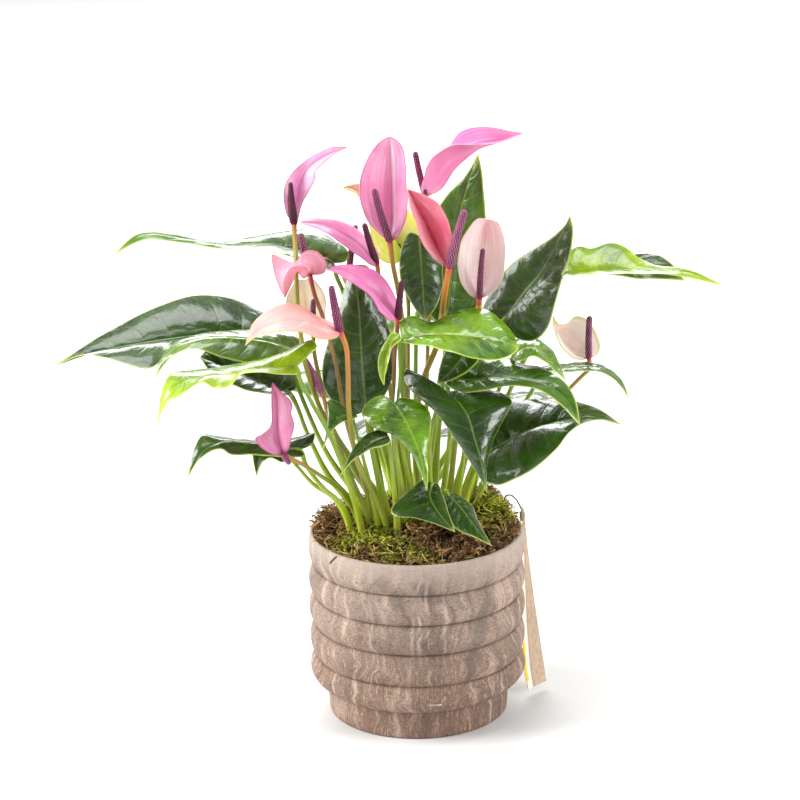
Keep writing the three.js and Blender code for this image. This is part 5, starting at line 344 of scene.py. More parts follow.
class Curve:
    """A centripetal Catmull-Rom curve, read by share of its length."""

    def __init__(self, points, divisions=200):
        self.p = [np.array(q, float) for q in points]
        self.t = np.linspace(0, 1, divisions + 1)
        self.table = np.array([self.at(t) for t in self.t])
        self.length = np.r_[0, np.cumsum(np.linalg.norm(np.diff(self.table, axis=0), axis=1))]
        self.total = float(self.length[-1])

    def at(self, t):
        p = self.p
        n = len(p)
        q = (n - 1) * t
        i = int(math.floor(q))
        w = q - i
        if i >= n - 1:
            i, w = n - 2, 1.0
        p0 = p[i - 1] if i > 0 else 2 * p[0] - p[1]
        p1, p2 = p[i], p[i + 1]
        p3 = p[i + 2] if i + 2 < n else 2 * p[n - 1] - p[n - 2]
        d0, d1, d2 = (float(((a - b) ** 2).sum()) ** 0.25 for a, b in ((p0, p1), (p1, p2), (p2, p3)))
        if d1 < 1e-4:
            d1 = 1.0
        if d0 < 1e-4:
            d0 = d1
        if d2 < 1e-4:
            d2 = d1
        t1 = ((p1 - p0) / d0 - (p2 - p0) / (d0 + d1) + (p2 - p1) / d1) * d1
        t2 = ((p2 - p1) / d1 - (p3 - p1) / (d1 + d2) + (p3 - p2) / d2) * d1
        return p1 + t1 * w + (-3 * p1 + 3 * p2 - 2 * t1 - t2) * w * w + (2 * p1 - 2 * p2 + t1 + t2) * w ** 3

    def many(self, us):
        t = np.interp(np.clip(us, 0, 1) * self.total, self.length, self.t)
        return np.array([self.at(float(x)) for x in t])


def unit(a):
    return a / np.maximum(np.linalg.norm(a, axis=-1, keepdims=True), 1e-9)


# ------------------------------------------------------------------ meshes

class Part:
    """Collects vertices, faces, material numbers and vertex numbers for one mesh."""

    def __init__(self):
        self.v, self.f, self.m, self.n = [], [], [], 0
        self.a = {}

    def add(self, verts, faces, material, **values):
        verts = np.asarray(verts, float)
        self.v.append(verts)
        base = self.n
        self.f += [tuple(int(i) + base for i in f) for f in faces]
        self.m += [material] * len(faces) if np.isscalar(material) else list(material)
        for k, val in values.items():
            self.a.setdefault(k, []).append((base, np.broadcast_to(np.asarray(val, float), (len(verts),)).copy()))
        self.n += len(verts)
        return base

    def make(self, name, materials, smooth=True):
        me = bpy.data.meshes.new(name)
        v = np.vstack(self.v) * MM
        me.from_pydata(v.tolist(), [], self.f)
        for mat in materials:
            me.materials.append(mat)
        me.polygons.foreach_set("material_index", np.array(self.m, np.int32))
        me.polygons.foreach_set("use_smooth", np.full(len(self.f), smooth))
        for k, runs in self.a.items():
            out = np.zeros(len(v), np.float32)
            for base, val in runs:
                out[base:base + len(val)] = val
            me.attributes.new(k, "FLOAT", "POINT").data.foreach_set("value", out)
        me.update()
        me.validate(clean_customdata=False)
        o = bpy.data.objects.new(name, me)
        bpy.context.scene.collection.objects.link(o)
        return o


def grid_faces(rows, cols, start=0, closed=False, flip=False):
    out = []
    for i in range(rows - 1):
        for j in range(cols if closed else cols - 1):
            k = (j + 1) % cols
            a, b, c, d = start + i * cols + j, start + i * cols + k, start + (i + 1) * cols + k, start + (i + 1) * cols + j
            out.append((a, d, c, b) if flip else (a, b, c, d))
    return out


ACROSS = [0, 0.022, 0.05, 0.095, 0.16, 0.24, 0.33, 0.43, 0.53, 0.63, 0.72, 0.80, 0.87, 0.93, 0.975, 1.0]


def blade(part, t, rows, thick, crown=0.07, laterals=9, quilt=0.3, rib=1.2, wave=0.5, seed=0, materials=(0, 1, 2)):
    """A leaf blade or spathe on the same three curves as the construction: a top side, an under side and a rounded rim."""
    mid, right, left = Curve(t["mid"]), Curve(t["right"]), Curve(t["left"])
    x = np.linspace(0, 1, rows + 1)
    u = 0.55 * x + 0.45 * 0.5 * (1 - np.cos(math.pi * x))
    um = u ** 1.35
    e = 0.004
    M = mid.many(um)
    T = unit(mid.many(np.minimum(um + e, 1)) - mid.many(np.maximum(um - e, 0)))
    R, L = right.many(u), left.many(u)
    wr, wl = np.linalg.norm(R - M, axis=1), np.linalg.norm(L - M, axis=1)
    # each side's normal is averaged along the blade, weighted by width
    reach = np.exp(-((u[:, None] - u[None]) / 0.085) ** 2)
    nr, nl = unit(reach @ np.cross(R - M, T)), unit(reach @ np.cross(M - L, T))
    rng = random.Random(seed)
    ph = [rng.uniform(0, 6.28) for _ in range(6)]
    A = np.array(ACROSS)
    span = np.sin(math.pi * np.clip(u, 0, 1)) ** 0.5
    total = mid.total

    def side(E, w, n, sign, k):
        P = M[:, None] + (E - M)[:, None] * A[None, :, None]
        lift = crown * w[:, None] * 4 * (A * (1 - A))[None]
        lat = laterals * (u[:, None] - 0.07 * A[None] ** 2) + 0.25 * k
        shape = (A ** 0.7 * (1 - A) * 2.2)[None] * np.minimum(1, w[:, None] / 12)
        lift = lift - quilt * np.cos(2 * math.pi * lat) * shape
        lift = lift + wave * (A ** 2.5)[None] * span[:, None] * np.minimum(1, w[:, None] / 10) * (
            np.sin(2 * math.pi * 2.3 * u + ph[k])[:, None] * 0.6 + np.sin(2 * math.pi * 5.1 * u + ph[k + 2])[:, None] * 0.4)
        d = w[:, None] * A[None]
        P = P + n[:, None] * lift[..., None]
        return P, lat, d

    Pr, latr, dr = side(R, wr, nr, 1, 0)
    Pl, latl, dl = side(L, wl, nl, -1, 1)
    P = np.concatenate([Pl[:, :0:-1], Pr], axis=1)
    lat = np.concatenate([latl[:, :0:-1], latr], axis=1)
    d = np.concatenate([-dl[:, :0:-1], dr], axis=1)
    s = np.concatenate([-A[:0:-1], A])
    w = np.concatenate([np.repeat(wl[:, None], len(A) - 1, 1), np.repeat(wr[:, None], len(A), 1)], axis=1)
    cols = len(s)
    # normals from the surface itself
    du = np.gradient(P, axis=0)
    ds = np.gradient(P, axis=1)
    N = unit(np.cross(ds, du))
    ref = np.concatenate([np.repeat(nl[:, None], len(A) - 1, 1), np.repeat(nr[:, None], len(A), 1)], axis=1)
    bad = (N * ref).sum(-1) < 0.15
    N[bad] = ref[bad]
    N[0], N[-1] = ref[1], ref[-2]
    fade = (np.sin(math.pi * np.clip(u, 0.0, 1.0)) ** 0.35)[:, None]
    half = 0.5 * thick * (1 - 0.25 * np.abs(s)[None] ** 3) * (0.35 + 0.65 * fade)
    groove = 0.35 * rib * np.exp(-(d / 0.9) ** 2) * (1 - um[:, None]) ** 0.5
    size = rib * ((1 - um[:, None]) ** 0.8 * 0.85 + 0.15)
    ridge = size * np.exp(-(d / (0.85 * size + 0.1)) ** 2) * np.minimum(1, um[:, None] * 30)
    top = P + N * (half - groove)[..., None]
    bot = P - N * (half + ridge)[..., None]
    mar = (1 - np.abs(s))[None] * w
    alo = np.repeat(um[:, None] * total, cols, 1)
    uu = np.repeat(u[:, None], cols, 1)
    ss = np.repeat(s[None], len(u), 0)
    inner = slice(1, rows)
    n = rows - 1
    attr = lambda g: g[inner].reshape(-1)
    common = dict(lat=attr(lat), acr=attr(d), mar=attr(mar), alo=attr(alo), uu=attr(uu), ss=attr(ss))
    first = dict(lat=0.0, acr=0.0, mar=0.0, alo=0.0, uu=0.0, ss=0.0)
    last = dict(lat=float(laterals), acr=0.0, mar=0.0, alo=total, uu=1.0, ss=0.0)
    b0 = part.add(top[inner].reshape(-1, 3), grid_faces(n, cols), materials[0], **common)
    b1 = part.add(bot[inner].reshape(-1, 3), grid_faces(n, cols, flip=True), materials[1], **common)
    # the two ends
    pb = part.add([M[0]], [], 0, **first)
    pt = part.add([M[-1]], [], 0, **last)
    faces, mats = [], []
    for j in range(cols - 1):
        faces.append((pb, b0 + j + 1, b0 + j)); mats.append(materials[0])
        faces.append((pb, b1 + j, b1 + j + 1)); mats.append(materials[1])
        a = (n - 1) * cols
        faces.append((pt, b0 + a + j, b0 + a + j + 1)); mats.append(materials[0])
        faces.append((pt, b1 + a + j + 1, b1 + a + j)); mats.append(materials[1])
    # rim: one rounded strip on each side
    for j, sign in ((0, -1), (cols - 1, 1)):
        out = unit(P[inner, j] - P[inner, j + (1 if j == 0 else -1)])
        edge = P[inner, j] + out * 0.22
        be = part.add(edge, [], 0, lat=attr(lat[:, j:j + 1]), acr=attr(d[:, j:j + 1]), mar=0.0, alo=attr(alo[:, j:j + 1]), uu=attr(uu[:, j:j + 1]), ss=attr(ss[:, j:j + 1]))
        for i in range(n - 1):
            a, b = be + i, be + i + 1
            ta, tb, ba, bb = b0 + i * cols + j, b0 + (i + 1) * cols + j, b1 + i * cols + j, b1 + (i + 1) * cols + j
            if sign > 0:
                faces += [(ta, a, b, tb), (a, ba, bb, b)]
            else:
                faces += [(ta, tb, b, a), (a, b, bb, ba)]
            mats += [materials[2], materials[2]]
        for tip, row, sg in ((pb, 0, 1), (pt, n - 1, -1)):
            a, ta, ba = be + row, b0 + row * cols + j, b1 + row * cols + j
            if sign * sg > 0:
                faces += [(tip, a, ta), (tip, ba, a)]
            else:
                faces += [(tip, ta, a), (tip, a, ba)]
            mats += [materials[2], materials[2]]
    part.f += faces
    part.m += mats
    return mid


def frames(C):
    """Tangents and two turning-free normals along points C."""
    T = unit(np.gradient(C, axis=0))
    a = np.cross(T[0], [0.0, -1.0, 0.0])
    if np.linalg.norm(a) < 0.2:
        a = np.cross(T[0], [1.0, 0.0, 0.0])
    U = [unit(a)]
    for i in range(1, len(C)):
        w = U[-1] - T[i] * float(U[-1] @ T[i])
        U.append(unit(w))
    U = np.array(U)
    return T, U, np.cross(T, U)


def stalk(part, points, radius, material, sides=12, step=3.0, squash=None, twist=0.0, cap=True, **values):
    """A round or flattened stalk along a smooth curve. radius and squash are functions of the distance along, in
    millimetres.
    """
    c = Curve(points, 240)
    n = max(8, int(c.total / step))
    us = np.linspace(0, 1, n + 1)
    C = c.many(us)
    T, U, V = frames(C)
    along = us * c.total
    r = np.array([radius(x, c.total) for x in along])
    q = np.array([squash(x, c.total) if squash else 1.0 for x in along])
    th = np.linspace(0, 2 * math.pi, sides, endpoint=False)
    ring = []
    for i in range(n + 1):
        a = th + twist * us[i]
        ring.append(C[i] + (np.cos(th)[:, None] * (U[i] * math.cos(twist * us[i]) + V[i] * math.sin(twist * us[i]))
                            + np.sin(th)[:, None] * q[i] * (-U[i] * math.sin(twist * us[i]) + V[i] * math.cos(twist * us[i]))) * r[i])
    verts = np.array(ring).reshape(-1, 3)
    al = np.repeat(along, sides)
    an = np.tile(th, n + 1)
    base = part.add(verts, grid_faces(n + 1, sides, closed=True, flip=False), material,
                    alo=al, uu=np.repeat(us, sides), acr=np.cos(an) * 2, ss=np.sin(an), far=c.total - al, **values)
    if cap:
        k = part.add([C[0], C[-1]], [], 0, alo=[0, c.total], uu=[0, 1], acr=0.0, ss=0.0, far=[c.total, 0], **values)
        for j in range(sides):
            a, b = base + j, base + (j + 1) % sides
            part.f.append((k, b, a)); part.m.append(material)
            a, b = base + n * sides + j, base + n * sides + (j + 1) % sides
            part.f.append((k + 1, a, b)); part.m.append(material)
    return c


# ------------------------------------------------------------------ material helpers

class Nodes:
    def __init__(self, name):
        self.mat = bpy.data.materials.new(name)
        self.mat.use_nodes = True
        self.t = self.mat.node_tree
        self.t.nodes.clear()
        self.out = self.t.nodes.new("ShaderNodeOutputMaterial")
        self.b = self.t.nodes.new("ShaderNodeBsdfPrincipled")
        self.t.links.new(self.b.outputs[0], self.out.inputs[0])

    def new(self, kind, **props):
        n = self.t.nodes.new("ShaderNode" + kind)
        for k, val in props.items():
            setattr(n, k, val)
        return n

    def put(self, socket, val):
        if hasattr(val, "is_linked") or isinstance(val, bpy.types.NodeSocket):
            self.t.links.new(val, socket)
        elif isinstance(val, (tuple, list)) and len(val) == 3 and socket.type == "RGBA":
            socket.default_value = (*val, 1.0)
        else:
            socket.default_value = val

    def attr(self, name):
        return self.new("Attribute", attribute_name=name).outputs["Fac"]

    def math(self, op, a, b=None, c=None, clamp=False):
        n = self.new("Math", operation=op, use_clamp=clamp)
        self.put(n.inputs[0], a)
        if b is not None:
            self.put(n.inputs[1], b)
        if c is not None:
            self.put(n.inputs[2], c)
        return n.outputs[0]

    def ramp(self, x, lo, hi, a=0.0, b=1.0, smooth=True):
        """x from lo to hi gives a to b, held beyond."""
        n = self.new("MapRange", interpolation_type="SMOOTHSTEP" if smooth else "LINEAR", clamp=True)
        for i, val in enumerate((x, lo, hi, a, b)):
            self.put(n.inputs[i], val)
        return n.outputs[0]

    def mix(self, fac, a, b, blend="MIX"):
        n = self.new("Mix", data_type="RGBA", blend_type=blend)
        self.put(n.inputs[0], fac)
        self.put(n.inputs[6], a)
        self.put(n.inputs[7], b)
        return n.outputs[2]

    def stops(self, fac, stops):
        n = self.new("ValToRGB")
        r = n.color_ramp
        while len(r.elements) > 1:
            r.elements.remove(r.elements[-1])
        r.elements[0].position, r.elements[0].color = stops[0][0], (*stops[0][1], 1)
        for p, col in stops[1:]:
            el = r.elements.new(p)
            el.color = (*col, 1)
        self.put(n.inputs[0], fac)
        return n.outputs[0]

    def at(self, scale=(1, 1, 1), turn=(0, 0, 0)):
        """Object coordinates, scaled."""
        c = self.new("TexCoord").outputs["Object"]
        n = self.new("Mapping")
        self.put(n.inputs[0], c)
        n.inputs[2].default_value = turn
        n.inputs[3].default_value = scale
        return n.outputs[0]

    def noise(self, vector, scale, detail=3.0, rough=0.5, distortion=0.0, colour=False):
        n = self.new("TexNoise")
        self.put(n.inputs["Vector"], vector)
        n.inputs["Scale"].default_value = scale
        n.inputs["Detail"].default_value = detail
        n.inputs["Roughness"].default_value = rough
        n.inputs["Distortion"].default_value = distortion
        return n.outputs["Color" if colour else 0]

    def combine(self, x, y, z=0.0):
        n = self.new("CombineXYZ")
        for i, val in enumerate((x, y, z)):
            self.put(n.inputs[i], val)
        return n.outputs[0]

    def bump(self, height, strength, distance, normal=None):
        n = self.new("Bump")
        n.inputs["Strength"].default_value = strength
        n.inputs["Distance"].default_value = distance
        self.put(n.inputs["Height"], height)
        if normal is not None:
            self.put(n.inputs["Normal"], normal)
        return n.outputs[0]

    def set(self, **values):
        names = dict(color="Base Color", rough="Roughness", ior="IOR", coat="Coat Weight", coat_rough="Coat Roughness",
                     sheen="Sheen Weight", normal="Normal", spec="Specular IOR Level", sss="Subsurface Weight", metal="Metallic")
        for k, val in values.items():
            self.put(self.b.inputs[names[k]], val)
        return self.mat


def glow(n, color, share):
    """Lets some light through a thin leaf or petal."""
    tr = n.new("BsdfTranslucent")
    n.put(tr.inputs["Color"], color)
    mx = n.new("MixShader")
    mx.inputs[0].default_value = share
    n.t.links.new(n.b.outputs[0], mx.inputs[1])
    n.t.links.new(tr.outputs[0], mx.inputs[2])
    n.t.links.new(mx.outputs[0], n.out.inputs[0])


def veins(n, sharp=0.10):
    """Midrib, lateral and margin-vein factors of a leaf."""
    acr = n.math("ABSOLUTE", n.attr("acr"))
    uu = n.attr("uu")
    width = n.ramp(uu, 0.0, 1.0, 0.95, 0.35, smooth=False)
    midrib = n.math("SUBTRACT", 1.0, n.ramp(n.math("SUBTRACT", acr, width), -0.35, 0.35))
    lat = n.math("PINGPONG", n.math("ADD", n.attr("lat"), n.math("MULTIPLY", n.noise(n.at((1, 1, 1)), 60, 2), 0.10)), 0.5)
    line = n.math("SUBTRACT", 1.0, n.ramp(lat, 0.0, sharp))
    ss = n.math("ABSOLUTE", n.attr("ss"))
    line = n.math("MULTIPLY", line, n.ramp(ss, 0.55, 0.9, 1.0, 0.15))
    collective = n.math("SUBTRACT", 1.0, n.ramp(n.math("ABSOLUTE", n.math("SUBTRACT", ss, 0.9)), 0.0, 0.02))
    return midrib, line, collective, lat


def leaf_top(name, dark, light, vein, margin, rough=0.20, pale=0.11, coat=0.5):
    n = Nodes(name)
    midrib, line, coll, lat = veins(n)
    broad = n.noise(n.at(), 34, 4, 0.55)
    fine = n.noise(n.at(), 420, 5, 0.6)
    # ripples that run out from the midrib with the lateral veins
    ripple = n.noise(n.combine(n.math("MULTIPLY", n.attr("acr"), 0.11), n.math("MULTIPLY", n.attr("lat"), 1.9), n.math("MULTIPLY", n.attr("ss"), 0.3)), 1.0, 3, 0.55, 0.4)
    field = n.ramp(broad, 0.34, 0.66)
    c = n.mix(field, dark, light)
    c = n.mix(n.ramp(ripple, 0.38, 0.70, 0.0, 0.45), c, tuple(1.25 * a for a in light))
    c = n.mix(n.ramp(fine, 0.35, 0.75, 0.0, 0.30), c, tuple(0.6 * a for a in dark))
    c = n.mix(n.math("MULTIPLY", line, pale), c, vein)
    c = n.mix(n.math("MULTIPLY", midrib, 0.55), c, vein)
    # towards its margin and its tip a leaf turns yellower
    edge = n.ramp(n.attr("mar"), 0.30, 1.25, 1.0, 0.0)
    c = n.mix(n.math("MULTIPLY", edge, 0.72), c, margin)
    c = n.mix(n.ramp(n.attr("uu"), 0.90, 1.0, 0.0, 0.5), c, margin)
    r = n.ramp(fine, 0.3, 0.7, rough - 0.05, rough + 0.08)
    h = n.math("ADD", n.math("MULTIPLY", line, -0.22), n.math("MULTIPLY", fine, 0.10))
    h = n.math("ADD", h, n.math("MULTIPLY", ripple, 0.9))
    h = n.math("ADD", h, n.math("MULTIPLY", n.noise(n.at(), 110, 3, 0.5), 0.55))
    glow(n, c, 0.16)
    return n.set(color=c, rough=r, coat=coat, coat_rough=0.07, normal=n.bump(h, 0.62, 0.0013), spec=0.5)


def leaf_under(name, base, vein, margin, rough=0.46):
    n = Nodes(name)
    midrib, line, coll, lat = veins(n, 0.14)
    fine = n.noise(n.at(), 380, 5, 0.6)
    net = n.new("TexVoronoi", feature="DISTANCE_TO_EDGE")
    n.put(net.inputs["Vector"], n.at())
    net.inputs["Scale"].default_value = 330
    c = n.mix(n.ramp(n.noise(n.at(), 45, 4), 0.3, 0.7), base, tuple(a * 1.22 for a in base))
    c = n.mix(n.math("MULTIPLY", n.ramp(net.outputs[0], 0.0, 0.12, 1.0, 0.0), 0.25), c, vein)
    c = n.mix(n.math("MULTIPLY", line, 0.5), c, vein)
    c = n.mix(midrib, c, vein)
    c = n.mix(n.ramp(n.attr("mar"), 0.4, 1.6, 0.9, 0.0), c, margin)
    h = n.math("ADD", n.math("MULTIPLY", line, 0.8), n.math("MULTIPLY", fine, 0.25))
    glow(n, c, 0.15)
    return n.set(color=c, rough=n.ramp(fine, 0.3, 0.7, rough - 0.05, rough + 0.08), normal=n.bump(h, 0.5, 0.0007), spec=0.4)


def rim(name, a, b):
    n = Nodes(name)
    c = n.mix(n.ramp(n.noise(n.at(), 150, 3), 0.35, 0.65), a, b)
    return n.set(color=c, rough=n.ramp(n.noise(n.at(), 500, 3), 0.3, 0.7, 0.3, 0.45))


def stem_look(name, low, middle, high, reach=(40.0, 110.0), rough=0.36, top_mm=0.0, top=None):
    """A stalk's colour: low near the moss, then middle, then high under the leaf; streaked along its length."""
    n = Nodes(name)
    alo = n.attr("alo")
    streak = n.noise(n.combine(n.math("MULTIPLY", n.attr("acr"), 2.2), n.math("MULTIPLY", n.attr("ss"), 4.4), n.math("MULTIPLY", alo, 0.035)), 1.0, 4, 0.6)
    c = n.mix(n.ramp(alo, reach[0] * 0.25, reach[0]), low, middle)
    c = n.mix(n.ramp(alo, reach[0], reach[1]), c, high)
    c = n.mix(n.ramp(streak, 0.44, 0.74, 0.0, 0.55), c, tuple(0.42 * x for x in middle))
    c = n.mix(n.ramp(streak, 0.46, 0.24, 0.0, 0.65), c, tuple(min(1, 1.35 * x) for x in low))
    if top is not None:
        c = n.mix(n.ramp(n.attr("far"), 0.0, top_mm, 1.0, 0.0), c, top)
        c = n.mix(n.ramp(n.attr("far"), 0.0, top_mm * 0.12, 0.75, 0.0), c, (0.52, 0.035, 0.04))
    fine = n.noise(n.at((1, 1, 0.3)), 900, 3, 0.6)
    return n.set(color=c, rough=n.ramp(fine, 0.3, 0.7, rough - 0.06, rough + 0.1), coat=0.15, coat_rough=0.2,
                 normal=n.bump(n.math("ADD", n.math("MULTIPLY", streak, 0.8), n.math("MULTIPLY", fine, 0.3)), 0.4, 0.0005))


def petal(name, base, body, tip, pale, edge, foot, heart=0.5, rough=0.34, through=0.36, highlight_stripe=0.0, edge_mm=1.0, low=None):
    """A spathe's face: foot at the spadix, base, body, tip, a paler middle band and a thin darker margin, with veins
    that run to the tip; the stripe option paints a white highlight beside the midrib.
    """
    n = Nodes(name)
    uu, ss = n.attr("uu"), n.attr("ss")
    a = n.math("ABSOLUTE", ss)
    streak = n.noise(n.combine(n.math("MULTIPLY", ss, 8.0), n.math("MULTIPLY", uu, 1.6), 0.0), 1.0, 4, 0.62, 0.4)
    soft = n.noise(n.at(), 38, 4, 0.55)
    c = n.mix(n.ramp(uu, 0.02, 0.45), base, body)
    c = n.mix(n.ramp(uu, 0.62, 1.0), c, tip)
    c = n.mix(n.math("MULTIPLY", n.ramp(soft, 0.38, 0.68), heart), c, pale)
    c = n.mix(n.ramp(streak, 0.40, 0.74, 0.0, 0.50), c, tuple(0.74 * x for x in body))
    c = n.mix(n.ramp(streak, 0.50, 0.24, 0.0, 0.60), c, pale)
    line = n.math("PINGPONG", n.math("MULTIPLY", a, 4.0), 0.5)
    c = n.mix(n.math("MULTIPLY", n.ramp(line, 0.0, 0.07, 0.22, 0.0), n.ramp(uu, 0.9, 0.5)), c, tuple(0.66 * x for x in body))
    # painted highlight: a near-white band beside the midrib
    if highlight_stripe:
        c = n.mix(n.math("MULTIPLY", n.ramp(n.math("ABSOLUTE", n.math("SUBTRACT", ss, 0.20)), 0.06, 0.24, 1.0, 0.0), highlight_stripe), c, (0.97, 0.93, 0.96))
    if low is not None:
        # the side that the light does not pass through, below the midrib
        c = n.mix(n.math("MULTIPLY", n.ramp(ss, low[0], low[1]), low[3]), c, low[2])
    c = n.mix(n.ramp(n.attr("mar"), 0.2 * edge_mm, 1.0 * edge_mm, 0.75, 0.0), c, edge)
    c = n.mix(n.ramp(n.math("ADD", n.attr("alo"), n.math("MULTIPLY", n.math("ABSOLUTE", n.attr("acr")), 0.6)), 1.0, 7.0, 0.95, 0.0), c, foot)
    fine = n.noise(n.at(), 620, 4, 0.6)
    h = n.math("ADD", n.math("MULTIPLY", streak, 0.8), n.math("MULTIPLY", fine, 0.2))
    glow(n, c, through)
    return n.set(color=c, rough=n.ramp(fine, 0.3, 0.7, rough - 0.05, rough + 0.08), coat=0.18, coat_rough=0.16,
                 normal=n.bump(h, 0.5, 0.0008), spec=0.45)

# ------------------------------------------------------------------ leaf looks

VEIN, MARGIN = (0.36, 0.48, 0.05), (0.52, 0.62, 0.12)
RIM = rim("leaf_margin", (0.42, 0.55, 0.08), (0.60, 0.68, 0.18))
TINTS = {
    "dark": (leaf_top("leaf_top_dark", (0.012, 0.040, 0.004), (0.036, 0.095, 0.008), (0.22, 0.33, 0.05), MARGIN, rough=0.21),
             leaf_under("leaf_under_dark", (0.085, 0.17, 0.015), VEIN, MARGIN)),
    "mid": (leaf_top("leaf_top_mid", (0.024, 0.080, 0.005), (0.075, 0.190, 0.010), VEIN, MARGIN, rough=0.21),
            leaf_under("leaf_under_mid", (0.16, 0.27, 0.03), VEIN, MARGIN)),
    "pale": (leaf_top("leaf_top_pale", (0.050, 0.125, 0.012), (0.160, 0.270, 0.040), (0.45, 0.55, 0.20), MARGIN, rough=0.20, coat=0.8),
             leaf_under("leaf_under_pale", (0.34, 0.44, 0.12), (0.55, 0.62, 0.3), MARGIN)),
    # the bright tint is partly the leaves' own green and partly painted backlight, set yellower to stand for light
    # coming through the blade
    "bright": (leaf_top("leaf_top_bright", (0.032, 0.110, 0.003), (0.190, 0.400, 0.006), (0.40, 0.54, 0.06), (0.50, 0.66, 0.04), rough=0.20, coat=0.8),
               leaf_under("leaf_under_bright", (0.26, 0.44, 0.02), VEIN, MARGIN)),
    "lime": (leaf_top("leaf_top_lime", (0.075, 0.190, 0.003), (0.340, 0.500, 0.006), (0.52, 0.64, 0.06), (0.60, 0.70, 0.06), rough=0.22),
             leaf_under("leaf_under_lime", (0.36, 0.50, 0.015), (0.55, 0.66, 0.08), (0.60, 0.70, 0.10))),
}
PETIOLE = stem_look("petiole", (0.60, 0.66, 0.06), (0.34, 0.45, 0.022), (0.16, 0.28, 0.014), reach=(45, 130))
PEDUNCLE = stem_look("flower_stalk", (0.42, 0.50, 0.05), (0.26, 0.30, 0.018), (0.26, 0.22, 0.02), reach=(60, 150), top_mm=40, top=(0.36, 0.15, 0.025))
PEDUNCLE_RED = stem_look("flower_stalk_rosy", (0.42, 0.50, 0.05), (0.25, 0.26, 0.02), (0.26, 0.13, 0.03), reach=(60, 150), top_mm=60, top=(0.30, 0.05, 0.04))
PEDUNCLE_ORANGE = stem_look("flower_stalk_orange", (0.42, 0.50, 0.05), (0.28, 0.30, 0.018), (0.38, 0.25, 0.02), reach=(60, 150), top_mm=70, top=(0.58, 0.18, 0.03))


def settle(o, node, slot):
    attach(o, "root")
    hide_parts(node)
    return o


RECORD_SLOTS = {s["node"]: s.get("material_slot") or s.get("slot") for s in frame["record"]["subparts"]}

# a few leaves have fuller stalks at the base than the rest
SHEATH = {"leaf_01": 3.6, "leaf_02": 3.4, "leaf_05": 3.8, "leaf_09": 3.8, "leaf_10": 3.6, "leaf_14": 3.4, "leaf_08": 4.2, "leaf_11": 3.6, "leaf_18": 3.4, "leaf_20": 3.4, "leaf_27": 3.6, "leaf_28": 3.6}

for k, (name, t) in enumerate(LEAVES.items()):
    part = Part()
    long = Curve(t["mid"]).total
    small = long < 45
    mid = blade(part, t, 44 if small else 64, 0.55, laterals=6 if small else 9, quilt=0.16 if small else 0.34,
                rib=0.7 if small else 1.15, wave=0.3 if small else 0.6, seed=100 + k)
    joint, ahead = mid.many([0.0])[0], mid.many([0.03])[0]
    arrive = unit(joint - np.array(t["stem"][-2]))
    hangs = float(arrive @ unit(ahead - joint)) < 0.1
    last = joint + arrive * 0.8 if hangs else mid.many([0.07])[0] - 0.4 * np.array([0, 0, 1.0])
    fat = SHEATH.get(name, 2.7)
    thin = 1.25 if small else 1.7

    def radius(x, total, fat=fat, thin=thin):
        end = total - x
        r = thin + (fat - thin) * math.exp(-((max(x - 14, 0)) / 46.0) ** 2)
        r *= 1 - 0.14 * min(1.0, x / max(total, 1))
        r += 0.38 * math.exp(-((end - 9) / 6.0) ** 2)
        return r * (0.35 + 0.65 * min(1.0, end / 4.5))

    stalk(part, list(t["stem"]) + [tuple(last)], radius, 3, sides=12, step=3.0,
          squash=lambda x, total: 0.78 + 0.18 * min(1, x / 90.0), twist=0.7 * math.sin(k * 2.1))
    o = part.make(name + "_grown", [*TINTS[t["tint"]], RIM, PETIOLE])
    settle(o, t["node"], RECORD_SLOTS[t["node"]])

# ------------------------------------------------------------------ flowers

PINK = dict(base=(0.90, 0.42, 0.66), body=(0.88, 0.32, 0.56), tip=(0.80, 0.22, 0.45), pale=(0.97, 0.74, 0.88), edge=(0.60, 0.12, 0.30), foot=(0.62, 0.04, 0.12))
MAGENTA = dict(base=(0.88, 0.36, 0.62), body=(0.80, 0.24, 0.52), tip=(0.70, 0.13, 0.36), pale=(0.94, 0.62, 0.84), edge=(0.52, 0.08, 0.24), foot=(0.50, 0.02, 0.14))
ROSE = dict(base=(0.88, 0.40, 0.46), body=(0.78, 0.16, 0.27), tip=(0.64, 0.07, 0.16), pale=(0.94, 0.60, 0.64), edge=(0.76, 0.36, 0.30), foot=(0.45, 0.015, 0.05))
PALE = dict(base=(0.99, 0.76, 0.82), body=(0.99, 0.81, 0.85), tip=(0.96, 0.66, 0.69), pale=(1.0, 0.96, 0.97), edge=(0.80, 0.66, 0.42), foot=(0.70, 0.06, 0.16))
BLUSHCUP = dict(base=(0.96, 0.64, 0.66), body=(0.97, 0.76, 0.74), tip=(0.92, 0.62, 0.56), pale=(0.99, 0.92, 0.90), edge=(0.56, 0.54, 0.08), foot=(0.72, 0.10, 0.14))
CREAM = dict(base=(0.92, 0.70, 0.50), body=(0.94, 0.82, 0.66), tip=(0.94, 0.84, 0.68), pale=(0.98, 0.92, 0.82), edge=(0.62, 0.52, 0.30), foot=(0.70, 0.30, 0.16))
SALMON = dict(base=(0.90, 0.34, 0.38), body=(0.90, 0.42, 0.40), tip=(0.88, 0.40, 0.38), pale=(0.94, 0.62, 0.58), edge=(0.50, 0.46, 0.10), foot=(0.72, 0.05, 0.18))
CORAL = dict(base=(0.92, 0.40, 0.52), body=(0.93, 0.42, 0.54), tip=(0.90, 0.36, 0.48), pale=(0.98, 0.74, 0.82), edge=(0.66, 0.16, 0.26), foot=(0.60, 0.08, 0.12))
BLUSH = dict(base=(0.84, 0.40, 0.46), body=(0.90, 0.46, 0.53), tip=(0.88, 0.42, 0.49), pale=(0.95, 0.66, 0.70), edge=(0.66, 0.20, 0.26), foot=(0.42, 0.05, 0.08))
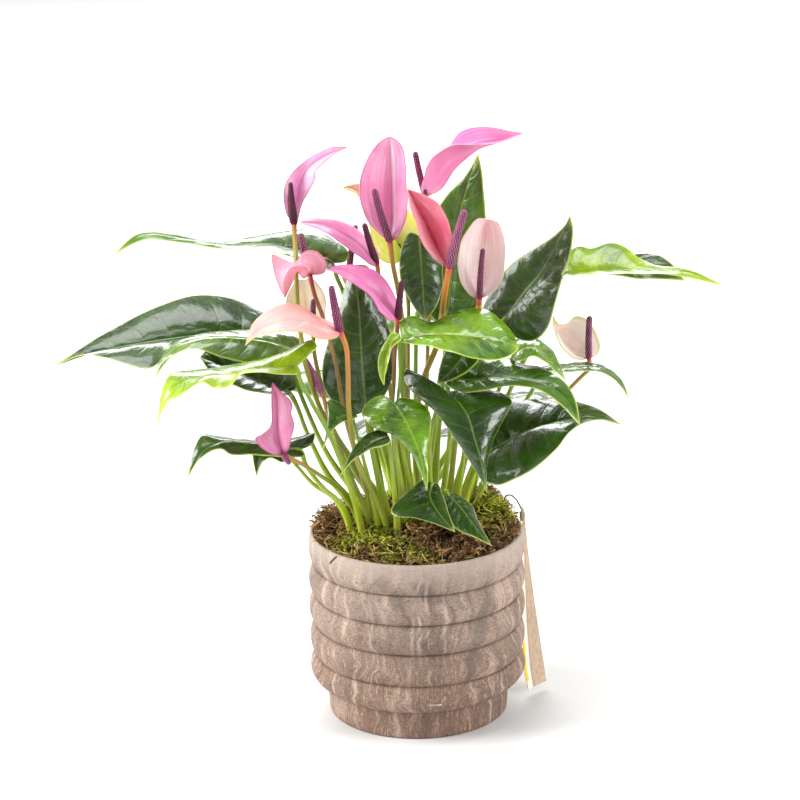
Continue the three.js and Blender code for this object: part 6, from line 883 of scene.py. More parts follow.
OLIVE = dict(base=(0.44, 0.46, 0.04), body=(0.52, 0.50, 0.07), tip=(0.74, 0.52, 0.26), pale=(0.70, 0.66, 0.20), edge=(0.50, 0.48, 0.08), foot=(0.60, 0.20, 0.08))
LIME = dict(base=(0.56, 0.72, 0.03), body=(0.66, 0.78, 0.06), tip=(0.88, 0.34, 0.38), pale=(0.86, 0.88, 0.34), edge=(0.60, 0.70, 0.05), foot=(0.60, 0.40, 0.10))
PEACH = dict(base=(0.58, 0.76, 0.03), body=(0.74, 0.76, 0.12), tip=(0.86, 0.22, 0.34), pale=(0.93, 0.68, 0.42), edge=(0.56, 0.70, 0.05), foot=(0.66, 0.62, 0.08))


def shade(spec, f):
    return {k: tuple(min(1.0, x * f) for x in c) for k, c in spec.items()}


FLOWER_LOOKS = {
    "flower_01": (dict(PINK, base=(0.95, 0.62, 0.84), body=(0.93, 0.50, 0.76), tip=(0.84, 0.28, 0.50), pale=(0.99, 0.90, 0.97)), dict(PINK, body=(0.90, 0.46, 0.70)), dict(heart=0.8, through=0.32)),
    # flower_02 carries a painted white highlight stripe
    "flower_02": (PINK, shade(PINK, 0.95), dict(heart=0.5, highlight_stripe=0.95, through=0.30)),
    "flower_03": (dict(PINK, base=(0.92, 0.46, 0.66), body=(0.76, 0.18, 0.42), tip=(0.70, 0.12, 0.33), pale=(0.88, 0.46, 0.68)), dict(PINK, body=(0.82, 0.24, 0.50), pale=(0.92, 0.56, 0.74)), dict(heart=0.35, through=0.28)),
    "flower_04": (ROSE, dict(ROSE, body=(0.86, 0.42, 0.44), tip=(0.78, 0.28, 0.34), base=(0.88, 0.50, 0.42)), dict(heart=0.35, low=(-0.05, -0.6, (0.93, 0.52, 0.58), 0.85))),
    "flower_05": (PALE, dict(PALE, body=(0.88, 0.70, 0.56)), dict(heart=0.85, through=0.46)),
    "flower_06": (BLUSHCUP, OLIVE, dict(heart=0.7, edge_mm=3.2, through=0.08)),
    "flower_07": (MAGENTA, dict(MAGENTA, body=(0.78, 0.24, 0.52)), dict(heart=0.45)),
    "flower_08": (MAGENTA, dict(MAGENTA, body=(0.84, 0.30, 0.60)), dict(heart=0.5)),
    "flower_09": (CORAL, shade(CORAL, 0.97), dict(heart=0.55, through=0.40)),
    "flower_10": (SALMON, dict(SALMON, body=(0.72, 0.60, 0.24), base=(0.62, 0.50, 0.10)), dict(heart=0.45, through=0.24, edge_mm=1.6)),
    "flower_11": (CREAM, CREAM, dict(heart=0.5, through=0.5)),
    "flower_12": (dict(MAGENTA, base=(0.78, 0.26, 0.50), body=(0.80, 0.28, 0.50), pale=(0.92, 0.60, 0.78)), dict(MAGENTA, body=(0.78, 0.26, 0.50)), dict(heart=0.5)),
    "flower_14": (PEACH, LIME, dict(heart=0.5, through=0.16)),
    "flower_15": (BLUSH, BLUSH, dict(heart=0.4)),
}


def spadix_look(name, low, high, foot):
    n = Nodes(name)
    k = n.attr("knob")
    # colour follows floret height: the paler tops are the florets' own colour, the near-black grooves between them are
    # painted shade
    c = n.mix(n.ramp(k, 0.42, 0.92), low, high)
    c = n.mix(n.ramp(n.noise(n.at(), 160, 3), 0.35, 0.7, 0.0, 0.4), c, tuple(0.6 * x for x in low))
    c = n.mix(n.ramp(n.attr("uu"), 0.0, 0.10, 0.9, 0.0), c, foot)
    fine = n.noise(n.at(), 1500, 2, 0.6)
    return n.set(color=c, rough=n.ramp(fine, 0.3, 0.7, 0.36, 0.5), normal=n.bump(fine, 0.3, 0.0002), spec=0.45)


SPADIX = spadix_look("spadix_purple", (0.036, 0.001, 0.016), (0.42, 0.085, 0.210), (0.34, 0.01, 0.05))
SPADIX_ROSY = spadix_look("spadix_mauve", (0.060, 0.003, 0.028), (0.56, 0.17, 0.32), (0.42, 0.01, 0.05))
SPADIX_DARK = spadix_look("spadix_maroon", (0.060, 0.004, 0.022), (0.115, 0.010, 0.045), (0.34, 0.01, 0.05))
PETAL_RIM = {}


def spadix(part, a, b, r0, r1, material, around=8, pitch=2.1, swell=1.0):
    """A tapered club covered in rounded florets that stand on a diagonal lattice."""
    a, b = np.array(a, float), np.array(b, float)
    total = float(np.linalg.norm(b - a))
    bow = 0.012 * total
    C0, side = a, unit(np.cross(b - a, [0, 1.0, 0.2]))
    around -= around % 2
    na, nz = around * 6, max(30, int(total / pitch * 6))
    us = np.linspace(0, 1, nz + 1)
    th = np.linspace(0, 2 * math.pi, na, endpoint=False)
    T = unit(b - a)
    U = unit(np.cross(T, [0.1, 1.0, 0.1]))
    V = np.cross(T, U)
    z = us * total
    # outline: narrow foot, full lower third, even taper, blunt round tip
    r = np.interp(us, [0, 0.04, 0.12, 0.25, 0.6, 0.9, 1.0], [0.72 * r0, 0.93 * r0, r0, r0, (r0 + r1) / 2, r1, r1 * 0.92])
    end = np.clip((total - z) / (r1 * 1.2), 0, 1)
    r = r * np.sqrt(1 - (1 - end) ** 2)
    p = around / 2 * th[None] + math.pi * z[:, None] / pitch / 2
    q = around / 2 * th[None] - math.pi * z[:, None] / pitch / 2
    k = np.abs(np.cos(p) * np.cos(q)) ** 0.55
    size = 0.42 * swell * np.minimum(1, r / 1.2)[:, None]
    rr = r[:, None] * swell - 0.6 * size + size * k
    C = a + (b - a) * us[:, None] + side * (bow * np.sin(math.pi * us))[:, None]
    P = C[:, None] + (U[None, None] * np.cos(th)[None, :, None] + V[None, None] * np.sin(th)[None, :, None]) * np.maximum(rr, 0.02)[..., None]
    base = part.add(P.reshape(-1, 3), grid_faces(nz + 1, na, closed=True), material,
                    knob=k.reshape(-1), uu=np.repeat(us, na), ss=np.tile(np.sin(th), nz + 1), alo=np.repeat(z, na))
    c0 = part.add([a - T * 0.3, b], [], 0, knob=[0, 0.5], uu=[0, 1])
    for j in range(na):
        x, y = base + j, base + (j + 1) % na
        part.f.append((c0, y, x)); part.m.append(material)
        x, y = base + nz * na + j, base + nz * na + (j + 1) % na
        part.f.append((c0 + 1, x, y)); part.m.append(material)


for k, (name, t) in enumerate(FLOWERS.items()):
    front, back, opts = FLOWER_LOOKS[name]
    opts = dict(opts)
    part = Part()
    blade(part, t, 56, 0.55, laterals=5, quilt=0.10, rib=0.75, wave=0.35, seed=300 + k)
    top = petal(name + "_face", **front, **opts)
    opts.pop("highlight_stripe", None)
    under = petal(name + "_back", **back, **dict(opts, heart=opts.get("heart", 0.5) * 0.6, rough=0.4))
    key = str(front["edge"])
    if key not in PETAL_RIM:
        PETAL_RIM[key] = rim("petal_margin_%02d" % len(PETAL_RIM), front["edge"], front["body"])
    o = part.make(name + "_spathe_sheet", [top, under, PETAL_RIM[key]])
    settle(o, name + "_spathe", RECORD_SLOTS[name + "_spathe"])
    # stalk and spadix
    part = Part()
    wide = {"flower_04": 2.25, "flower_10": 1.9, "flower_02": 1.85, "flower_01": 1.85, "flower_05": 1.9}.get(name, 1.6)

    def radius(x, total, wide=wide):
        end = total - x
        r = wide * (1.0 + 0.35 * math.exp(-(max(x - 10, 0) / 40.0) ** 2)) * (1 - 0.12 * x / max(total, 1))
        return r + 0.35 * math.exp(-((end - 2.0) / 3.0) ** 2)

    a, b = (np.array(q, float) for q in t["spadix"])
    into = a + unit(b - a) * 1.0
    stalk(part, list(t["stem"]) + [tuple(into)], radius, 0, sides=12, step=3.0, twist=0.5)
    o = part.make(name + "_stalk", [{"flower_04": PEDUNCLE_ORANGE, "flower_10": PEDUNCLE_ORANGE, "flower_09": PEDUNCLE_RED, "flower_05": PEDUNCLE_ORANGE, "flower_08": PEDUNCLE_RED}.get(name, PEDUNCLE)])
    settle(o, name + "_stem_spadix", "flower_stem")
    part = Part()
    r0, r1 = t["radius"]
    spadix(part, t["spadix"][0], t["spadix"][1], r0, r1, 0, around=10 if r0 > 2.7 else 8)
    o = part.make(name + "_spadix", [SPADIX_ROSY if name in ("flower_04", "flower_06") else SPADIX_DARK if name in ("flower_01", "flower_07", "flower_08", "flower_14") else SPADIX])
    settle(o, name + "_stem_spadix", "flower_stem")

# the bud: a spathe still rolled round its spadix, with one spiral seam
part = Part()
stalk(part, BUD["stem"], lambda x, total: 1.45 + 0.5 * math.exp(-(x / 40.0) ** 2), 0, sides=12, step=3.0)
o = part.make("flower_13_stalk", [PEDUNCLE])
settle(o, "flower_13_bud", "flower_stem")
n = Nodes("bud_roll")
c = n.mix(n.ramp(n.attr("uu"), 0.0, 0.9), (0.20, 0.03, 0.09), (0.13, 0.02, 0.07))
c = n.mix(n.ramp(n.noise(n.combine(n.attr("ss"), n.math("MULTIPLY", n.attr("alo"), 0.05)), 6.0, 3), 0.4, 0.7, 0.0, 0.6), c, (0.42, 0.12, 0.22))
c = n.mix(n.ramp(n.attr("uu"), 0.0, 0.16, 0.8, 0.0), c, (0.40, 0.30, 0.08))
fine = n.noise(n.at(), 800, 3)
BUDROLL = n.set(color=c, rough=n.ramp(fine, 0.3, 0.7, 0.34, 0.46), normal=n.bump(fine, 0.3, 0.0003))
part = Part()
a, b = np.array(BUD["base"], float), np.array(BUD["tip"], float)
total = float(np.linalg.norm(b - a))
T = unit(b - a); U = unit(np.cross(T, [0.1, 1.0, 0.1])); V = np.cross(T, U)
nz, na = 60, 36
us, th = np.linspace(0, 1, nz + 1), np.linspace(0, 2 * math.pi, na, endpoint=False)
P = []
for i, x in enumerate(us):
    r = float(np.interp(x, [0, 0.06, 0.25, 0.55, 0.85, 1.0], [1.3, 2.0, 2.6, 2.35, 1.4, 0.35]))
    seam = (th + 2.4 * math.pi * x * 0.5) % (2 * math.pi) / (2 * math.pi)
    rr = r * (0.93 + 0.11 * seam)
    P.append(a + T * total * x + U * 0 + (U * np.cos(th)[:, None] + V * np.sin(th)[:, None]) * rr[:, None] + V * 0.8 * math.sin(math.pi * x))
base = part.add(np.array(P).reshape(-1, 3), grid_faces(nz + 1, na, closed=True), 0,
                uu=np.repeat(us, na), alo=np.repeat(us * total, na), ss=np.tile(np.sin(th), nz + 1))
c0 = part.add([a - T * 0.2, b + T * 0.6], [], 0, uu=[0, 1])
for j in range(na):
    part.f.append((c0, base + (j + 1) % na, base + j)); part.m.append(0)
    part.f.append((c0 + 1, base + nz * na + j, base + nz * na + (j + 1) % na)); part.m.append(0)
o = part.make("flower_13_roll", [BUDROLL])
settle(o, "flower_13_bud", "spathe_rose")

# ------------------------------------------------------------------ pot

POT_HEIGHT, FOOT_RADIUS, RING_RADIUS, GROOVE_RADIUS, MOUTH_RADIUS, INNER, FLOOR = 133, 63, 76, 72.2, 74.5, 72, 8
RING_EDGES = [21, 43.2, 66.3, 88, 110, 133]
SOIL_TOP, MOSS_RIM, MOSS_TOP = 122, 131, 143

profile = [(0.0, 0.0, 0), (FOOT_RADIUS - 6, 0, 0), (FOOT_RADIUS - 1.4, 0, 0), (FOOT_RADIUS - 0.4, 0.4, 0.2), (FOOT_RADIUS, 1.4, 0.1)]
for f in np.linspace(0.12, 0.95, 8):
    profile.append((FOOT_RADIUS + 1.2 * f, 1.4 + (RING_EDGES[0] - 2.2) * f, 0.25 * max(0, f - 0.6)))
profile.append((FOOT_RADIUS + 1.4, RING_EDGES[0] - 0.6, 0.8))
for i in range(5):
    z0, z1 = RING_EDGES[i], RING_EDGES[i + 1]
    low = FOOT_RADIUS + 3 if i == 0 else GROOVE_RADIUS
    high = MOUTH_RADIUS if i == 4 else GROOVE_RADIUS
    steps = [0, 0.012, 0.04, 0.08, 0.13, 0.2, 0.28, 0.36, 0.44, 0.5, 0.56, 0.64, 0.72, 0.8, 0.87, 0.92, 0.96, 0.988]
    for f in steps:
        if i == 4 and f > 0.955:
            continue
        s = math.sin(math.pi * min(0.5, f)) ** 0.8
        e = math.sin(math.pi * min(0.5, 1 - f)) ** 0.8
        r = low + (RING_RADIUS - low) * s if f < 0.5 else high + (RING_RADIUS - high) * e
        g = math.exp(-(min(f, 1 - f) / 0.035) ** 2) if not (i == 4 and f > 0.5) else 0.0
        profile.append((r, z0 + (z1 - z0) * f, g))
profile += [(MOUTH_RADIUS + 0.1, POT_HEIGHT - 1.0, 0), (MOUTH_RADIUS - 0.3, POT_HEIGHT - 0.3, 0), (MOUTH_RADIUS - 0.9, POT_HEIGHT, 0), (INNER + 0.8, POT_HEIGHT, 0),
            (INNER + 0.25, POT_HEIGHT - 0.35, 0), (INNER, POT_HEIGHT - 1.1, 0.2), (71.6, 126, 0.5), (68, 112, 0.8), (66, 96, 1), (63, 40, 1), (57, 18, 1), (56, FLOOR, 1), (0.0, FLOOR, 1)]
SEG = 200
part = Part()
rings = [p for p in profile if p[0] > 0]
verts, groove = [], []
for r, z, g in rings:
    for j in range(SEG):
        a = 2 * math.pi * j / SEG
        x, y = math.cos(a), math.sin(a)
        w = noise.noise(Vector((x * 2.1, y * 2.1, z * 0.03))) * 0.45 + noise.noise(Vector((x * 9, y * 9, z * 0.12))) * 0.13
        w *= 1.0 if 3 < z < POT_HEIGHT - 2 and r > INNER else 0.0
        verts.append((x * (r + w), y * (r + w), z))
        groove.append(g)
base = part.add(verts, grid_faces(len(rings), SEG, closed=True), 0, groove=groove)
ends = part.add([(0, 0, 0), (0, 0, FLOOR)], [], 0, groove=[0, 1])
for j in range(SEG):
    k = (j + 1) % SEG
    part.f.append((ends, base + k, base + j)); part.m.append(0)
    q = base + (len(rings) - 1) * SEG
    part.f.append((ends + 1, q + j, q + k)); part.m.append(0)


def stone():
    """Weathered stoneware: taupe with paler upright streaks, a fine wavy grain, dark smudges and painted shade in the
    grooves, under the lowest ring and inside the wall.
    """
    n = Nodes("pot_stoneware")
    o = n.at()
    xyz = n.new("SeparateXYZ")
    n.put(xyz.inputs[0], o)
    x, y, z = xyz.outputs
    # the angle round the pot, as a length, so that streaks and grain run up and down
    turn = n.math("MULTIPLY", n.math("ARCTAN2", x, n.math("MULTIPLY", y, -1.0)), 0.075)
    flow = n.math("MULTIPLY", n.math("SUBTRACT", n.noise(n.combine(n.math("MULTIPLY", turn, 22.0), n.math("MULTIPLY", z, 30.0), 2.0), 1.0, 3, 0.5), 0.5), 0.030)
    bent = n.math("ADD", turn, flow)
    streak = n.noise(n.combine(n.math("MULTIPLY", bent, 130.0), n.math("MULTIPLY", z, 15.0), 0.0), 1.0, 4, 0.6)
    thin = n.noise(n.combine(n.math("MULTIPLY", bent, 260.0), n.math("MULTIPLY", z, 24.0), 5.0), 1.0, 4, 0.6)
    grain = n.noise(n.combine(n.math("MULTIPLY", bent, 560.0), n.math("MULTIPLY", z, 620.0), 9.0), 1.0, 4, 0.65, 1.6)
    weave = n.math("SINE", n.math("MULTIPLY", n.math("ADD", z, n.math("ADD", n.math("MULTIPLY", n.noise(o, 210, 3, 0.55), 0.008), n.math("MULTIPLY", turn, 0.25))), 3600.0))
    blotch = n.noise(n.at((1, 1, 0.9)), 24, 3, 0.5)
    c = n.mix(n.ramp(z, 0.010, 0.120), (0.210, 0.128, 0.090), (0.300, 0.225, 0.180))
    c = n.mix(n.ramp(blotch, 0.50, 0.70, 0.0, 0.55), c, (0.120, 0.084, 0.065))
    c = n.mix(n.ramp(blotch, 0.46, 0.28, 0.0, 0.55), c, (0.480, 0.370, 0.300))
    c = n.mix(n.ramp(streak, 0.52, 0.68, 0.0, 0.75), c, (0.560, 0.410, 0.320))
    c = n.mix(n.ramp(streak, 0.47, 0.32, 0.0, 0.60), c, (0.125, 0.082, 0.060))
    low = n.ramp(z, 0.100, 0.050)
    c = n.mix(n.math("MULTIPLY", n.ramp(n.math("ABSOLUTE", n.math("SUBTRACT", thin, 0.52)), 0.0, 0.018, 0.75, 0.0), n.math("ADD", n.math("MULTIPLY", low, 0.65), 0.20)), c, (0.640, 0.450, 0.320))
    c = n.mix(n.ramp(grain, 0.49, 0.66, 0.0, 0.68), c, (0.085, 0.055, 0.042))
    c = n.mix(n.ramp(grain, 0.46, 0.28, 0.0, 0.40), c, (0.520, 0.400, 0.320))
    c = n.mix(n.math("MULTIPLY", n.ramp(weave, 0.0, 1.0), 0.22), c, (0.090, 0.060, 0.045))

    def near(p, q, inner, outer, wobble=0.0):
        """1 within inner millimetres of the line from p to q, falling to 0 at outer."""
        p, q = Vector(p) * MM, Vector(q) * MM
        d = q - p
        rel = n.new("VectorMath", operation="SUBTRACT")
        n.put(rel.inputs[0], o)
        rel.inputs[1].default_value = p
        dot = n.new("VectorMath", operation="DOT_PRODUCT")
        n.put(dot.inputs[0], rel.outputs[0])
        dot.inputs[1].default_value = d / d.length_squared
        along = n.math("MULTIPLY", dot.outputs["Value"], 1.0, clamp=True)
        on = n.new("VectorMath", operation="SCALE")
        on.inputs[0].default_value = d
        n.put(on.inputs["Scale"], along)
        gap = n.new("VectorMath", operation="DISTANCE")
        n.put(gap.inputs[0], rel.outputs[0])
        n.put(gap.inputs[1], on.outputs[0])
        far = gap.outputs["Value"]
        if wobble:
            far = n.math("ADD", far, n.math("MULTIPLY", n.math("SUBTRACT", n.noise(o, 70, 3, 0.6), 0.5), wobble * MM))
        return n.ramp(far, outer * MM, inner * MM, 0.0, 1.0)
    # dark smudges right of the middle and on the upper rings
    for p, q, inner, outer, much in (((45.4, -60.3, 93.2), (35.3, -66.8, 47.1), 2.5, 8.0, 0.55), ((0.3, -75.5, 119.0), (12.4, -74.5, 108.2), 2.0, 8.0, 0.55), ((-22.8, -72.0, 118.1), (-12.1, -74.5, 105.7), 1.5, 7.0, 0.45), ((-70.0, 30.0, 50.0), (-62.0, 42.0, 90.0), 2.0, 9.0, 0.5), ((40.0, 64.0, 95.0), (20.0, 72.0, 60.0), 2.0, 10.0, 0.5)):
        c = n.mix(n.math("MULTIPLY", near(p, q, inner, outer, 14.0), much), c, (0.105, 0.080, 0.066))
    # a group of dry pale streaks down the middle of the front
    for u, wide, much in ((0.0010, 0.0030, 0.80), (-0.0040, 0.0024, 0.55), (0.0062, 0.0022, 0.50), (-0.0330, 0.0030, 0.40), (0.0185, 0.0026, 0.35)):
        line = n.math("ABSOLUTE", n.math("SUBTRACT", n.math("ADD", turn, n.math("MULTIPLY", flow, 0.12)), u))
        c = n.mix(n.math("MULTIPLY", n.math("MULTIPLY", n.ramp(line, wide, 0.0, 0.0, much), n.math("MULTIPLY", n.ramp(z, 0.055, 0.085), n.ramp(z, 0.132, 0.108, 0.35, 1.0))), n.ramp(thin, 0.40, 0.62)), c, (0.640, 0.520, 0.440))
    # the top ring is greyer and paler towards the rim
    c = n.mix(n.ramp(z, 0.112, 0.1335, 0.0, 0.50), c, (0.480, 0.405, 0.350))
    # painted shade: the groove attribute darkens the creases between the rings, under the lowest ring and inside the
    # pot
    groove_shade = n.math("MULTIPLY", n.attr("groove"), n.ramp(n.noise(o, 60, 3), 0.25, 0.7, 0.45, 0.85))
    c = n.mix(groove_shade, c, (0.050, 0.032, 0.024))
    speck = n.new("TexVoronoi", feature="F1")
    n.put(speck.inputs["Vector"], o)
    speck.inputs["Scale"].default_value = 520
    c = n.mix(n.ramp(speck.outputs["Distance"], 0.10, 0.22, 0.30, 0.0), c, (0.130, 0.100, 0.080))
    # a short crack below the rim at the left, and a pale scratch low on the front
    crack = near((-59.5, -46.5, 125.5), (-54.4, -51.9, 133.3), 0.45, 1.0)
    scratch = near((7.4, -75.1, 31.1), (15.0, -74.0, 30.8), 0.25, 0.75)
    c = n.mix(n.math("MULTIPLY", crack, 0.95), c, (0.030, 0.018, 0.012))
    c = n.mix(n.math("MULTIPLY", scratch, 0.85), c, (0.90, 0.85, 0.80))
    h = n.math("ADD", n.math("MULTIPLY", grain, 0.7), n.math("MULTIPLY", weave, 0.12))
    h = n.math("ADD", h, n.math("MULTIPLY", n.noise(o, 700, 3, 0.6), 0.35))
    h = n.math("SUBTRACT", h, n.math("MULTIPLY", crack, 3.0))
    return n.set(color=c, rough=n.ramp(grain, 0.3, 0.7, 0.62, 0.82), normal=n.bump(h, 0.55, 0.0005), spec=0.28)


o = part.make("pot_shell", [stone()])
settle(o, "pot", "pot")

# ------------------------------------------------------------------ soil and moss

n = Nodes("potting_mix")
g1, g2 = n.noise(n.at(), 260, 6, 0.7), n.noise(n.at(), 70, 3)
c = n.stops(g1, [(0.30, (0.010, 0.006, 0.004)), (0.55, (0.045, 0.028, 0.018)), (0.75, (0.11, 0.075, 0.045))])
SOIL = n.set(color=c, rough=n.ramp(g2, 0.3, 0.7, 0.85, 0.98), normal=n.bump(g1, 0.9, 0.002))
soil = frame["nodes"]["potting_soil"]
soil.data.materials.clear()
soil.data.materials.append(SOIL)


HEAPS = [(50, 30, 15, 20, 14), (62, 12, 10, 15, 7), (-62, 6, 13, 22, 8)]


def ground(x, y):
    """The moss's surface in millimetres: a low mound with clumps and three heaps."""
    r = math.hypot(x, y) / INNER
    z = MOSS_RIM + (MOSS_TOP - MOSS_RIM) * (1 - min(1, r) ** 2.2)
    k = min(1, max(0, (z - MOSS_RIM + 1) / 5))
    z += k * (1.1 * math.sin(x * 0.23 + 1.0) * math.cos(y * 0.19) + 0.7 * math.sin(x * 0.41 - y * 0.37))
    lump = noise.noise(Vector((x * 0.06, y * 0.06, 3.1))) * 4.6 + noise.noise(Vector((x * 0.15, y * 0.15, 7.7))) * 4.2
    heap = sum(up * math.exp(-(((x - cx) / wx) ** 2) - ((y - cy) / wy) ** 2) for cx, cy, wx, wy, up in HEAPS)
    wall = min(1, (1 - min(1, r)) * 9 + 0.3)
    return z + heap * wall + lump * min(1, (1 - min(1, r)) * 6 + 0.2)


def green_share(x, y):
    """0 where the moss is brown fibre, 1 where it is green."""
    v = 0.42 + 0.55 * noise.noise(Vector((x * 0.045, y * 0.045, 11.0)))
    v += 0.50 * math.exp(-(((x + 30) / 26) ** 2 + ((y + 34) / 24) ** 2))
    v += 0.55 * math.exp(-(((x - 46) / 18) ** 2 + ((y - 8) / 22) ** 2))
    v -= 0.50 * math.exp(-(((x + 60) / 13) ** 2 + ((y + 14) / 26) ** 2))
    v -= 0.55 * math.exp(-(((x - 26) / 24) ** 2 + ((y + 46) / 20) ** 2))
    v -= 0.35 * math.exp(-(((x - 58) / 10) ** 2 + ((y + 14) / 18) ** 2))
    return v


part = Part()
NR, NA = 46, 150
verts = [(0, 0, ground(0, 0))]
tone = [green_share(0, 0)]
for i in range(1, NR + 1):
    r = (INNER - 0.35) * i / NR
    for j in range(NA):
        a = 2 * math.pi * j / NA
        x, y = r * math.cos(a), r * math.sin(a)
        w = noise.noise(Vector((x * 0.5, y * 0.5, 0.0))) * 1.2 + noise.noise(Vector((x * 1.3, y * 1.3, 5.0))) * 0.6
        verts.append((x, y, ground(x, y) - 1.2 + w))
        tone.append(green_share(x, y))
faces = [(0, 1 + j, 1 + (j + 1) % NA) for j in range(NA)]
faces += [(1 + i * NA + j, 1 + (i + 1) * NA + j, 1 + (i + 1) * NA + (j + 1) % NA, 1 + i * NA + (j + 1) % NA) for i in range(NR - 1) for j in range(NA)]
low = len(verts)
for j in range(NA):
    a = 2 * math.pi * j / NA
    verts.append(((INNER - 2.2) * math.cos(a), (INNER - 2.2) * math.sin(a), SOIL_TOP + 0.3))
    tone.append(0.0)
verts.append((0, 0, SOIL_TOP + 0.3)); tone.append(0.0)
e = 1 + (NR - 1) * NA
faces += [(e + j, low + j, low + (j + 1) % NA, e + (j + 1) % NA) for j in range(NA)]
faces += [(low + NA, low + (j + 1) % NA, low + j) for j in range(NA)]
part.add(verts, faces, 0, tone=tone)


def moss_look(name, brown, green, dark):
    n = Nodes(name)
    tone = n.attr("tone")
    f1, f2 = n.noise(n.at(), 330, 5, 0.65), n.noise(n.at(), 90, 3)
    share = n.ramp(n.math("ADD", tone, n.math("MULTIPLY", n.math("SUBTRACT", f2, 0.5), 0.7)), 0.30, 0.72)
    b = n.stops(f1, [(0.30, tuple(0.25 * v for v in brown)), (0.50, brown), (0.68, tuple(min(1, 2.1 * v) for v in brown))])
    g = n.stops(f1, [(0.30, tuple(0.28 * v for v in green)), (0.50, green), (0.68, tuple(min(1, 1.7 * v) for v in green))])
    c = n.mix(share, b, g)
    if dark < 0.1:
        lit = n.new("Mix", data_type="RGBA", blend_type="MULTIPLY")
        lit.inputs["Factor"].default_value = 1.0
        n.put(lit.inputs[6], c)
        n.put(lit.inputs[7], n.attr("lit"))
        c = lit.outputs[2]
        glow(n, c, 0.18)
    return n.set(color=c, rough=n.ramp(f1, 0.3, 0.7, 0.70, 0.92), normal=n.bump(f1, 0.8, 0.0012), spec=0.2)


# painted shade: the bed's colours are far darker than the strands' and stand for the shade in the gaps between them
BED = moss_look("moss_bed", (0.030, 0.016, 0.008), (0.050, 0.055, 0.008), 0.2)
FROND = moss_look("moss_frond", (0.380, 0.210, 0.090), (0.500, 0.540, 0.050), 0.0)
FIBRE = moss_look("moss_fibre", (0.440, 0.250, 0.120), (0.580, 0.520, 0.110), 0.0)
o = part.make("moss_bed", [BED])
settle(o, "moss", "moss")

rng = random.Random(41)


def tube(verts, faces, tones, pts, radii, tone):
    """A thin three-sided strand through pts that ends in a point."""
    base = len(verts)
    n = len(pts)
    for i in range(n - 1):
        d = (pts[min(i + 1, n - 1)] - pts[max(i - 1, 0)]).normalized()
        u = d.cross(Vector((0.31, 0.53, 0.79))).normalized()
        v = d.cross(u)
        for j in range(3):
            a = 2 * math.pi * j / 3
            verts.append(pts[i] + (u * math.cos(a) + v * math.sin(a)) * radii[i])
            tones.append(tone)
    verts.append(pts[-1]); tones.append(tone)
    for i in range(n - 2):
        for j in range(3):
            k = (j + 1) % 3
            faces.append((base + i * 3 + j, base + i * 3 + k, base + (i + 1) * 3 + k, base + (i + 1) * 3 + j))
    tip = base + (n - 1) * 3
    for j in range(3):
        faces.append((base + (n - 2) * 3 + j, base + (n - 2) * 3 + (j + 1) % 3, tip))
    faces.append((base + 2, base + 1, base))


def leaflet(verts, faces, tones, p, d, side, size, tone):
    """A pointed moss leaflet: a thin four-sided spike."""
    base = len(verts)
    nrm = d.cross(side).normalized()
    for q in (p - side * size * 0.16, p + side * size * 0.16, p + nrm * size * 0.12, p + (d * 0.75 + side * 0.10 + nrm * 0.35) * size):
        verts.append(q); tones.append(tone)
    faces.extend([(base, base + 2, base + 1), (base, base + 1, base + 3), (base + 1, base + 2, base + 3), (base + 2, base, base + 3)])


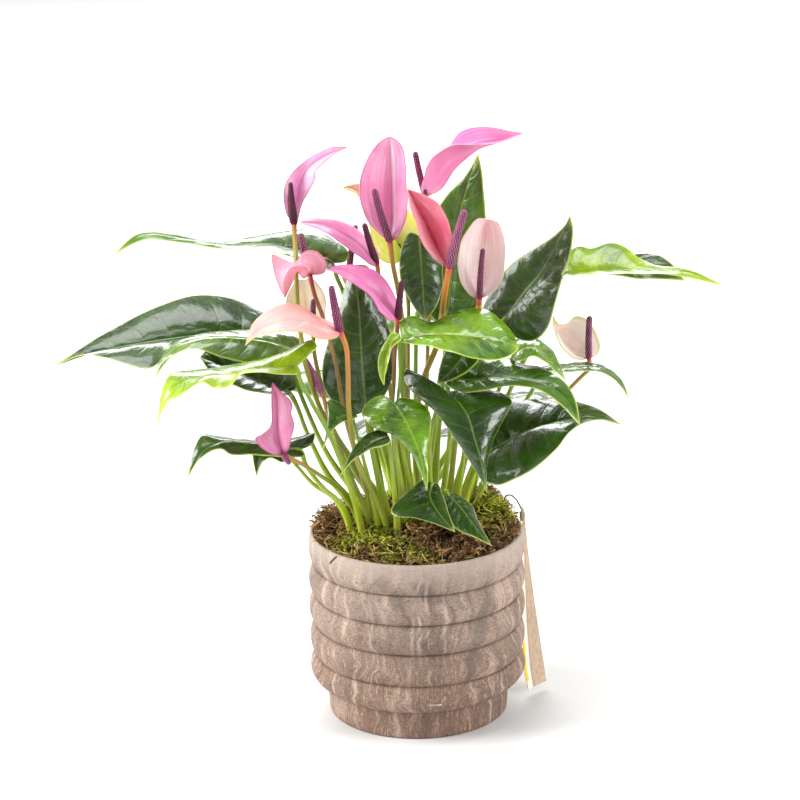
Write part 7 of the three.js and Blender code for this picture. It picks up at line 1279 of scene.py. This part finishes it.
def strands(name, count, kind, material, reach=71.0):
    verts, faces, tones, lits = [], [], [], []
    made = 0
    while made < count:
        a, r = rng.uniform(0, 2 * math.pi), reach * math.sqrt(rng.random())
        x, y = r * math.cos(a), r * math.sin(a)
        g = green_share(x, y)
        if kind == "frond" and rng.random() > min(1.0, max(0.10, (g - 0.22) * 1.9)):
            continue
        if kind == "fibre" and rng.random() > min(1.0, max(0.25, 1.25 - g)):
            continue
        made += 1
        p = Vector((x, y, ground(x, y) - rng.uniform(0.2, 1.4)))
        # most lean outwards and up; at the wall they turn up so that they clear the rim
        lean = a + rng.gauss(0, 1.2)
        out = Vector((math.cos(lean), math.sin(lean), 0))
        rise = rng.uniform(0.15, 1.1) + (0.9 if r > 66 else 0.0)
        d = (out + Vector((0, 0, rise))).normalized()
        tone = g + rng.gauss(0, 0.16)
        if kind == "frond":
            lit = rng.choice((0.25, 0.5, 0.85, 1.2, 1.6))
            length = rng.uniform(3.4, 8.5)
            bend = Vector((rng.gauss(0, 0.3), rng.gauss(0, 0.3), -rng.uniform(0.1, 0.9)))
            pts = [p]
            for i in range(4):
                d = (d + bend * 0.22).normalized()
                pts.append(pts[-1] + d * length / 4)
            tube(verts, faces, tones, pts, [0.26, 0.24, 0.20, 0.14, 0], tone)
            for i in range(11):
                t = (i + 0.7) / 11.6 * 4
                q = int(t)
                s = pts[q].lerp(pts[q + 1], t - q)
                dd = (pts[q + 1] - pts[q]).normalized()
                th = i * 2.4 + a
                u = dd.cross(Vector((0.2, 0.3, 0.93))).normalized()
                w = u * math.cos(th) + dd.cross(u) * math.sin(th)
                leaflet(verts, faces, tones, s + w * 0.12, (dd * 0.55 + w * 0.85).normalized(), dd.cross(w).normalized(), rng.uniform(1.1, 2.3), tone + rng.gauss(0, 0.10))
        else:
            lit = rng.choice((0.18, 0.4, 0.75, 1.1, 1.6))
            length = rng.uniform(5.5, 16.0)
            pts = [p]
            curl = rng.gauss(0, 0.62)
            d = (out + Vector((0, 0, rng.uniform(0.0, 0.75)))).normalized()
            for i in range(6):
                turn = Matrix.Rotation(curl, 3, "Z")
                d = (turn @ d + Vector((rng.gauss(0, 0.28), rng.gauss(0, 0.28), rng.gauss(-0.06, 0.26)))).normalized()
                q = pts[-1] + d * length / 6
                rr = math.hypot(q.x, q.y)
                if rr > 71.2 and q.z < 134.2:
                    q.x, q.y = q.x * 71.2 / rr, q.y * 71.2 / rr
                q.z = max(q.z, ground(q.x, q.y) - 0.6 if rr < 71.3 else q.z)
                q.z = min(q.z, ground(q.x, q.y) + 7.5)
                pts.append(q)
            w = rng.uniform(0.26, 0.62)
            tube(verts, faces, tones, pts, [w, w, w * 0.95, w * 0.85, w * 0.7, w * 0.5, 0], tone)
        lits += [lit] * (len(verts) - len(lits))
    part = Part()
    part.add([tuple(v) for v in verts], faces, 0, tone=tones, lit=lits)
    o = part.make(name, [material])
    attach(o, "root")
    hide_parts("moss")
    return o


strands("moss_fronds", 2250, "frond", FROND)
strands("moss_fibres", 4300, "fibre", FIBRE)

# ------------------------------------------------------------------ tag and wire

levels = [(np.array(a, float), np.array(b, float)) for a, b in TAG["levels"]]
heights = np.linspace(0, len(levels) - 1, 29)
across = np.array([0, 0.05, 0.13, 0.22, 0.30, 0.345, 0.36, 0.375, 0.42, 0.55, 0.70, 0.85, 0.95, 1.0])
fold = np.interp(across, [0, 0.345, 0.36, 0.375, 1.0], [0.0, 0.92, 1.0, 0.92, 0.0])
part = Part()
P, N = [], []
for h in heights:
    i = min(len(levels) - 2, int(h))
    f = h - i
    a = levels[i][0] * (1 - f) + levels[i + 1][0] * f
    b = levels[i][1] * (1 - f) + levels[i + 1][1] * f
    nn = np.cross(b - a, [0, 0, -1.0])
    nn /= np.linalg.norm(nn)
    w = float(np.linalg.norm(b - a))
    P.append(a + (b - a) * across[:, None] + nn * (fold * 0.075 * w)[:, None])
    N.append(np.repeat(nn[None], len(across), 0))
P, N = np.array(P), np.array(N)
if float(N[0, 0] @ np.array([0, -1.0, 0])) < 0:
    N = -N
rows, cols = P.shape[:2]
uu = np.repeat(heights / heights[-1], cols)
ss = np.tile(across, rows)
flip = float(np.cross(P[0, 1] - P[0, 0], P[1, 0] - P[0, 0]) @ N[0, 0]) < 0
b0 = part.add((P + N * 0.3).reshape(-1, 3), grid_faces(rows, cols, flip=flip), 0, uu=uu, ss=ss)
b1 = part.add((P - N * 0.3).reshape(-1, 3), grid_faces(rows, cols, flip=not flip), 0, uu=uu, ss=ss)
loop = [i for i in range(cols)] + [i * cols + cols - 1 for i in range(1, rows)] + [(rows - 1) * cols + i for i in range(cols - 2, -1, -1)] + [i * cols for i in range(rows - 2, 0, -1)]
for i in range(len(loop)):
    a, b = loop[i], loop[(i + 1) % len(loop)]
    q = (b0 + a, b1 + a, b1 + b, b0 + b)
    part.f.append(q[::-1] if flip else q); part.m.append(0)
n = Nodes("kraft_card")
fib = n.noise(n.at((1, 1, 0.25)), 900, 5, 0.7)
blot = n.noise(n.at(), 60, 3)
ss_, uu_ = n.attr("ss"), n.attr("uu")
c = n.mix(n.ramp(fib, 0.3, 0.7), (0.440, 0.310, 0.210), (0.640, 0.490, 0.360))
c = n.mix(n.ramp(blot, 0.35, 0.7, 0.0, 0.4), c, (0.52, 0.38, 0.27))
pale = n.ramp(ss_, 0.36, 0.33)
c = n.mix(n.math("MULTIPLY", pale, 0.85), c, (0.86, 0.78, 0.70))
# painted shade along the fold crease, weaker towards the bottom
c = n.mix(n.math("MULTIPLY", n.ramp(n.math("ABSOLUTE", n.math("SUBTRACT", ss_, 0.36)), 0.0, 0.10, 0.70, 0.0), n.ramp(uu_, 0.05, 0.6, 1.0, 0.55)), c, (0.33, 0.24, 0.19))
band = n.math("MULTIPLY", n.ramp(ss_, 0.16, 0.13), n.math("MULTIPLY", n.ramp(uu_, 0.71, 0.73), n.ramp(uu_, 0.94, 0.92)))
c = n.mix(band, c, (0.86, 0.56, 0.05))
CARD = n.set(color=c, rough=n.ramp(fib, 0.3, 0.7, 0.7, 0.85), normal=n.bump(fib, 0.5, 0.0004), spec=0.25)
tag = part.make("tag_card", [CARD], smooth=False)
# the wire's hole through the card
cutter_part = Part()
a, b = np.array(TAG["hole"][0], float), np.array(TAG["hole"][1], float)
T = unit(b - a); U = unit(np.cross(T, [0, 0, 1.0])); V = np.cross(T, U)
th = np.linspace(0, 2 * math.pi, 24, endpoint=False)
ring = (U * np.cos(th)[:, None] + V * np.sin(th)[:, None]) * TAG["hole_radius"]
cv = np.concatenate([a - T * 2 + ring, b + T * 2 + ring])
cf = [(j, (j + 1) % 24, 24 + (j + 1) % 24, 24 + j) for j in range(24)] + [tuple(range(23, -1, -1)), tuple(range(24, 48))]
cutter_part.add(cv, cf, 0)
cutter = cutter_part.make("hole_tool", [CARD], smooth=False)
mod = tag.modifiers.new("hole", "BOOLEAN")
mod.operation, mod.solver, mod.object = "DIFFERENCE", "EXACT", cutter
dg = bpy.context.evaluated_depsgraph_get()
cut_mesh = bpy.data.meshes.new_from_object(tag.evaluated_get(dg))
tag.modifiers.clear()
tag.data = cut_mesh
bpy.data.objects.remove(cutter)
settle(tag, "tag", "card")

n = Nodes("dark_wire")
f = n.noise(n.at(), 400, 3)
WIRE = n.set(color=n.mix(n.ramp(f, 0.3, 0.7), (0.030, 0.027, 0.025), (0.105, 0.095, 0.085)), rough=n.ramp(f, 0.3, 0.7, 0.38, 0.55), normal=n.bump(f, 0.3, 0.0002))
n = Nodes("knot_twine")
f = n.noise(n.at((1, 1, 1)), 700, 4, 0.65)
TWINE = n.set(color=n.mix(n.ramp(f, 0.3, 0.7), (0.36, 0.28, 0.21), (0.62, 0.52, 0.42)), rough=n.ramp(f, 0.3, 0.7, 0.7, 0.9), normal=n.bump(f, 0.6, 0.0004))
part = Part()
stalk(part, TAG["wire"], lambda x, total: 0.55, 0, sides=10, step=1.0)
closed = list(TAG["loop"])
stalk(part, closed, lambda x, total: 0.55, 0, sides=10, step=0.8)
o = part.make("tag_wire_run", [WIRE])
settle(o, "tag_wire", "wire")
# the knot: wraps of twine round the wire's end, with two short tails
part = Part()
a, b = np.array(TAG["knot"][0], float), np.array(TAG["knot"][1], float)
T = unit(b - a); U = unit(np.cross(T, [0, 1.0, 0.2])); V = np.cross(T, U)
total = float(np.linalg.norm(b - a))
coil = []
for i in range(61):
    w = i / 60
    ang = 2 * math.pi * 4.2 * w
    rr = 1.25 + 0.35 * math.sin(math.pi * w)
    coil.append(tuple(a + T * total * (0.08 + 0.84 * w) + (U * math.cos(ang) + V * math.sin(ang)) * rr))
stalk(part, coil, lambda x, tt: 0.72, 0, sides=8, step=0.7)
stalk(part, [tuple(a + T * total * 0.5), tuple(b), tuple(b + T * 1.6 + U * 0.9)], lambda x, tt: 0.95, 0, sides=8, step=0.8)
stalk(part, [tuple(a + T * total * 0.6), tuple(b + U * 0.6), tuple(b + T * 1.0 - U * 1.3)], lambda x, tt: 0.7, 0, sides=8, step=0.8)
o = part.make("tag_knot", [TWINE])
settle(o, "tag_wire", "wire")

# ------------------------------------------------------------------ floor and light

me = bpy.data.meshes.new("floor")
me.from_pydata([(-9, -6, 0), (9, -6, 0), (9, 12, 0), (-9, 12, 0)], [], [(0, 1, 2, 3)])
floor = bpy.data.objects.new("floor", me)
bpy.context.scene.collection.objects.link(floor)
n = Nodes("floor_pale")
place = n.new("SeparateXYZ")
n.put(place.inputs[0], n.at())
near = n.mix(n.ramp(n.noise(n.at(), 3, 3), 0.3, 0.7), (0.715, 0.712, 0.712), (0.735, 0.732, 0.732))
me.materials.append(n.set(color=n.mix(n.ramp(place.outputs[1], 0.1, 2.5), near, (0.93, 0.93, 0.93)), rough=0.6, spec=0.1))

world = bpy.data.worlds.new("studio")
bpy.context.scene.world = world
world.use_nodes = True
wt = world.node_tree
wt.nodes.clear()
wo, bg = wt.nodes.new("ShaderNodeOutputWorld"), wt.nodes.new("ShaderNodeBackground")
tc, sx = wt.nodes.new("ShaderNodeTexCoord"), wt.nodes.new("ShaderNodeSeparateXYZ")
wt.links.new(tc.outputs["Generated"], sx.inputs[0])
rampn = wt.nodes.new("ShaderNodeMapRange")
rampn.interpolation_type = "SMOOTHSTEP"
wt.links.new(sx.outputs[1], rampn.inputs[0])
for i, val in enumerate((-0.7, 0.6, WORLD_FRONT, WORLD_BACK)):
    rampn.inputs[1 + i].default_value = val
wt.links.new(rampn.outputs[0], bg.inputs[1])
bg.inputs[0].default_value = (1.0, 0.995, 0.99, 1)
wt.links.new(bg.outputs[0], wo.inputs[0])


def softbox(name, place, aim, size, watts, colour=(1, 1, 1)):
    data = bpy.data.lights.new(name, "AREA")
    data.shape, data.size, data.size_y = "RECTANGLE", size[0], size[1]
    data.energy, data.color = watts, colour
    o = bpy.data.objects.new(name, data)
    bpy.context.scene.collection.objects.link(o)
    o.location = place
    o.rotation_euler = (Vector(aim) - Vector(place)).to_track_quat("-Z", "Y").to_euler()
    o.visible_camera = False
    return o


for args in LIGHTS:
    softbox(*args)
